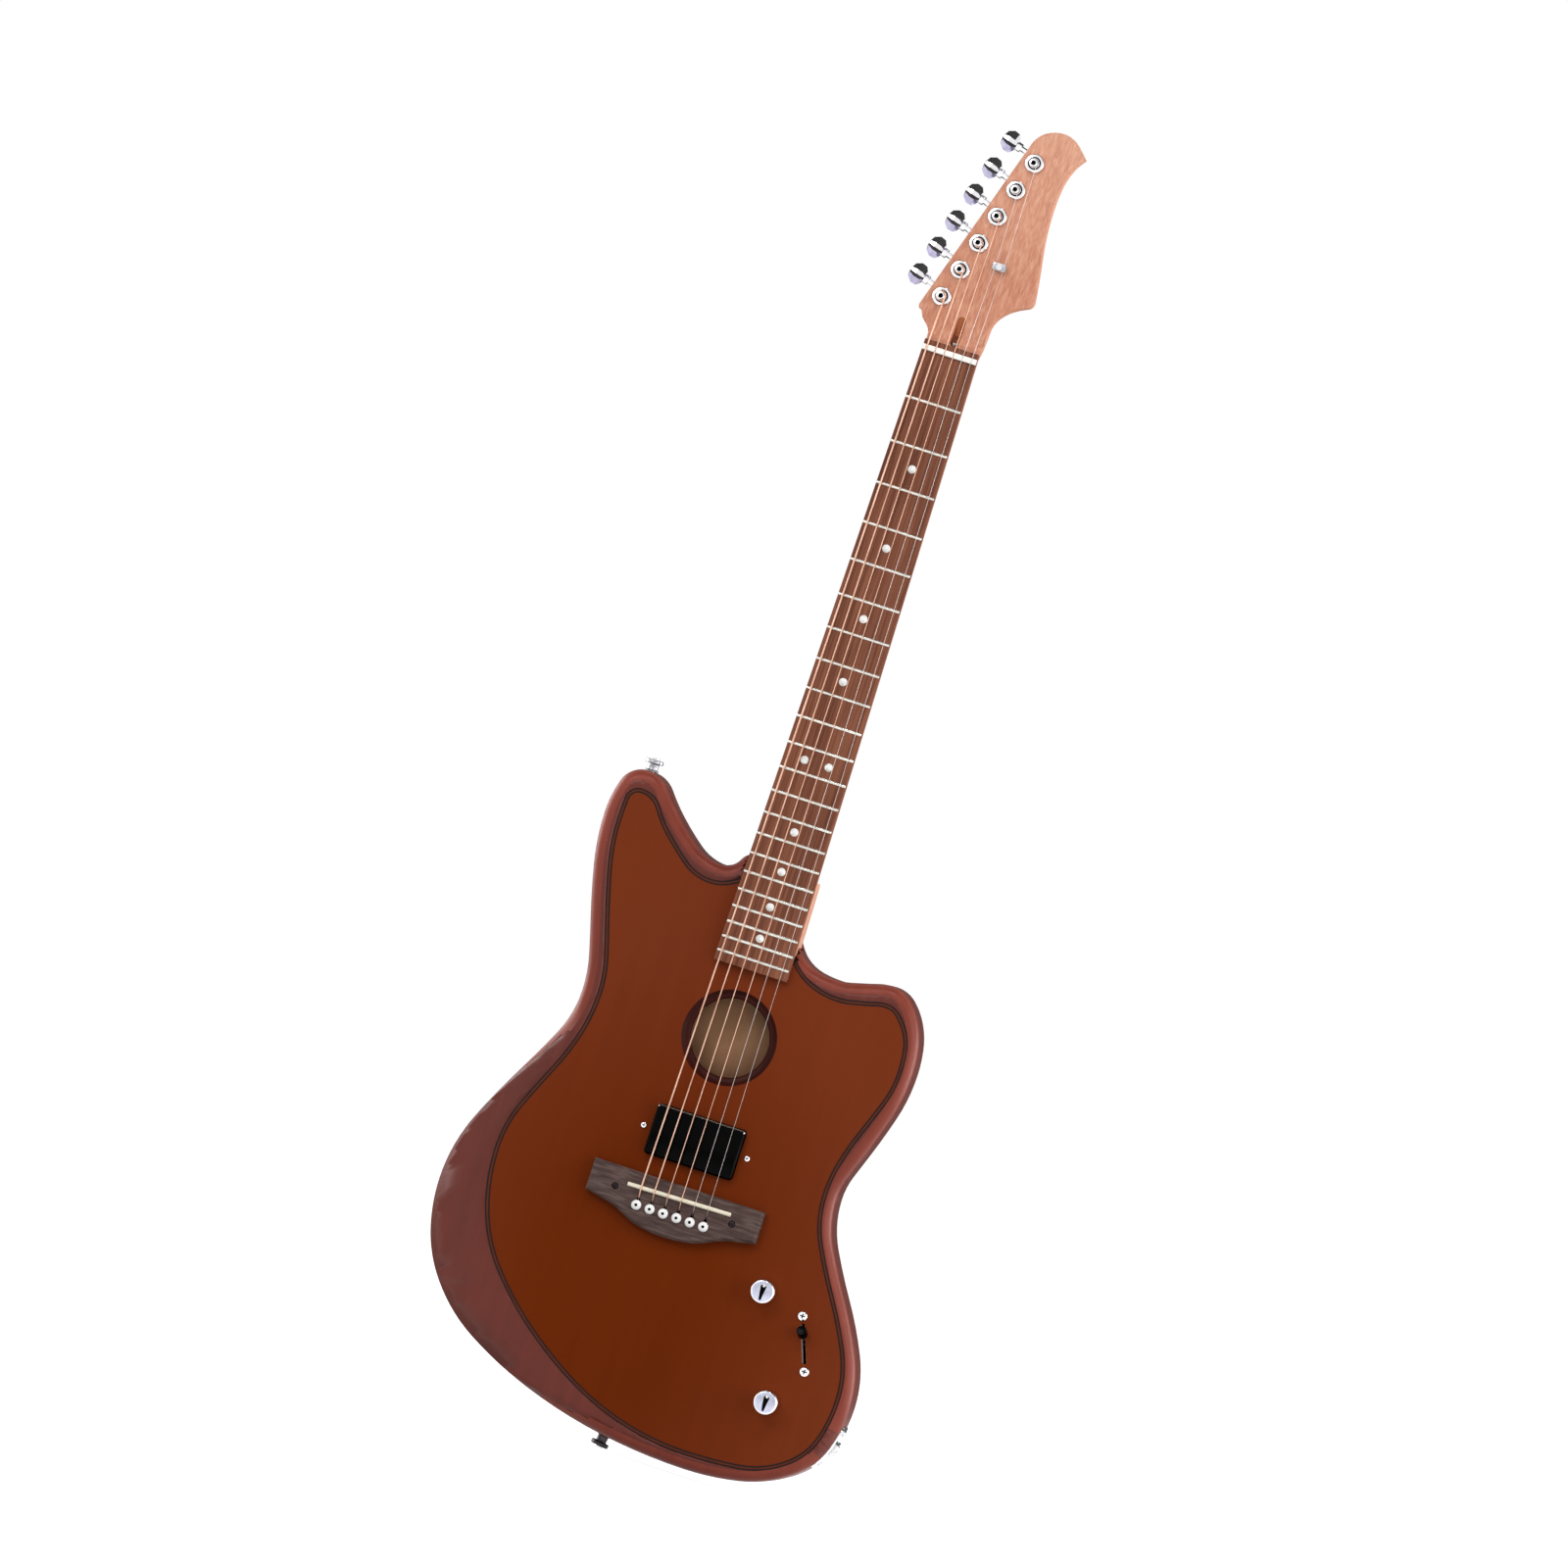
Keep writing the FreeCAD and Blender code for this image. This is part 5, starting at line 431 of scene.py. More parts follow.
@dataclass(frozen=True)
class Wire(Metal):
    """Round wire, or wire with a fine winding along the guitar where it has turns."""

    roughness: float = 0.3
    rough_change: float = 0.12
    wear_scale: Triple = (300.0, 300.0, 40.0)
    wear_stops: tuple[float, ...] = (0.3, 0.6)
    metallic: float = 0.6
    turns: float = 0.0

    def draw(self, graph: Graph) -> None:
        """Draws the wear and the winding into a node tree.

        Args:
            graph: The node tree.
        """
        super().draw(graph)
        if self.turns:
            wave = graph.add("ShaderNodeTexWave", Scale=self.turns)
            wave.bands_direction = "Z"
            graph.link(graph.add("ShaderNodeTexCoord").outputs["Object"], wave.inputs["Vector"])
            graph.bump(wave.outputs["Color"], strength=0.4, depth=0.0001)


@dataclass(frozen=True)
class Plastic(Surface):
    """Moulded, cast or lacquered material with an even colour and a fine skin."""

    colour: Rgb
    second: Rgb
    roughness: float = 0.35
    specular: float = 0.5
    scale: float = 90.0
    stops: tuple[float, ...] = (0.35, 0.65)
    rough_change: float = 0.06

    def draw(self, graph: Graph) -> None:
        """Draws the skin into a node tree.

        Args:
            graph: The node tree.
        """
        skin = graph.noise((self.scale,) * 3, detail=5.0, distortion=0.2)
        graph.shade(
            Base_Color=graph.ramp(skin, self.stops, (self.second, self.colour)),
            Roughness=graph.between(skin, self.roughness, self.roughness + self.rough_change),
            Specular_IOR_Level=self.specular,
        )
        graph.bump(skin, strength=0.05, depth=0.0002)


class Finish(Enum):
    """Every finish on the guitar."""

    # Stain that goes lighter and redder away from the lower middle: partly real stain, partly a painted
    # highlight where light falls on the upper top.
    TOP = Wood(
        "stained top", (88, 28, 1), (102, 36, 2), (117, 45, 5), roughness=0.42, specular=0.08,
        across=110, along=4, cloud=0.7, cloud_scale=4.0, relief=0.03, sheen=(255, 220, 190),
        burst=Burst((124, 55, 30), share=0.65, centre=(-0.02, 0.0, -0.07), spread=(5.6, 0.0, 4.0)),
    )
    RIM = Wood(
        "stained rim", (82, 33, 24), (95, 40, 30), (108, 47, 36), roughness=0.36, specular=0.36,
        across=120, along=6, cloud=0.65, cloud_scale=5.0, relief=0.03, sheen=(255, 214, 214),
    )
    # A lighter copy of the rim's stain: a painted highlight on the rounded nose.
    LIT_NOSE = Wood(
        "round rim with painted highlight", (106, 44, 33), (121, 54, 40), (136, 63, 48), roughness=0.36, specular=0.36,
        across=120, along=6, cloud=0.65, cloud_scale=5.0, relief=0.03, sheen=(255, 196, 192),
    )
    LINE = Plastic("dark line", (30, 16, 14), (22, 12, 11), roughness=0.5, specular=0.15)
    LINE_CORE = Plastic("core of the line", (92, 38, 18), (80, 32, 15), roughness=0.45, specular=0.15)
    # Bare wood inside, with painted shade: the burst darkens it away from the sound hole's middle, where the
    # chamber falls into shadow.
    INNER = Wood(
        "bare inside with painted shade", (184, 132, 94), (204, 152, 112), (222, 174, 134), roughness=0.6, specular=0.2,
        across=420, along=9, cloud=0.2,
        burst=Burst((70, 38, 24), share=0.85, centre=(-0.008, 0.0, 0.128), spread=(24.0, 0.0, 24.0)),
    )
    # Painted shade: dark brown for the sound hole's lip and the ring under it, where the hole's edge falls
    # into shadow.
    HOLE_SHADE = Wood(
        "painted hole shade", (46, 14, 10), (54, 18, 12), (64, 23, 16), roughness=0.4, specular=0.08,
        across=120, along=6, cloud=0.3,
    )
    SPRUCE = Wood(
        "bracing", (190, 155, 110), (208, 176, 130), (222, 194, 150), roughness=0.6, specular=0.2,
        across=260, along=6, cloud=0.1,
    )
    BRIDGE = Wood(
        "bridge wood", (58, 42, 40), (80, 62, 58), (104, 86, 80), roughness=0.55, specular=0.15,
        across=60, along=420, cloud=0.2, cloud_scale=30.0, relief=0.3,
    )
    NECK = Wood(
        "roasted neck", (178, 108, 82), (204, 141, 114), (226, 174, 146), roughness=0.42, specular=0.2,
        across=560, along=130, cloud=0.25, cloud_scale=14.0, relief=0.2,
        burst=Burst((238, 186, 158), share=0.3, centre=(0.0, 0.0, 0.66), spread=(0.0, 0.0, 6.0)),
    )
    # Darker wood in the rod's slot.
    SLOT = Wood(
        "darker slot wood", (150, 84, 52), (170, 98, 62), (188, 114, 76), roughness=0.6, specular=0.2,
        across=300, along=40, cloud=0.3,
    )
    BOARD = Wood(
        "fretboard wood", (88, 48, 34), (122, 72, 52), (146, 92, 68), roughness=0.5, specular=0.15,
        across=420, along=10, cloud=0.2, cloud_scale=20.0, relief=0.3,
    )
    NUT = Plastic("white bone", (252, 250, 246), (244, 240, 232), roughness=0.3)
    BONE = Plastic("ivory bone", (244, 236, 214), (232, 222, 198))
    WHITE = Plastic("pin plastic", (248, 248, 246), (238, 238, 236), roughness=0.22)
    DOT = Plastic("black dot", (10, 10, 12), (6, 6, 7), roughness=0.3, specular=0.15)
    PEARL = Plastic("pearl", (184, 168, 168), (162, 146, 150), roughness=0.4, specular=0.2, scale=700.0)
    GLOSS = Plastic("gloss black", (3, 3, 4), (2, 2, 2), roughness=0.1, specular=0.04)
    MATTE = Plastic("matte black", (24, 24, 26), (16, 16, 18), roughness=0.5, specular=0.3)
    RUBBER = Plastic("rubber", (30, 30, 30), (20, 20, 20), roughness=0.8, specular=0.3)
    CHROME = Metal("chrome", (214, 214, 226), (198, 198, 212), roughness=0.05)
    # Painted reflection: lavender chrome for the tuner buttons' lower facets.
    LAVENDER = Metal("shaded chrome", (176, 172, 196), (160, 156, 182))
    KNOB_TOP = Metal("knob top", (202, 204, 222), (188, 190, 210), roughness=0.22)
    # Painted shade and reflection: darker chrome for the bushes' grooves, the buttons' narrow facets and the
    # tail strap button.
    PAINTED_SHADE_CHROME = Metal("chrome with painted shade", (70, 64, 66), (44, 40, 42), roughness=0.14)
    NICKEL = Metal("fret nickel", (236, 234, 226), (214, 210, 202), roughness=0.22)
    STEEL = Metal("steel", (178, 178, 182), (150, 150, 156), roughness=0.28)
    # Painted highlight: pale copper for the walls and rounded edges of the switch's slot.
    COPPER = Metal("copper painted highlight", (196, 132, 100), (160, 100, 74), roughness=0.3)
    DARK_SCREW = Metal("dark screw", (52, 44, 44), (34, 30, 30), roughness=0.35)
    BRONZE = Wire("wound wire", (240, 196, 172), (206, 156, 130), turns=900.0)
    PLAIN = Wire("plain wire", (244, 232, 226), (226, 212, 206))

    def material(self) -> bpy.types.Material:
        """The finish's material, made on first use."""
        return bpy.data.materials.get(self.value.title) or self.value.build()


# Modelling

def deselect() -> None:
    """Leaves nothing selected."""
    bpy.ops.object.select_all(action="DESELECT")


def take(piece: Piece) -> None:
    """Selects one piece and makes it active.

    Args:
        piece: The piece.
    """
    deselect()
    piece.select_set(True)
    bpy.context.view_layer.objects.active = piece


def edit(piece: Piece, mode: str = "FACE", everything: bool = True) -> None:
    """Opens a piece for editing.

    Args:
        piece: The piece.
        mode: What is selected: VERT, EDGE or FACE.
        everything: True to select all of it, False to select nothing.
    """
    take(piece)
    bpy.ops.object.mode_set(mode="EDIT")
    bpy.ops.mesh.select_mode(type=mode)
    bpy.ops.mesh.select_all(action="SELECT" if everything else "DESELECT")


def leave() -> None:
    """Leaves edit mode."""
    bpy.ops.object.mode_set(mode="OBJECT")


def pick(piece: Piece, mode: str, wanted: Callable[[object], bool]) -> None:
    """Opens a piece for editing with just some of it selected.

    Args:
        piece: The piece.
        mode: What is selected: VERT, EDGE or FACE.
        wanted: Test of a vertex, edge or face.
    """
    edit(piece, mode, everything=False)
    leave()
    mesh = piece.data
    for part in {"VERT": mesh.vertices, "EDGE": mesh.edges, "FACE": mesh.polygons}[mode]:
        part.select = wanted(part)
    bpy.ops.object.mode_set(mode="EDIT")


def apply_modifier(piece: Piece, kind: str, **settings: object) -> None:
    """Adds a modifier to a piece and applies it.

    Args:
        piece: The piece.
        kind: Type of the modifier.
        settings: Its settings by name.
    """
    take(piece)
    modifier = piece.modifiers.new(kind.lower(), kind)
    for name, value in settings.items():
        setattr(modifier, name, value)
    bpy.ops.object.modifier_apply(modifier=modifier.name)


def bevel(piece: Piece, width: float, segments: int = 2, angle: float = 40.0) -> None:
    """Rounds the sharp edges of a piece.

    Args:
        piece: The piece.
        width: Width of the rounding.
        segments: Faces across it.
        angle: Edges sharper than this, in degrees, are rounded.
    """
    apply_modifier(
        piece, "BEVEL", width=width * MM, segments=segments, limit_method="ANGLE",
        angle_limit=math.radians(angle), harden_normals=False,
    )


def even_normals(piece: Piece) -> None:
    """Keeps large faces flat and lets the narrow ones carry the turn of the shading."""
    apply_modifier(piece, "WEIGHTED_NORMAL", keep_sharp=True)


def subtract(piece: Piece, cutter: Piece) -> None:
    """Takes a cutter out of a piece and deletes the cutter.

    Args:
        piece: The piece.
        cutter: What is cut out of it.
    """
    apply_modifier(
        piece, "BOOLEAN", operation="DIFFERENCE", solver="EXACT", material_mode="TRANSFER", object=cutter
    )
    bpy.data.objects.remove(cutter)


def smooth(piece: Piece, angle: float = 35.0) -> None:
    """Shades a piece smooth, apart from edges sharper than an angle in degrees."""
    take(piece)
    bpy.ops.object.shade_smooth_by_angle(angle=math.radians(angle))


def outward() -> None:
    """Turns the faces of the piece that is being edited outwards."""
    bpy.ops.mesh.select_all(action="SELECT")
    bpy.ops.mesh.normals_make_consistent(inside=False)


def merged_copy(node: str, suffix: str = "piece") -> Piece:
    """Copy of a CAD node as one clean mesh.

    Args:
        node: Name of the CAD node.
        suffix: End of the copy's name.

    Returns:
        The copy, with its doubles merged.
    """
    copy = bpy.data.objects.new(f"{node}_{suffix}", frame["nodes"][node].data.copy())
    bpy.context.scene.collection.objects.link(copy)
    copy.data.materials.clear()
    edit(copy)
    bpy.ops.mesh.remove_doubles(threshold=MERGE_DISTANCE)
    leave()
    return copy


def loose_parts(node: str, suffix: str) -> list[Piece]:
    """Copies of a CAD node's separate solids.

    Args:
        node: Name of the CAD node.
        suffix: End of the copies' name.

    Returns:
        The copies.
    """
    edit(merged_copy(node, suffix))
    bpy.ops.mesh.separate(type="LOOSE")
    leave()
    return list(bpy.context.selected_objects)


def tops(node: str, way: Vector = FRONT_WAY, depth: float = 1.0) -> list[Vector]:
    """Middle of the outer end of each separate solid of a CAD node.

    Args:
        node: Name of the CAD node.
        way: Direction that the ends face.
        depth: Points within this of a solid's furthest point are its end.

    Returns:
        One place for each solid.
    """
    places = []
    for part in loose_parts(node, "probe"):
        points = [vertex.co for vertex in part.data.vertices]
        reach = max(point.dot(way) for point in points)
        end = [point for point in points if point.dot(way) > reach - depth * MM]
        places.append(sum(end, Vector()) / len(end))
        bpy.data.objects.remove(part)
    return places


def frame_on(origin: Vector, way: Vector, hint: Vector = UP_WAY) -> Matrix:
    """Matrix that stands a piece on a place.

    Args:
        origin: Where its origin goes.
        way: Direction of its own Z.
        hint: Direction that its own Y is near.

    Returns:
        The matrix.
    """
    axis = way.normalized()
    side = hint.cross(axis).normalized()
    turn = Matrix((side, axis.cross(side), axis)).transposed().to_4x4()
    return Matrix.Translation(origin) @ turn


def circle(name: str, radius: float, sides: int, fill: str) -> Piece:
    """Flat circle to draw a piece from, round its own Z.

    Args:
        name: Name of the piece.
        radius: Its radius.
        sides: Vertices round it.
        fill: NGON for a face inside it, NOTHING for none.

    Returns:
        The circle at the origin.
    """
    deselect()
    bpy.ops.mesh.primitive_circle_add(
        vertices=sides, radius=radius * MM, fill_type=fill, location=(0, 0, 0), rotation=(0, 0, 0)
    )
    piece = bpy.context.object
    piece.name = name
    return piece


def turned(name: str, profile: Profile, sides: int = 32, hollow: bool = False) -> Piece:
    """Round piece drawn out of a circle, ring by ring, along its own Z.

    Args:
        name: Name of the piece.
        profile: Radius and height of each ring.
        sides: Vertices round it.
        hollow: True where the last ring meets the first one, as in a bush.

    Returns:
        The piece at the origin.
    """
    radius, height = profile[0]
    piece = circle(name, radius, sides, "NOTHING")
    edit(piece, "VERT")
    bpy.ops.transform.translate(value=(0, 0, height * MM))
    if not hollow:
        bpy.ops.mesh.edge_face_add()
        bpy.ops.mesh.select_all(action="SELECT")
    for ring_radius, ring_height in profile[1:]:
        bpy.ops.mesh.extrude_region_move(
            TRANSFORM_OT_translate={"value": (0, 0, (ring_height - height) * MM)}
        )
        share = ring_radius / radius
        bpy.ops.transform.resize(value=(share, share, 1), center_override=(0, 0, ring_height * MM))
        radius, height = ring_radius, ring_height
    bpy.ops.mesh.select_all(action="SELECT")
    bpy.ops.mesh.remove_doubles(threshold=MERGE_DISTANCE)
    outward()
    leave()
    return piece


def block(name: str, size: Sequence[float], middle: Sequence[float]) -> Piece:
    """Box that cuts a recess.

    Args:
        name: Name of the box.
        size: Its sides along X, Y and Z.
        middle: Its middle.

    Returns:
        The box, with its place in its mesh.
    """
    deselect()
    bpy.ops.mesh.primitive_cube_add(size=1, location=(0, 0, 0))
    piece = bpy.context.object
    piece.name = name
    piece.data.transform(Matrix.Diagonal([value * MM for value in size]).to_4x4())
    piece.data.transform(Matrix.Translation([value * MM for value in middle]))
    return piece


def paint(piece: Piece, finish: Finish) -> None:
    """Gives a whole piece one finish."""
    piece.data.materials.clear()
    piece.data.materials.append(finish.material())


def paint_faces(piece: Piece, finish: Finish, wanted: Callable[[Face], bool]) -> None:
    """Gives some faces of a piece a finish of their own.

    Args:
        piece: The piece.
        finish: Finish of those faces.
        wanted: Test of a face.
    """
    piece.data.materials.append(finish.material())
    for face in piece.data.polygons:
        if wanted(face):
            face.material_index = len(piece.data.materials) - 1


def joined(name: str, pieces: Sequence[Piece]) -> Piece:
    """Pieces made one object.

    Args:
        name: Name of the whole.
        pieces: The pieces.

    Returns:
        The whole.
    """
    take(pieces[0])
    for piece in pieces:
        piece.select_set(True)
    if len(pieces) > 1:
        bpy.ops.object.join()
    pieces[0].name = name
    return pieces[0]


def row_of(name: str, pattern: Piece, places: Sequence[Matrix]) -> Piece:
    """Copies of a pattern piece at several places, as one object.

    Args:
        name: Name of the row.
        pattern: The piece that is copied, and then removed.
        places: Matrix of each copy.

    Returns:
        The row.
    """
    copies = []
    for place in places:
        copy = bpy.data.objects.new(pattern.name, pattern.data.copy())
        copy.data.transform(place)
        bpy.context.scene.collection.objects.link(copy)
        copies.append(copy)
    bpy.data.objects.remove(pattern)
    return joined(name, copies)


@dataclass(frozen=True)
class DomeScrew:
    """Cross screw whose round head starts at its own origin and rises along Z.

    Attributes:
        head: Diameter of the head.
        height: Height of the head.
        shank: Diameter of the shank.
        length: Length of the shank.
        finish: Its finish.
        dome: Rings of the head, as shares of half its diameter and of its height.
        slot_length: Length of each slot of the cross, as a share of the head's diameter.
        slot_width: Width of each slot, as a share of the head's diameter.
        slot_depth: Depth of the slots, as a share of the head's height.
    """

    head: float
    height: float
    shank: float
    length: float
    finish: Finish
    dome: Profile = ((1.0, 0.0), (1.0, 0.35), (0.93, 0.6), (0.75, 0.85), (0.45, 0.97), (0.15, 1.0))
    slot_length: float = 0.5
    slot_width: float = 0.13
    slot_depth: float = 0.45

    def build(self) -> Piece:
        """Makes the screw.

        Returns:
            The screw at the origin.
        """
        half, shank = self.head / 2, self.shank / 2
        shaft = [(shank / 2, -self.length), (shank, -self.length * 0.9), (shank, 0)]
        screw = turned("screw", shaft + [(half * out, self.height * up) for out, up in self.dome], sides=24)
        paint(screw, self.finish)
        length, width = self.head * self.slot_length, self.head * self.slot_width
        for size in ((length, width), (width, length)):
            cutter = block("recess", (*size, 2 * self.height * self.slot_depth), (0, 0, self.height))
            # Painted shade: the cross recess is black inside.
            paint(cutter, Finish.DOT)
            subtract(screw, cutter)
        smooth(screw, angle=40)
        return screw


class Assembly:
    """Common ways to dress the CAD nodes of one sub-assembly."""

    body = "instrument"

    def keep(self, node: str, finish: Finish) -> None:
        """Leaves a CAD node's shape and gives it a finish."""
        paint(frame["nodes"][node], finish)
        log.info("%s: the solid itself", node)

    def stand(self, piece: Piece, slot: str, node: str, body: Optional[str] = None) -> None:
        """Makes a piece ride on a body and stand for a CAD node.

        Args:
            piece: The piece.
            slot: The record's material slot; not used.
            node: Name of the CAD node.
            body: The CAD body it rides on, where it isn't the assembly's own.
        """
        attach(piece, body or self.body)
        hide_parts(node)
        log.info("%s: %d faces", piece.name, len(piece.data.polygons))

    def dress(self, node: str, finish: Finish, slot: str, width: float = 0.0, segments: int = 2,
              angle: float = 35.0, body: Optional[str] = None) -> None:
        """Replaces a CAD node by its own merged, rounded and smoothed copy.

        Args:
            node: Name of the CAD node.
            finish: Its finish.
            slot: The record's material slot.
            width: Width of the rounding on sharp edges, if they have one.
            segments: Faces across the rounding.
            angle: Edges sharper than this, in degrees, stay sharp in the shading.
            body: The CAD body it rides on, where it isn't the assembly's own.
        """
        piece = merged_copy(node)
        if width:
            bevel(piece, width, segments)
        paint(piece, finish)
        smooth(piece, angle)
        if width:
            even_normals(piece)
        self.stand(piece, slot, node, body)

    def heads(self, name: str, node: str, pattern: Piece, height: float, slot: str) -> None:
        """Puts a modelled piece in the place of each of a node's solids.

        Args:
            name: Name of the row that they make.
            node: Name of the CAD node.
            pattern: The modelled piece, with its head upwards along its own Z.
            height: Height of the head, which ends where the solid does.
            slot: The record's material slot.
        """
        sunk = Vector((0, height * MM, 0))
        places = [frame_on(top + sunk, FRONT_WAY) for top in tops(node)]
        self.stand(row_of(name, pattern, places), slot, node)


@dataclass
class BodyShell(Assembly):
    """Hollow wooden body with its top plate, dark line, sound hole and inside."""

    back_wall: float = 7.0
    seat_depth: float = 3.5
    rim_round: float = 3.2
    side_middle: float = 20.0
    back_slant: float = 7.0
    front_slant: float = 37.0
    nose_radius: float = 8.0
    nose_steps: int = 8
    facet_step: float = 2.0
    fade_start: float = 3.0
    fade_length: float = 22.0
    neck_half: float = 28.0
    line_edge: float = 1.1
    lip_round: float = 1.0
    lip_reach: float = 6.0
    hole_height: float = 122.0
    hole_radius: float = 33.0
    ring_radius: float = 29.3
    ring_depth: float = 5.0
    ring_width: float = 8.0
    # How far a face's normal lies along Y tells what the face is: 1 is flat to front or back, 0 a wall.
    slanted: tuple[float, float] = (0.6, 0.8)
    facet_tilt: tuple[float, float] = (0.85, 0.995)
    side_below: float = 0.5
    floor_above: float = 0.9
    wall_below: float = 0.97
    lip_below: float = 0.985
    line_above: float = 0.99

    def build(self) -> None:
        """Dresses the wooden shell."""
        self.shell()
        self.plate()
        self.line()
        self.keep("top_braces", Finish.SPRUCE)
        self.ring()
        self.keep("bridge_plate", Finish.INNER)
        self.dress("control_cover", Finish.MATTE, "matte_black", width=0.4)

    def shell(self) -> None:
        """Body with a soft rim outside, a lighter round nose as a painted highlight, and bare wood inside
        with painted shade away from the sound hole.
        """
        piece = merged_copy("body")
        paint(piece, Finish.RIM)
        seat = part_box("body")[0].y + self.seat_depth * MM
        floor = -self.back_wall * MM

        def inside(face: Face) -> bool:
            """Tells the chamber's faces: its floor, and walls from the floor up to the top plate's seat.

            Args:
                face: A face of the body.

            Returns:
                True for a face of the chamber.
            """
            depths = [piece.data.vertices[index].co.y for index in face.vertices]
            flat = abs(min(depths) - floor) < SMALL and face.normal.y < -self.floor_above
            return abs(max(depths) - floor) < SMALL and (min(depths) < seat or flat)

        paint_faces(piece, Finish.INNER, inside)
        rim = self.slanted_edges(piece, lambda middle, other: middle.y > -self.side_middle * MM)
        pick(piece, "EDGE", lambda edge: edge.index in rim)
        bpy.ops.mesh.bevel(offset=self.rim_round * MM, segments=4, affect="EDGES", clamp_overlap=True)
        leave()
        smooth(piece, angle=50)
        even_normals(piece)
        self.stand(joined("body_piece", [piece, self.nose()]), "body_wood", "body")

    def slanted_edges(self, piece: Piece, wanted: Callable[[Vector, float], bool]) -> set[int]:
        """Edges between the slanted rim and something else.

        Args:
            piece: The body.
            wanted: Test of an edge's middle, and of how far the other face's normal lies along Y.

        Returns:
            The numbers of the edges.
        """
        low, high = self.slanted
        faces: dict[tuple[int, int], list[float]] = {}
        for face in piece.data.polygons:
            for key in face.edge_keys:
                faces.setdefault(key, []).append(abs(face.normal.y))
        found = set()
        for edge in piece.data.edges:
            depths = faces.get(edge.key, [])
            other = [depth for depth in depths if not low < depth < high]
            middle = sum((piece.data.vertices[index].co for index in edge.vertices), Vector()) / 2
            if len(depths) == 2 and len(other) == 1 and wanted(middle, other[0]):
                found.add(edge.index)
        return found

    def nose(self) -> Piece:
        """Round nose of the rim in front, drawn inwards from the body's own outline, and painted lighter than
        the rim as a highlight.

        Returns:
            The nose, which fades into the slanted rim beside the arm's facet.
        """
        pattern = merged_copy("body")
        facet = self.facet_tree(pattern)
        back = -self.back_slant * MM
        outline = self.slanted_edges(
            pattern, lambda middle, other: abs(middle.y - back) < SMALL and other < self.side_below
        )
        pick(pattern, "EDGE", lambda edge: edge.index in outline)
        bpy.ops.mesh.duplicate()
        bpy.ops.mesh.separate(type="SELECTED")
        leave()
        nose = next(piece for piece in bpy.context.selected_objects if piece is not pattern)
        bpy.data.objects.remove(pattern)
        edit(nose, "EDGE")
        bpy.ops.transform.translate(value=(0, (self.back_slant - self.front_slant) * MM, 0))
        bpy.ops.mesh.edge_face_add()
        leave()
        edit(nose, "FACE")
        if nose.data.polygons[0].normal.y > 0:
            bpy.ops.mesh.flip_normals()
        radius = self.nose_radius * MM
        last = 0.0
        for step in range(1, self.nose_steps + 1):
            angle = math.radians(90 * step / self.nose_steps)
            inward = radius * (math.cos(last) - math.cos(angle))
            bpy.ops.mesh.inset(thickness=inward, depth=radius * (math.sin(angle) - math.sin(last)))
            last = angle
        bpy.ops.mesh.delete(type="FACE")
        leave()
        self.fade(nose, facet)
        # Painted highlight: the nose gets a lighter copy of the rim's stain.
        paint(nose, Finish.LIT_NOSE)
        smooth(nose, angle=60)
        return nose

    def facet_tree(self, piece: Piece) -> KDTree:
        """Places along the edges of the arm's facet, as the front view shows them.

        Args:
            piece: The body.

        Returns:
            A tree that finds the nearest place.
        """
        low, high = self.facet_tilt
        spots = []
        for face in piece.data.polygons:
            if not low < -face.normal.y < high:
                continue
            for key in face.edge_keys:
                start, end = (piece.data.vertices[index].co for index in key)
                count = 1 + int((end - start).length / (self.facet_step * MM))
                spots.extend(start.lerp(end, number / count) for number in range(count + 1))
        tree = KDTree(len(spots))
        for number, spot in enumerate(spots):
            tree.insert(Vector((spot.x, 0, spot.z)), number)
        tree.balance()
        return tree

    def fade(self, nose: Piece, facet: KDTree) -> None:
        """Lets the nose sink into the slanted rim near the facet, and clears it under the neck.

        Args:
            nose: The round nose.
            facet: Places along the edges of the arm's facet.
        """
        low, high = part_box("neck")
        front, radius = -self.front_slant * MM, self.nose_radius * MM
        bare = set()
        for vertex in nose.data.vertices:
            place = vertex.co
            gap = facet.find(Vector((place.x, 0, place.z)))[2]
            share = min(max((gap - self.fade_start * MM) / (self.fade_length * MM), 0.0), 1.0)
            sine = min((front - place.y) / radius, 1.0)
            bulge = radius * (math.sqrt(1 - sine * sine) + sine - 1) / math.sqrt(2)
            sideways = Vector((vertex.normal.x, 0, vertex.normal.z)).normalized()
            vertex.co -= (sideways + FRONT_WAY).normalized() * bulge * (1 - share)
            across = low.x < vertex.co.x < high.x and abs(vertex.co.x) < self.neck_half * MM
            if gap < self.fade_start * MM or across and low.z < vertex.co.z:
                bare.add(vertex.index)
        pick(nose, "VERT", lambda vertex: vertex.index in bare)
        bpy.ops.mesh.delete(type="VERT")
        leave()

    def plate(self) -> None:
        """Top plate with a soft lip round the sound hole, the lip dark with painted shade, and pale slot
        walls as a painted highlight.
        """
        piece = merged_copy("soundboard")
        bevel(piece, self.lip_round, angle=30)
        paint(piece, Finish.TOP)
        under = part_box("soundboard")[1].y
        hole = Vector((0, self.hole_height * MM))
        edge = (self.hole_radius + self.lip_reach) * MM
        low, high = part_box("switch_screws")

        def in_lip(face: Face) -> bool:
            """Faces of the sound hole's edge, which get painted shade."""
            return (face.center.xz - hole).length < edge and face.normal.y > -self.lip_below

        def in_slot(face: Face) -> bool:
            """Walls of the switch's slot, painted pale copper as a highlight on its edges."""
            within = low.x < face.center.x < high.x and low.z < face.center.z < high.z
            return within and abs(face.normal.y) < self.wall_below

        paint_faces(piece, Finish.INNER, lambda face: face.center.y > under - SMALL)
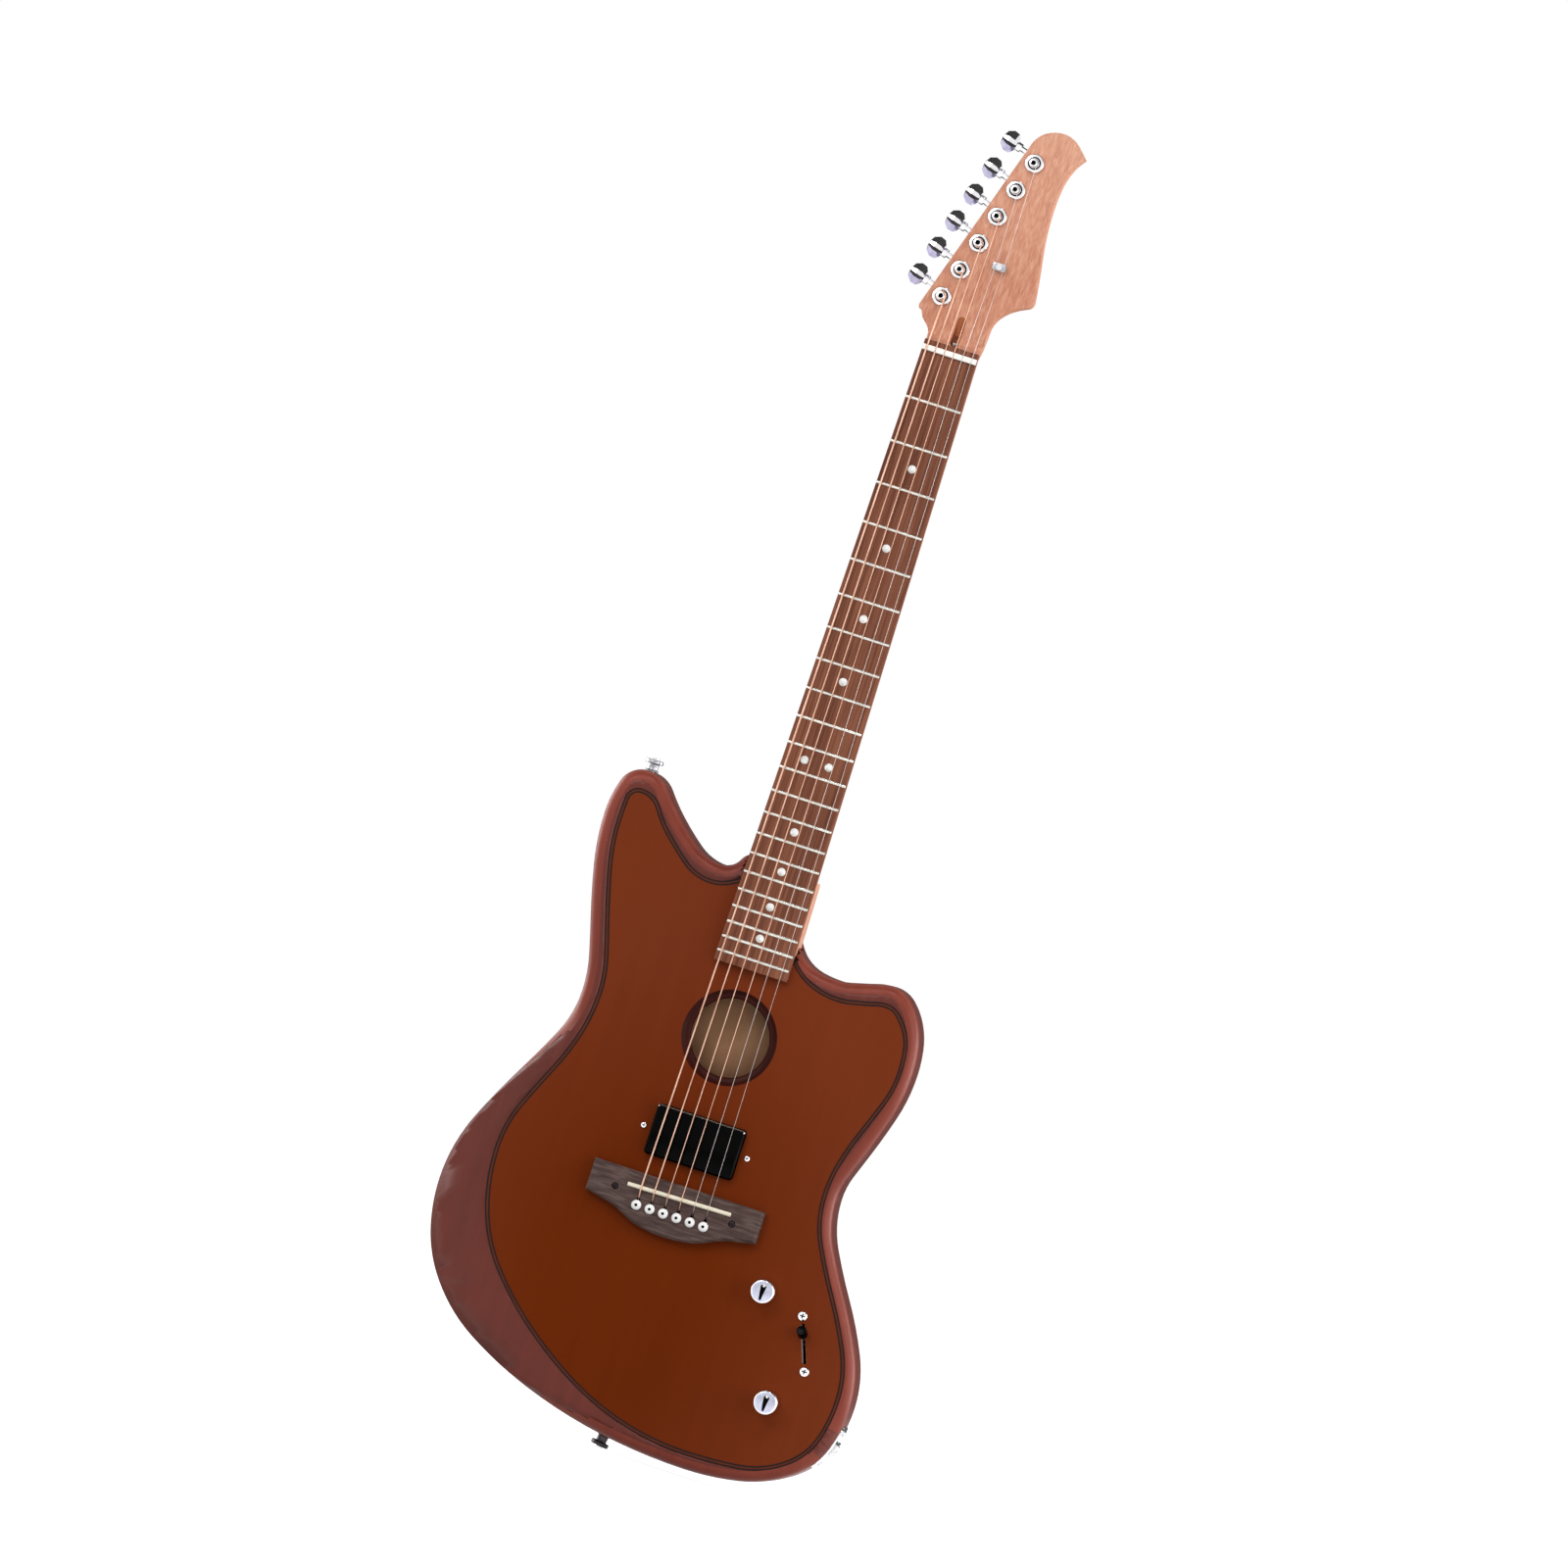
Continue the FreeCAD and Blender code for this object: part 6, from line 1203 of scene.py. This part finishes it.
        # Painted shade on the lip round the sound hole.
        paint_faces(piece, Finish.HOLE_SHADE, in_lip)
        paint_faces(piece, Finish.COPPER, in_slot)
        smooth(piece, angle=40)
        even_normals(piece)
        self.stand(piece, "top_wood", "soundboard")

    def line(self) -> None:
        """Dark line with a slightly lighter core."""
        piece = merged_copy("purfling")
        paint(piece, Finish.LINE)
        pick(piece, "FACE", lambda face: face.normal.y < -self.line_above)
        bpy.ops.mesh.inset(thickness=self.line_edge * MM, depth=0, use_boundary=True)
        leave()
        paint_faces(piece, Finish.LINE_CORE, lambda face: face.select)
        self.stand(piece, "dark_wood", "purfling")

    def ring(self) -> None:
        """Rounded ring under the edge of the sound hole, dark with painted shade."""
        inner, outer, depth = self.ring_radius, self.ring_radius + self.ring_width, self.ring_depth
        profile = [
            (outer, 0), (outer, -depth), (inner + 1.2, -depth), (inner + 0.35, -depth + 0.4),
            (inner, -depth + 1.2), (inner, -1.8), (inner + 0.5, -0.7), (inner + 1.6, 0), (outer, 0),
        ]
        piece = turned("hole_ring", profile, sides=72, hollow=True)
        paint(piece, Finish.HOLE_SHADE)
        smooth(piece, angle=50)
        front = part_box("sound_hole_collar")[0].y
        piece.data.transform(frame_on(Vector((0, front, self.hole_height * MM)), FRONT_WAY))
        self.stand(piece, "inner_wood", "sound_hole_collar")


@dataclass
class Bridge(Assembly):
    """Bridge with saddle, pins and screws."""

    pin_head: float = 7.5
    pin_height: float = 2.8
    pin_shank: float = 5.0
    pin_length: float = 22.0
    dot: float = 1.15
    dot_depth: float = 0.35
    screw: DomeScrew = DomeScrew(4.6, 1.2, 2.2, 12, Finish.DARK_SCREW)

    def build(self) -> None:
        """Dresses the bridge."""
        self.dress("bridge", Finish.BRIDGE, "bridge_wood", width=0.6)
        self.dress("saddle", Finish.BONE, "bone", width=0.5, segments=3)
        self.heads("pin_row", "bridge_pins", self.pin(), self.pin_height, "pin_plastic")
        self.heads("bridge_screw_pair", "bridge_screws", self.screw.build(), self.screw.height, "black_metal")

    def pin(self) -> Piece:
        """White pin with a black dot in its domed head.

        Returns:
            The pin at the origin, with its head upwards along its own Z.
        """
        half, shank, top = self.pin_head / 2, self.pin_shank / 2, self.pin_height
        profile = [
            (shank * 0.7, -self.pin_length), (shank, -0.6), (half * 0.8, 0), (half, 0.5), (half, 1.2),
            (half * 0.9, top * 0.72), (half * 0.66, top * 0.93), (self.dot + 0.25, top), (self.dot, top),
            (self.dot * 0.9, top - self.dot_depth),
        ]
        pin = turned("pin", profile)
        paint(pin, Finish.WHITE)

        def in_dot(face: Face) -> bool:
            """Tells the faces of the hollow in the head's middle.

            Args:
                face: A face of the pin.

            Returns:
                True for a face of the hollow.
            """
            corners = [pin.data.vertices[index].co for index in face.vertices]
            within = max(corner.xy.length for corner in corners) < self.dot * MM + SMALL
            return within and face.center.z > (top - self.dot_depth) * MM - SMALL

        paint_faces(pin, Finish.DOT, in_dot)
        smooth(pin, angle=40)
        return pin


@dataclass
class Neck(Assembly):
    """Neck, fretboard, frets, dots, nut, string tree and the hidden rod."""

    slot_width: float = 6.8
    slot_low: float = 655.0
    slot_high: float = 682.0
    slot_floor: float = 34.0
    fold_angle: float = 14.0
    boss: float = 1.7

    def build(self) -> None:
        """Dresses the neck."""
        self.timber()
        self.dress("fretboard", Finish.BOARD, "board_wood", width=0.4)
        self.dress("frets", Finish.NICKEL, "fret_metal", width=0.4, segments=3)
        self.dress("position_dots", Finish.PEARL, "pearl")
        self.dress("nut", Finish.NUT, "bone", width=0.2)
        self.dress("truss_rod", Finish.STEEL, "rod_steel")
        self.tree()

    def timber(self) -> None:
        """Neck and headstock, with a darker cut at the rod's nut."""
        piece = merged_copy("neck")
        paint(piece, Finish.NECK)
        half, front = self.slot_width / 2 * MM, -self.slot_floor * MM
        low, high = self.slot_low * MM, self.slot_high * MM

        def in_slot(face: Face) -> bool:
            """Tells the faces of the rod's slot, by their corners.

            Args:
                face: A face of the neck.

            Returns:
                True for a face with every corner in the slot.
            """
            corners = [piece.data.vertices[index].co for index in face.vertices]
            across = all(abs(corner.x) < half and corner.y < front for corner in corners)
            return across and all(low < corner.z < high for corner in corners)

        paint_faces(piece, Finish.SLOT, in_slot)
        smooth(piece, self.fold_angle)
        self.stand(piece, "neck_wood", "neck")

    def tree(self) -> None:
        """String tree with a round boss on its front."""
        piece = merged_copy("string_tree")
        bevel(piece, width=0.4)
        paint(piece, Finish.STEEL)
        low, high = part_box("string_tree")
        middle = (low + high) / 2
        profile = [(self.boss, -0.5), (self.boss, 0.25), (self.boss * 0.85, 0.4), (self.boss * 0.3, 0.4)]
        boss = turned("tree_boss", profile, sides=24)
        boss.data.transform(frame_on(Vector((middle.x, low.y, middle.z)), FRONT_WAY))
        paint(boss, Finish.DARK_SCREW)
        whole = joined("string_tree_piece", [piece, boss])
        smooth(whole, angle=30)
        self.stand(whole, "chrome", "string_tree")


@dataclass
class Strings(Assembly):
    """Four wound and two plain strings."""

    wound_angle: float = 80.0
    plain_angle: float = 100.0

    def build(self) -> None:
        """Dresses the strings."""
        self.dress("wound_strings", Finish.BRONZE, "wound_wire", angle=self.wound_angle)
        self.dress("plain_strings", Finish.PLAIN, "plain_wire", angle=self.plain_angle)


@dataclass
class Tuners(Assembly):
    """Six tuners in a row: bushes, posts, cases and keys."""

    count: int = 6
    bush_bore: float = 3.05
    bush_height: float = 16.0
    groove: tuple[float, float] = (3.5, 4.85)
    groove_depth: tuple[float, float] = (2.4, 0.6)
    post_radius: float = 3.0
    post_flange: float = 4.0
    post_waist: float = 2.5
    post_hole: float = 1.7
    hole_depth: float = 3.4
    spindle_round: float = 0.3
    # Faces of a button whose normal lies less than this along its axis are its sides.
    side_below: float = 0.8
    # Where the button's lower facets, painted lavender as a reflection, start, as a share of the narrow
    # facet's lower edge.
    lower_from: float = 1.1
    # Cross-section of a button, as shares of half its thickness and half its width.
    facets: Profile = (
        (0.1, 1.0), (1.0, 0.31), (1.0, -0.08), (0.96, -0.4), (0.1, -1.0),
        (-0.1, -1.0), (-0.96, -0.4), (-1.0, -0.08), (-1.0, 0.31), (-0.1, 1.0),
    )
    # Place along a button, and the shares of its thickness and of its width there.
    rings: Sequence[Triple] = (
        (0.0, 0.6, 0.284), (0.07, 0.82, 0.62), (0.26, 0.97, 0.96), (0.6, 1.0, 1.0), (0.93, 0.8, 0.66),
        (1.0, 0.55, 0.3),
    )

    def build(self) -> None:
        """Dresses the tuners."""
        self.bushes()
        for number in range(1, self.count + 1):
            self.post(number)
            self.key(number)
        self.dress("tuner_cases", Finish.CHROME, "chrome", width=0.5, segments=3)
        self.keep("headstock_screws", Finish.CHROME)

    def joint(self, name: str) -> dict:
        """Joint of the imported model."""
        return next(joint for joint in frame["joints"] if joint["name"] == name)

    def post_place(self, number: int, back: float) -> Matrix:
        """Matrix that stands a piece on a post's axis.

        Args:
            number: Number of the tuner.
            back: Where the piece starts along Y, in metres.

        Returns:
            The matrix, with the piece's own Z to the front.
        """
        spot = self.joint(f"post_{number}_turn")["pos_m"]
        return frame_on(Vector((spot[0], back, spot[2])), FRONT_WAY)

    def bushes(self) -> None:
        """Round bushes, each with a groove round its raised nose, the groove darkened as painted shade."""
        bore, top = self.bush_bore, self.bush_height
        profile = [
            (bore, 0), (5.0, 0), (5.0, top - 2.8), (6.4, top - 2.8), (6.8, top - 2.5), (6.8, top - 2.1),
            (6.4, top - 1.7), (4.9, top - 1.5), (4.7, top - 2.2), (3.9, top - 2.2), (3.8, top - 0.5),
            (3.6, top), (bore + 0.25, top), (bore, top - 0.25), (bore, 0),
        ]
        bush = turned("bush", profile, sides=40, hollow=True)
        paint(bush, Finish.CHROME)
        inner, outer = self.groove
        deepest, shallowest = self.groove_depth

        def in_groove(face: Face) -> bool:
            """Faces of the groove, which get painted shade."""
            deep = (top - deepest) * MM < face.center.z < (top - shallowest) * MM
            return deep and inner * MM < face.center.xy.length < outer * MM

        paint_faces(bush, Finish.PAINTED_SHADE_CHROME, in_groove)
        smooth(bush, angle=30)
        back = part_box("tuner_bushings")[1].y
        places = [self.post_place(number, back) for number in range(1, self.count + 1)]
        self.stand(row_of("bush_row", bush, places), "chrome", "tuner_bushings")

    def post(self, number: int) -> None:
        """Round post with a waist for the string and a hollow end, black inside as painted shade.

        Args:
            number: Number of the tuner.
        """
        node = f"tuner_post_{number}"
        low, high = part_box(node)
        top = (high.y - low.y) / MM
        wide, flange, waist, hole = self.post_radius, self.post_flange, self.post_waist, self.post_hole
        profile = [
            (flange, 0), (flange, 2.0), (wide, 2.0), (wide, top - 6.5), (waist, top - 6.0),
            (waist, top - 1.7), (wide, top - 1.2), (wide, top - 0.5), (wide - 0.3, top - 0.12),
            (wide - 0.7, top), (hole + 0.25, top), (hole, top - 0.25), (hole * 0.9, top - self.hole_depth),
        ]
        post = turned(f"{node}_piece", profile)
        paint(post, Finish.CHROME)

        def in_hole(face: Face) -> bool:
            """Wall and floor of the hollow end, which get painted shade."""
            return face.center.z > (top - self.hole_depth - 1) * MM and face.center.xy.length < hole * MM

        paint_faces(post, Finish.GLOSS, in_hole)
        smooth(post, angle=30)
        post.data.transform(self.post_place(number, high.y))
        self.stand(post, "chrome", node, f"post_{number}")

    def key(self, number: int) -> None:
        """Key: the node's own spindle and collar, with a faceted button.

        Args:
            number: Number of the tuner.
        """
        node = f"tuner_key_{number}"
        joint = self.joint(f"key_{number}_turn")
        place = frame_on(Vector(joint["pos_m"]), Vector(joint["axis"]))
        own = place.inverted()

        def extent(part: Piece) -> tuple[float, float]:
            """Where a part starts and ends along the key's axis."""
            heights = [(own @ vertex.co).z for vertex in part.data.vertices]
            return min(heights), max(heights)

        parts = sorted(loose_parts(node, "piece"), key=lambda part: extent(part)[1])
        plate, spindle = parts[-1], joined(f"{node}_piece", parts[:-1])
        start, end = extent(plate)
        points = [own @ vertex.co for vertex in plate.data.vertices]
        thick = max(abs(point.x) for point in points)
        width = max(abs(point.y) for point in points)
        bpy.data.objects.remove(plate)
        button = self.button(thick, width, start, end - start)
        button.data.transform(place)
        bevel(spindle, self.spindle_round)
        paint(spindle, Finish.CHROME)
        key = joined(f"{node}_piece", [spindle, button])
        smooth(key, angle=12)
        self.stand(key, "chrome", node, f"key_{number}")

    def button(self, thick: float, width: float, start: float, length: float) -> Piece:
        """Button drawn out along its axis from a faceted outline, with painted reflections: a dark narrow
        facet and lavender lower facets.

        Args:
            thick: Half its thickness in metres.
            width: Half its width in metres.
            start: Where it starts on the key's axis, in metres.
            length: Its length along the axis, in metres.

        Returns:
            The button, with its axis along its own Z.
        """
        button = circle("button", width / MM, len(self.facets), "NGON")
        last = self.rings[0]
        for vertex, (front, side) in zip(button.data.vertices, self.facets):
            vertex.co = (front * thick * last[1], side * width * last[2], start)
        edit(button)
        for ring in self.rings[1:]:
            rise = (ring[0] - last[0]) * length
            bpy.ops.mesh.extrude_region_move(TRANSFORM_OT_translate={"value": (0, 0, rise)})
            bpy.ops.transform.resize(
                value=(ring[1] / last[1], ring[2] / last[2], 1),
                center_override=(0, 0, start + ring[0] * length),
            )
            last = ring
        outward()
        leave()
        paint(button, Finish.CHROME)
        upper, lower = self.facets[2][1], self.facets[3][1]

        def in_dark_reflection(face: Face) -> bool:
            """The narrow facet on both sides, which gets a painted dark reflection."""
            share = face.center.y / width / self.widest((face.center.z - start) / length)
            return abs(face.normal.z) < self.side_below and lower < share < upper

        paint_faces(button, Finish.PAINTED_SHADE_CHROME, in_dark_reflection)
        # Painted reflection: lavender on the lower facets.
        paint_faces(button, Finish.LAVENDER, lambda face: face.center.y / width < lower * self.lower_from)
        return button

    def widest(self, share: float) -> float:
        """Width of a button at a place along it.

        Args:
            share: The place, as a share of the button's length.

        Returns:
            Share of its full width.
        """
        for near, far in zip(self.rings, self.rings[1:]):
            if share <= far[0]:
                return near[2] + (far[2] - near[2]) * (share - near[0]) / (far[0] - near[0])
        return self.rings[-1][2]


@dataclass
class Pickup(Assembly):
    """Pickup under its gloss cover."""

    cover_round: float = 0.9
    edge_tilt: float = 0.1
    flat_above: float = 0.99
    screw: DomeScrew = DomeScrew(4.6, 1.4, 2.2, 20, Finish.CHROME)

    def build(self) -> None:
        """Dresses the pickup."""
        self.cover()
        self.keep("pickup_coils", Finish.MATTE)
        self.keep("pickup_base", Finish.STEEL)
        self.keep("pickup_sleeves", Finish.RUBBER)
        self.heads("pickup_screw_pair", "pickup_screws", self.screw.build(), self.screw.height, "chrome")

    def cover(self) -> None:
        """Gloss cover with a painted highlight on its upper edge."""
        piece = merged_copy("pickup_cover")
        bevel(piece, self.cover_round, segments=4)
        paint(piece, Finish.GLOSS)

        def on_highlit_edge(face: Face) -> bool:
            """Faces of the upper edge's rounding, which carry the painted highlight."""
            return face.normal.z > self.edge_tilt and -self.flat_above < face.normal.y < -self.edge_tilt

        # Painted highlight: the upper rounding is pale metal where the gloss cover would reflect light.
        paint_faces(piece, Finish.NICKEL, on_highlit_edge)
        smooth(piece)
        self.stand(piece, "gloss_black", "pickup_cover")


@dataclass
class Controls(Assembly):
    """Volume and tone knobs, their shafts and pots, and the blade switch."""

    knob: float = 18.0
    bore_radius: float = 3.0
    skirt_radius: float = 7.5
    skirt_depth: float = 3.4
    scoop_length: float = 13.4
    scoop_wide: float = 4.6
    scoop_narrow: float = 1.8
    scoop_depth: float = 1.3
    scoop_slope: float = 2.6
    scoop_sides: int = 24
    # Faces of the scoop whose normal lies this far along the knob's axis are its slope.
    scoop_tilt: tuple[float, float] = (0.2, 0.9)
    crown_depth: float = 0.05
    dot: float = 0.85
    dot_place: float = 4.0
    tip_round: float = 1.2
    screw: DomeScrew = DomeScrew(7.3, 1.8, 3.4, 8, Finish.CHROME)

    def build(self) -> None:
        """Dresses the controls."""
        for name in ("volume", "tone"):
            self.turn_knob(name)
            self.dress(f"{name}_shaft", Finish.STEEL, "chrome", body=name)
        self.keep("control_pots", Finish.STEEL)
        self.dress("pot_nuts", Finish.CHROME, "chrome", width=0.3)
        self.dress("switch_frame", Finish.STEEL, "chrome")
        self.dress("switch_lever", Finish.STEEL, "chrome", width=0.2, body="lever")
        self.tip()
        self.heads("switch_screw_pair", "switch_screws", self.screw.build(), self.screw.height, "chrome")

    def turn_knob(self, name: str) -> None:
        """Flat-topped knob with a black pointer scoop, and a white dot in it as a painted highlight at the
        scoop's wide end.

        Args:
            name: Name of the control, which is its body's too.
        """
        node = f"{name}_knob"
        low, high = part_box(node)
        middle = (low + high) / 2
        top, half = (high.y - low.y) / MM, self.knob / 2
        profile = [
            (self.bore_radius, top - 6), (self.bore_radius, self.skirt_depth),
            (self.skirt_radius, self.skirt_depth), (self.skirt_radius, 0), (half - 0.5, 0), (half, 0.5),
            (half, top - 1.25), (half - 0.12, top - 0.95), (half - 0.95, top - 0.12), (half - 1.3, top),
            (0.5, top),
        ]
        knob = turned(f"{node}_piece", profile, sides=64)
        paint(knob, Finish.CHROME)
        crown = (top - self.crown_depth) * MM
        paint_faces(knob, Finish.KNOB_TOP, lambda face: face.center.z > crown)
        subtract(knob, self.scoop(top))
        # Painted highlight: a white dot where the scoop's wide end would catch the light.
        rings = [(self.dot, top - 1.2), (self.dot, top - 0.3), (self.dot * 0.7, top - 0.1)]
        dot = turned("dot", rings, sides=20)
        dot.data.transform(Matrix.Translation((0, self.dot_place * MM, 0)))
        paint(dot, Finish.NUT)
        knob = joined(f"{node}_piece", [knob, dot])
        smooth(knob, angle=30)
        knob.data.transform(frame_on(Vector((middle.x, high.y, middle.z)), FRONT_WAY))
        self.stand(knob, "chrome", node, name)

    def scoop(self, top: float) -> Piece:
        """Cutter of the pointer: a disc drawn out to a narrower lower end.

        Args:
            top: Height of the knob.

        Returns:
            The cutter in the knob's own frame.
        """
        wide, reach = self.scoop_wide / 2, self.scoop_length / 2
        share = self.scoop_narrow / self.scoop_wide
        cutter = circle("scoop", wide, self.scoop_sides, "NGON")
        pick(cutter, "VERT", lambda vertex: vertex.co.y > 0)
        bpy.ops.transform.translate(value=(0, (reach - wide) * MM, 0))
        leave()
        pick(cutter, "VERT", lambda vertex: vertex.co.y <= 0)
        bpy.ops.transform.resize(value=(share, share, 1), center_override=(0, 0, 0))
        bpy.ops.transform.translate(value=(0, (wide * share - reach) * MM, 0))
        leave()
        edit(cutter)
        bpy.ops.mesh.extrude_region_move(
            TRANSFORM_OT_translate={"value": (0, 0, 2 * self.scoop_depth * MM)}
        )
        leave()
        pick(cutter, "VERT", lambda vertex: vertex.co.y > 0 and vertex.co.z < SMALL)
        bpy.ops.transform.translate(value=(0, -self.scoop_slope * MM, 0))
        outward()
        leave()
        cutter.data.transform(Matrix.Translation((0, 0, (top - self.scoop_depth) * MM)))
        paint(cutter, Finish.GLOSS)
        low, high = self.scoop_tilt
        paint_faces(cutter, Finish.CHROME, lambda face: low < abs(face.normal.z) < high)
        return cutter

    def tip(self) -> None:
        """Round switch tip."""
        piece = merged_copy("switch_tip")
        bevel(piece, self.tip_round, segments=3, angle=60)
        paint(piece, Finish.GLOSS)
        smooth(piece, angle=50)
        self.stand(piece, "gloss_black", "switch_tip", "lever")


@dataclass
class RimFittings(Assembly):
    """Jack, strap buttons, ferrules and screws."""

    edge_round: float = 0.3
    button_round: float = 0.6

    def build(self) -> None:
        """Dresses the fittings."""
        for node in ("jack_plate", "output_jack"):
            self.chrome(node)
        self.buttons()
        for node in ("neck_ferrules", "neck_screws", "body_screws"):
            self.chrome(node)

    def chrome(self, node: str) -> None:
        """Gives a node a chromed piece with soft edges."""
        self.dress(node, Finish.CHROME, "chrome", self.edge_round)

    def buttons(self) -> None:
        """Bright strap button on the horn, and a darker one at the tail as painted shade."""
        piece = merged_copy("strap_buttons")
        bevel(piece, self.button_round, segments=3)
        paint(piece, Finish.STEEL)
        # Painted shade: the lower button is darker chrome.
        paint_faces(piece, Finish.PAINTED_SHADE_CHROME, lambda face: face.center.z < 0)
        smooth(piece)
        self.stand(piece, "chrome", "strap_buttons")


# Studio

@dataclass(frozen=True)
class Lamp:
    """Soft square lamp, in metres and watts."""

    name: str
    place: Triple
    size: float
    watts: float

    def build(self, target: Vector) -> None:
        """Hangs the lamp.

        Args:
            target: What it faces.
        """
        data = bpy.data.lights.new(self.name, "AREA")
        data.energy = self.watts
        data.size = self.size
        lamp = bpy.data.objects.new(self.name, data)
        bpy.context.scene.collection.objects.link(lamp)
        place = Vector(self.place)
        turn = (target - place).normalized().to_track_quat("-Z", "Y").to_matrix().to_4x4()
        lamp.matrix_world = Matrix.Translation(place) @ turn


@dataclass(frozen=True)
class Card:
    """Dark card round the guitar, seen only in reflections.

    Attributes:
        name: Name of the card.
        way: Direction from the guitar to the card.
        size: Width and height in metres.
        tone: Grey of the card, from 0 to 1.
        distance: How far it stands from the guitar's middle, in metres.
    """

    name: str
    way: Triple
    size: tuple[float, float]
    tone: float = 0.01
    distance: float = 2.6

    def build(self, target: Vector) -> None:
        """Sets the card up.

        Args:
            target: Middle of the guitar.
        """
        deselect()
        bpy.ops.mesh.primitive_plane_add(size=1, location=(0, 0, 0))
        card = bpy.context.object
        card.name = f"{self.name}_card"
        way = Vector(self.way)
        hint = FRONT_WAY if abs(way.y) < max(abs(way.x), abs(way.z)) else UP_WAY
        turn = frame_on(target + way.normalized() * self.distance, way, hint)
        card.data.transform(turn @ Matrix.Diagonal((*self.size, 1, 1)))
        material = new_material(f"{self.name} card")
        graph = Graph(material.node_tree)
        graph.show(graph.add("ShaderNodeBsdfDiffuse", Color=grey(self.tone)).outputs[0])
        card.data.materials.append(material)
        card.visible_camera = False
        card.visible_diffuse = False
        card.visible_shadow = False
        card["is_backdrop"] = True


@dataclass
class Studio:
    """Camera of the photograph, pale floor, world, lamps and cards, in metres and degrees."""

    yaw: float = 8.0
    roll: float = 17.96
    lens: float = 300.0
    sensor: float = 36.0
    frame_width: float = 1.1524
    target: Triple = (-0.01757, -0.0579, 0.3121)
    floor_size: float = 12.0
    floor_gap: float = 0.0005
    floor_tone: float = 0.4
    floor_glow: float = 0.86
    world_light: float = 0.62
    lamps: Sequence[Lamp] = (
        Lamp("key", (-1.6, -2.9, 1.9), size=1.6, watts=34.0),
        Lamp("side", (2.6, -1.4, 0.9), size=2.2, watts=34.0),
        Lamp("back", (-0.6, 3.0, 1.6), size=1.8, watts=22.0),
        Lamp("strip", (0.1, -1.7, 2.2), size=0.3, watts=9.0),
        Lamp("left_rim", (-2.4, 0.6, 0.3), size=2.2, watts=60.0),
        Lamp("right_rim", (2.4, 0.6, 0.2), size=2.2, watts=60.0),
    )
    cards: Sequence[Card] = (
        Card("upper", (0, -0.21, 1), (5.0, 2.3), tone=0.05),
        Card("left", (-1, 0, 0.1), (5.0, 0.55)),
        Card("right", (1, 0, 0.1), (5.0, 0.55)),
        Card("lower", (0, -0.95, -0.2), (5.0, 0.22)),
        Card("behind", (0, 1, 0), (1.5, 1.9), tone=0.12, distance=0.75),
    )

    def build(self) -> None:
        """Sets the studio up."""
        self.camera()
        self.world()
        self.floor()
        for thing in (*self.lamps, *self.cards):
            thing.build(Vector(self.target))

    def camera(self) -> None:
        """Long-lens camera, turned and rolled as the photograph's."""
        turn, tilt = math.radians(self.yaw), math.radians(self.roll)
        look = Vector((-math.sin(turn), math.cos(turn), 0))
        side = Vector((math.cos(turn), math.sin(turn), 0))
        up = UP_WAY * math.cos(tilt) - side * math.sin(tilt)
        right = side * math.cos(tilt) + UP_WAY * math.sin(tilt)
        distance = self.frame_width * self.lens / self.sensor
        data = bpy.data.cameras.new("camera")
        data.lens = self.lens
        data.sensor_width = self.sensor
        data.clip_end = 100.0
        camera = bpy.data.objects.new("camera", data)
        bpy.context.scene.collection.objects.link(camera)
        axes = Matrix((right, up, -look)).transposed().to_4x4()
        camera.matrix_world = Matrix.Translation(Vector(self.target) - look * distance) @ axes
        bpy.context.scene.camera = camera

    def world(self) -> None:
        """Even surroundings, plain white for the camera, reflections and glass."""
        world = bpy.data.worlds.new("studio")
        bpy.context.scene.world = world
        world.use_nodes = True
        graph = Graph(world.node_tree)
        background = graph.tree.nodes["Background"]
        background.inputs["Color"].default_value = grey(1.0)
        path = graph.add("ShaderNodeLightPath").outputs
        seen = graph.larger(path["Is Camera Ray"], path["Is Glossy Ray"])
        seen = graph.larger(seen, path["Is Transmission Ray"])
        graph.link(graph.between(seen, self.world_light, 1.0), background.inputs["Strength"])

    def floor(self) -> None:
        """Pale floor under the guitar that keeps its shadow."""
        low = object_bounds()[0]
        deselect()
        bpy.ops.mesh.primitive_plane_add(size=self.floor_size, location=(0, 0, low[2] - self.floor_gap))
        floor = bpy.context.object
        floor.name = "floor"
        material = new_material("pale floor")
        graph = Graph(material.node_tree)
        path = graph.add("ShaderNodeLightPath").outputs
        seen = graph.larger(path["Is Camera Ray"], path["Is Glossy Ray"])
        glow = graph.add("ShaderNodeEmission", Color=grey(1.0))
        graph.link(graph.between(seen, 0.0, self.floor_glow), glow.inputs["Strength"])
        diffuse = graph.add("ShaderNodeBsdfDiffuse", Color=grey(self.floor_tone))
        both = graph.add("ShaderNodeAddShader")
        graph.link(diffuse.outputs[0], both.inputs[0])
        graph.link(glow.outputs[0], both.inputs[1])
        graph.show(both.outputs[0])
        floor.data.materials.append(material)
        floor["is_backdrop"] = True


def main() -> None:
    """Dresses the guitar and sets the studio up."""
    bpy.context.scene.view_settings.view_transform = "Standard"
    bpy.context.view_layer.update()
    for kind in (BodyShell, Bridge, Neck, Strings, Tuners, Pickup, Controls, RimFittings):
        log.info("building %s", kind.__name__)
        kind().build()
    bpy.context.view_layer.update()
    Studio().build()


if __name__ == "__main__":
    main()
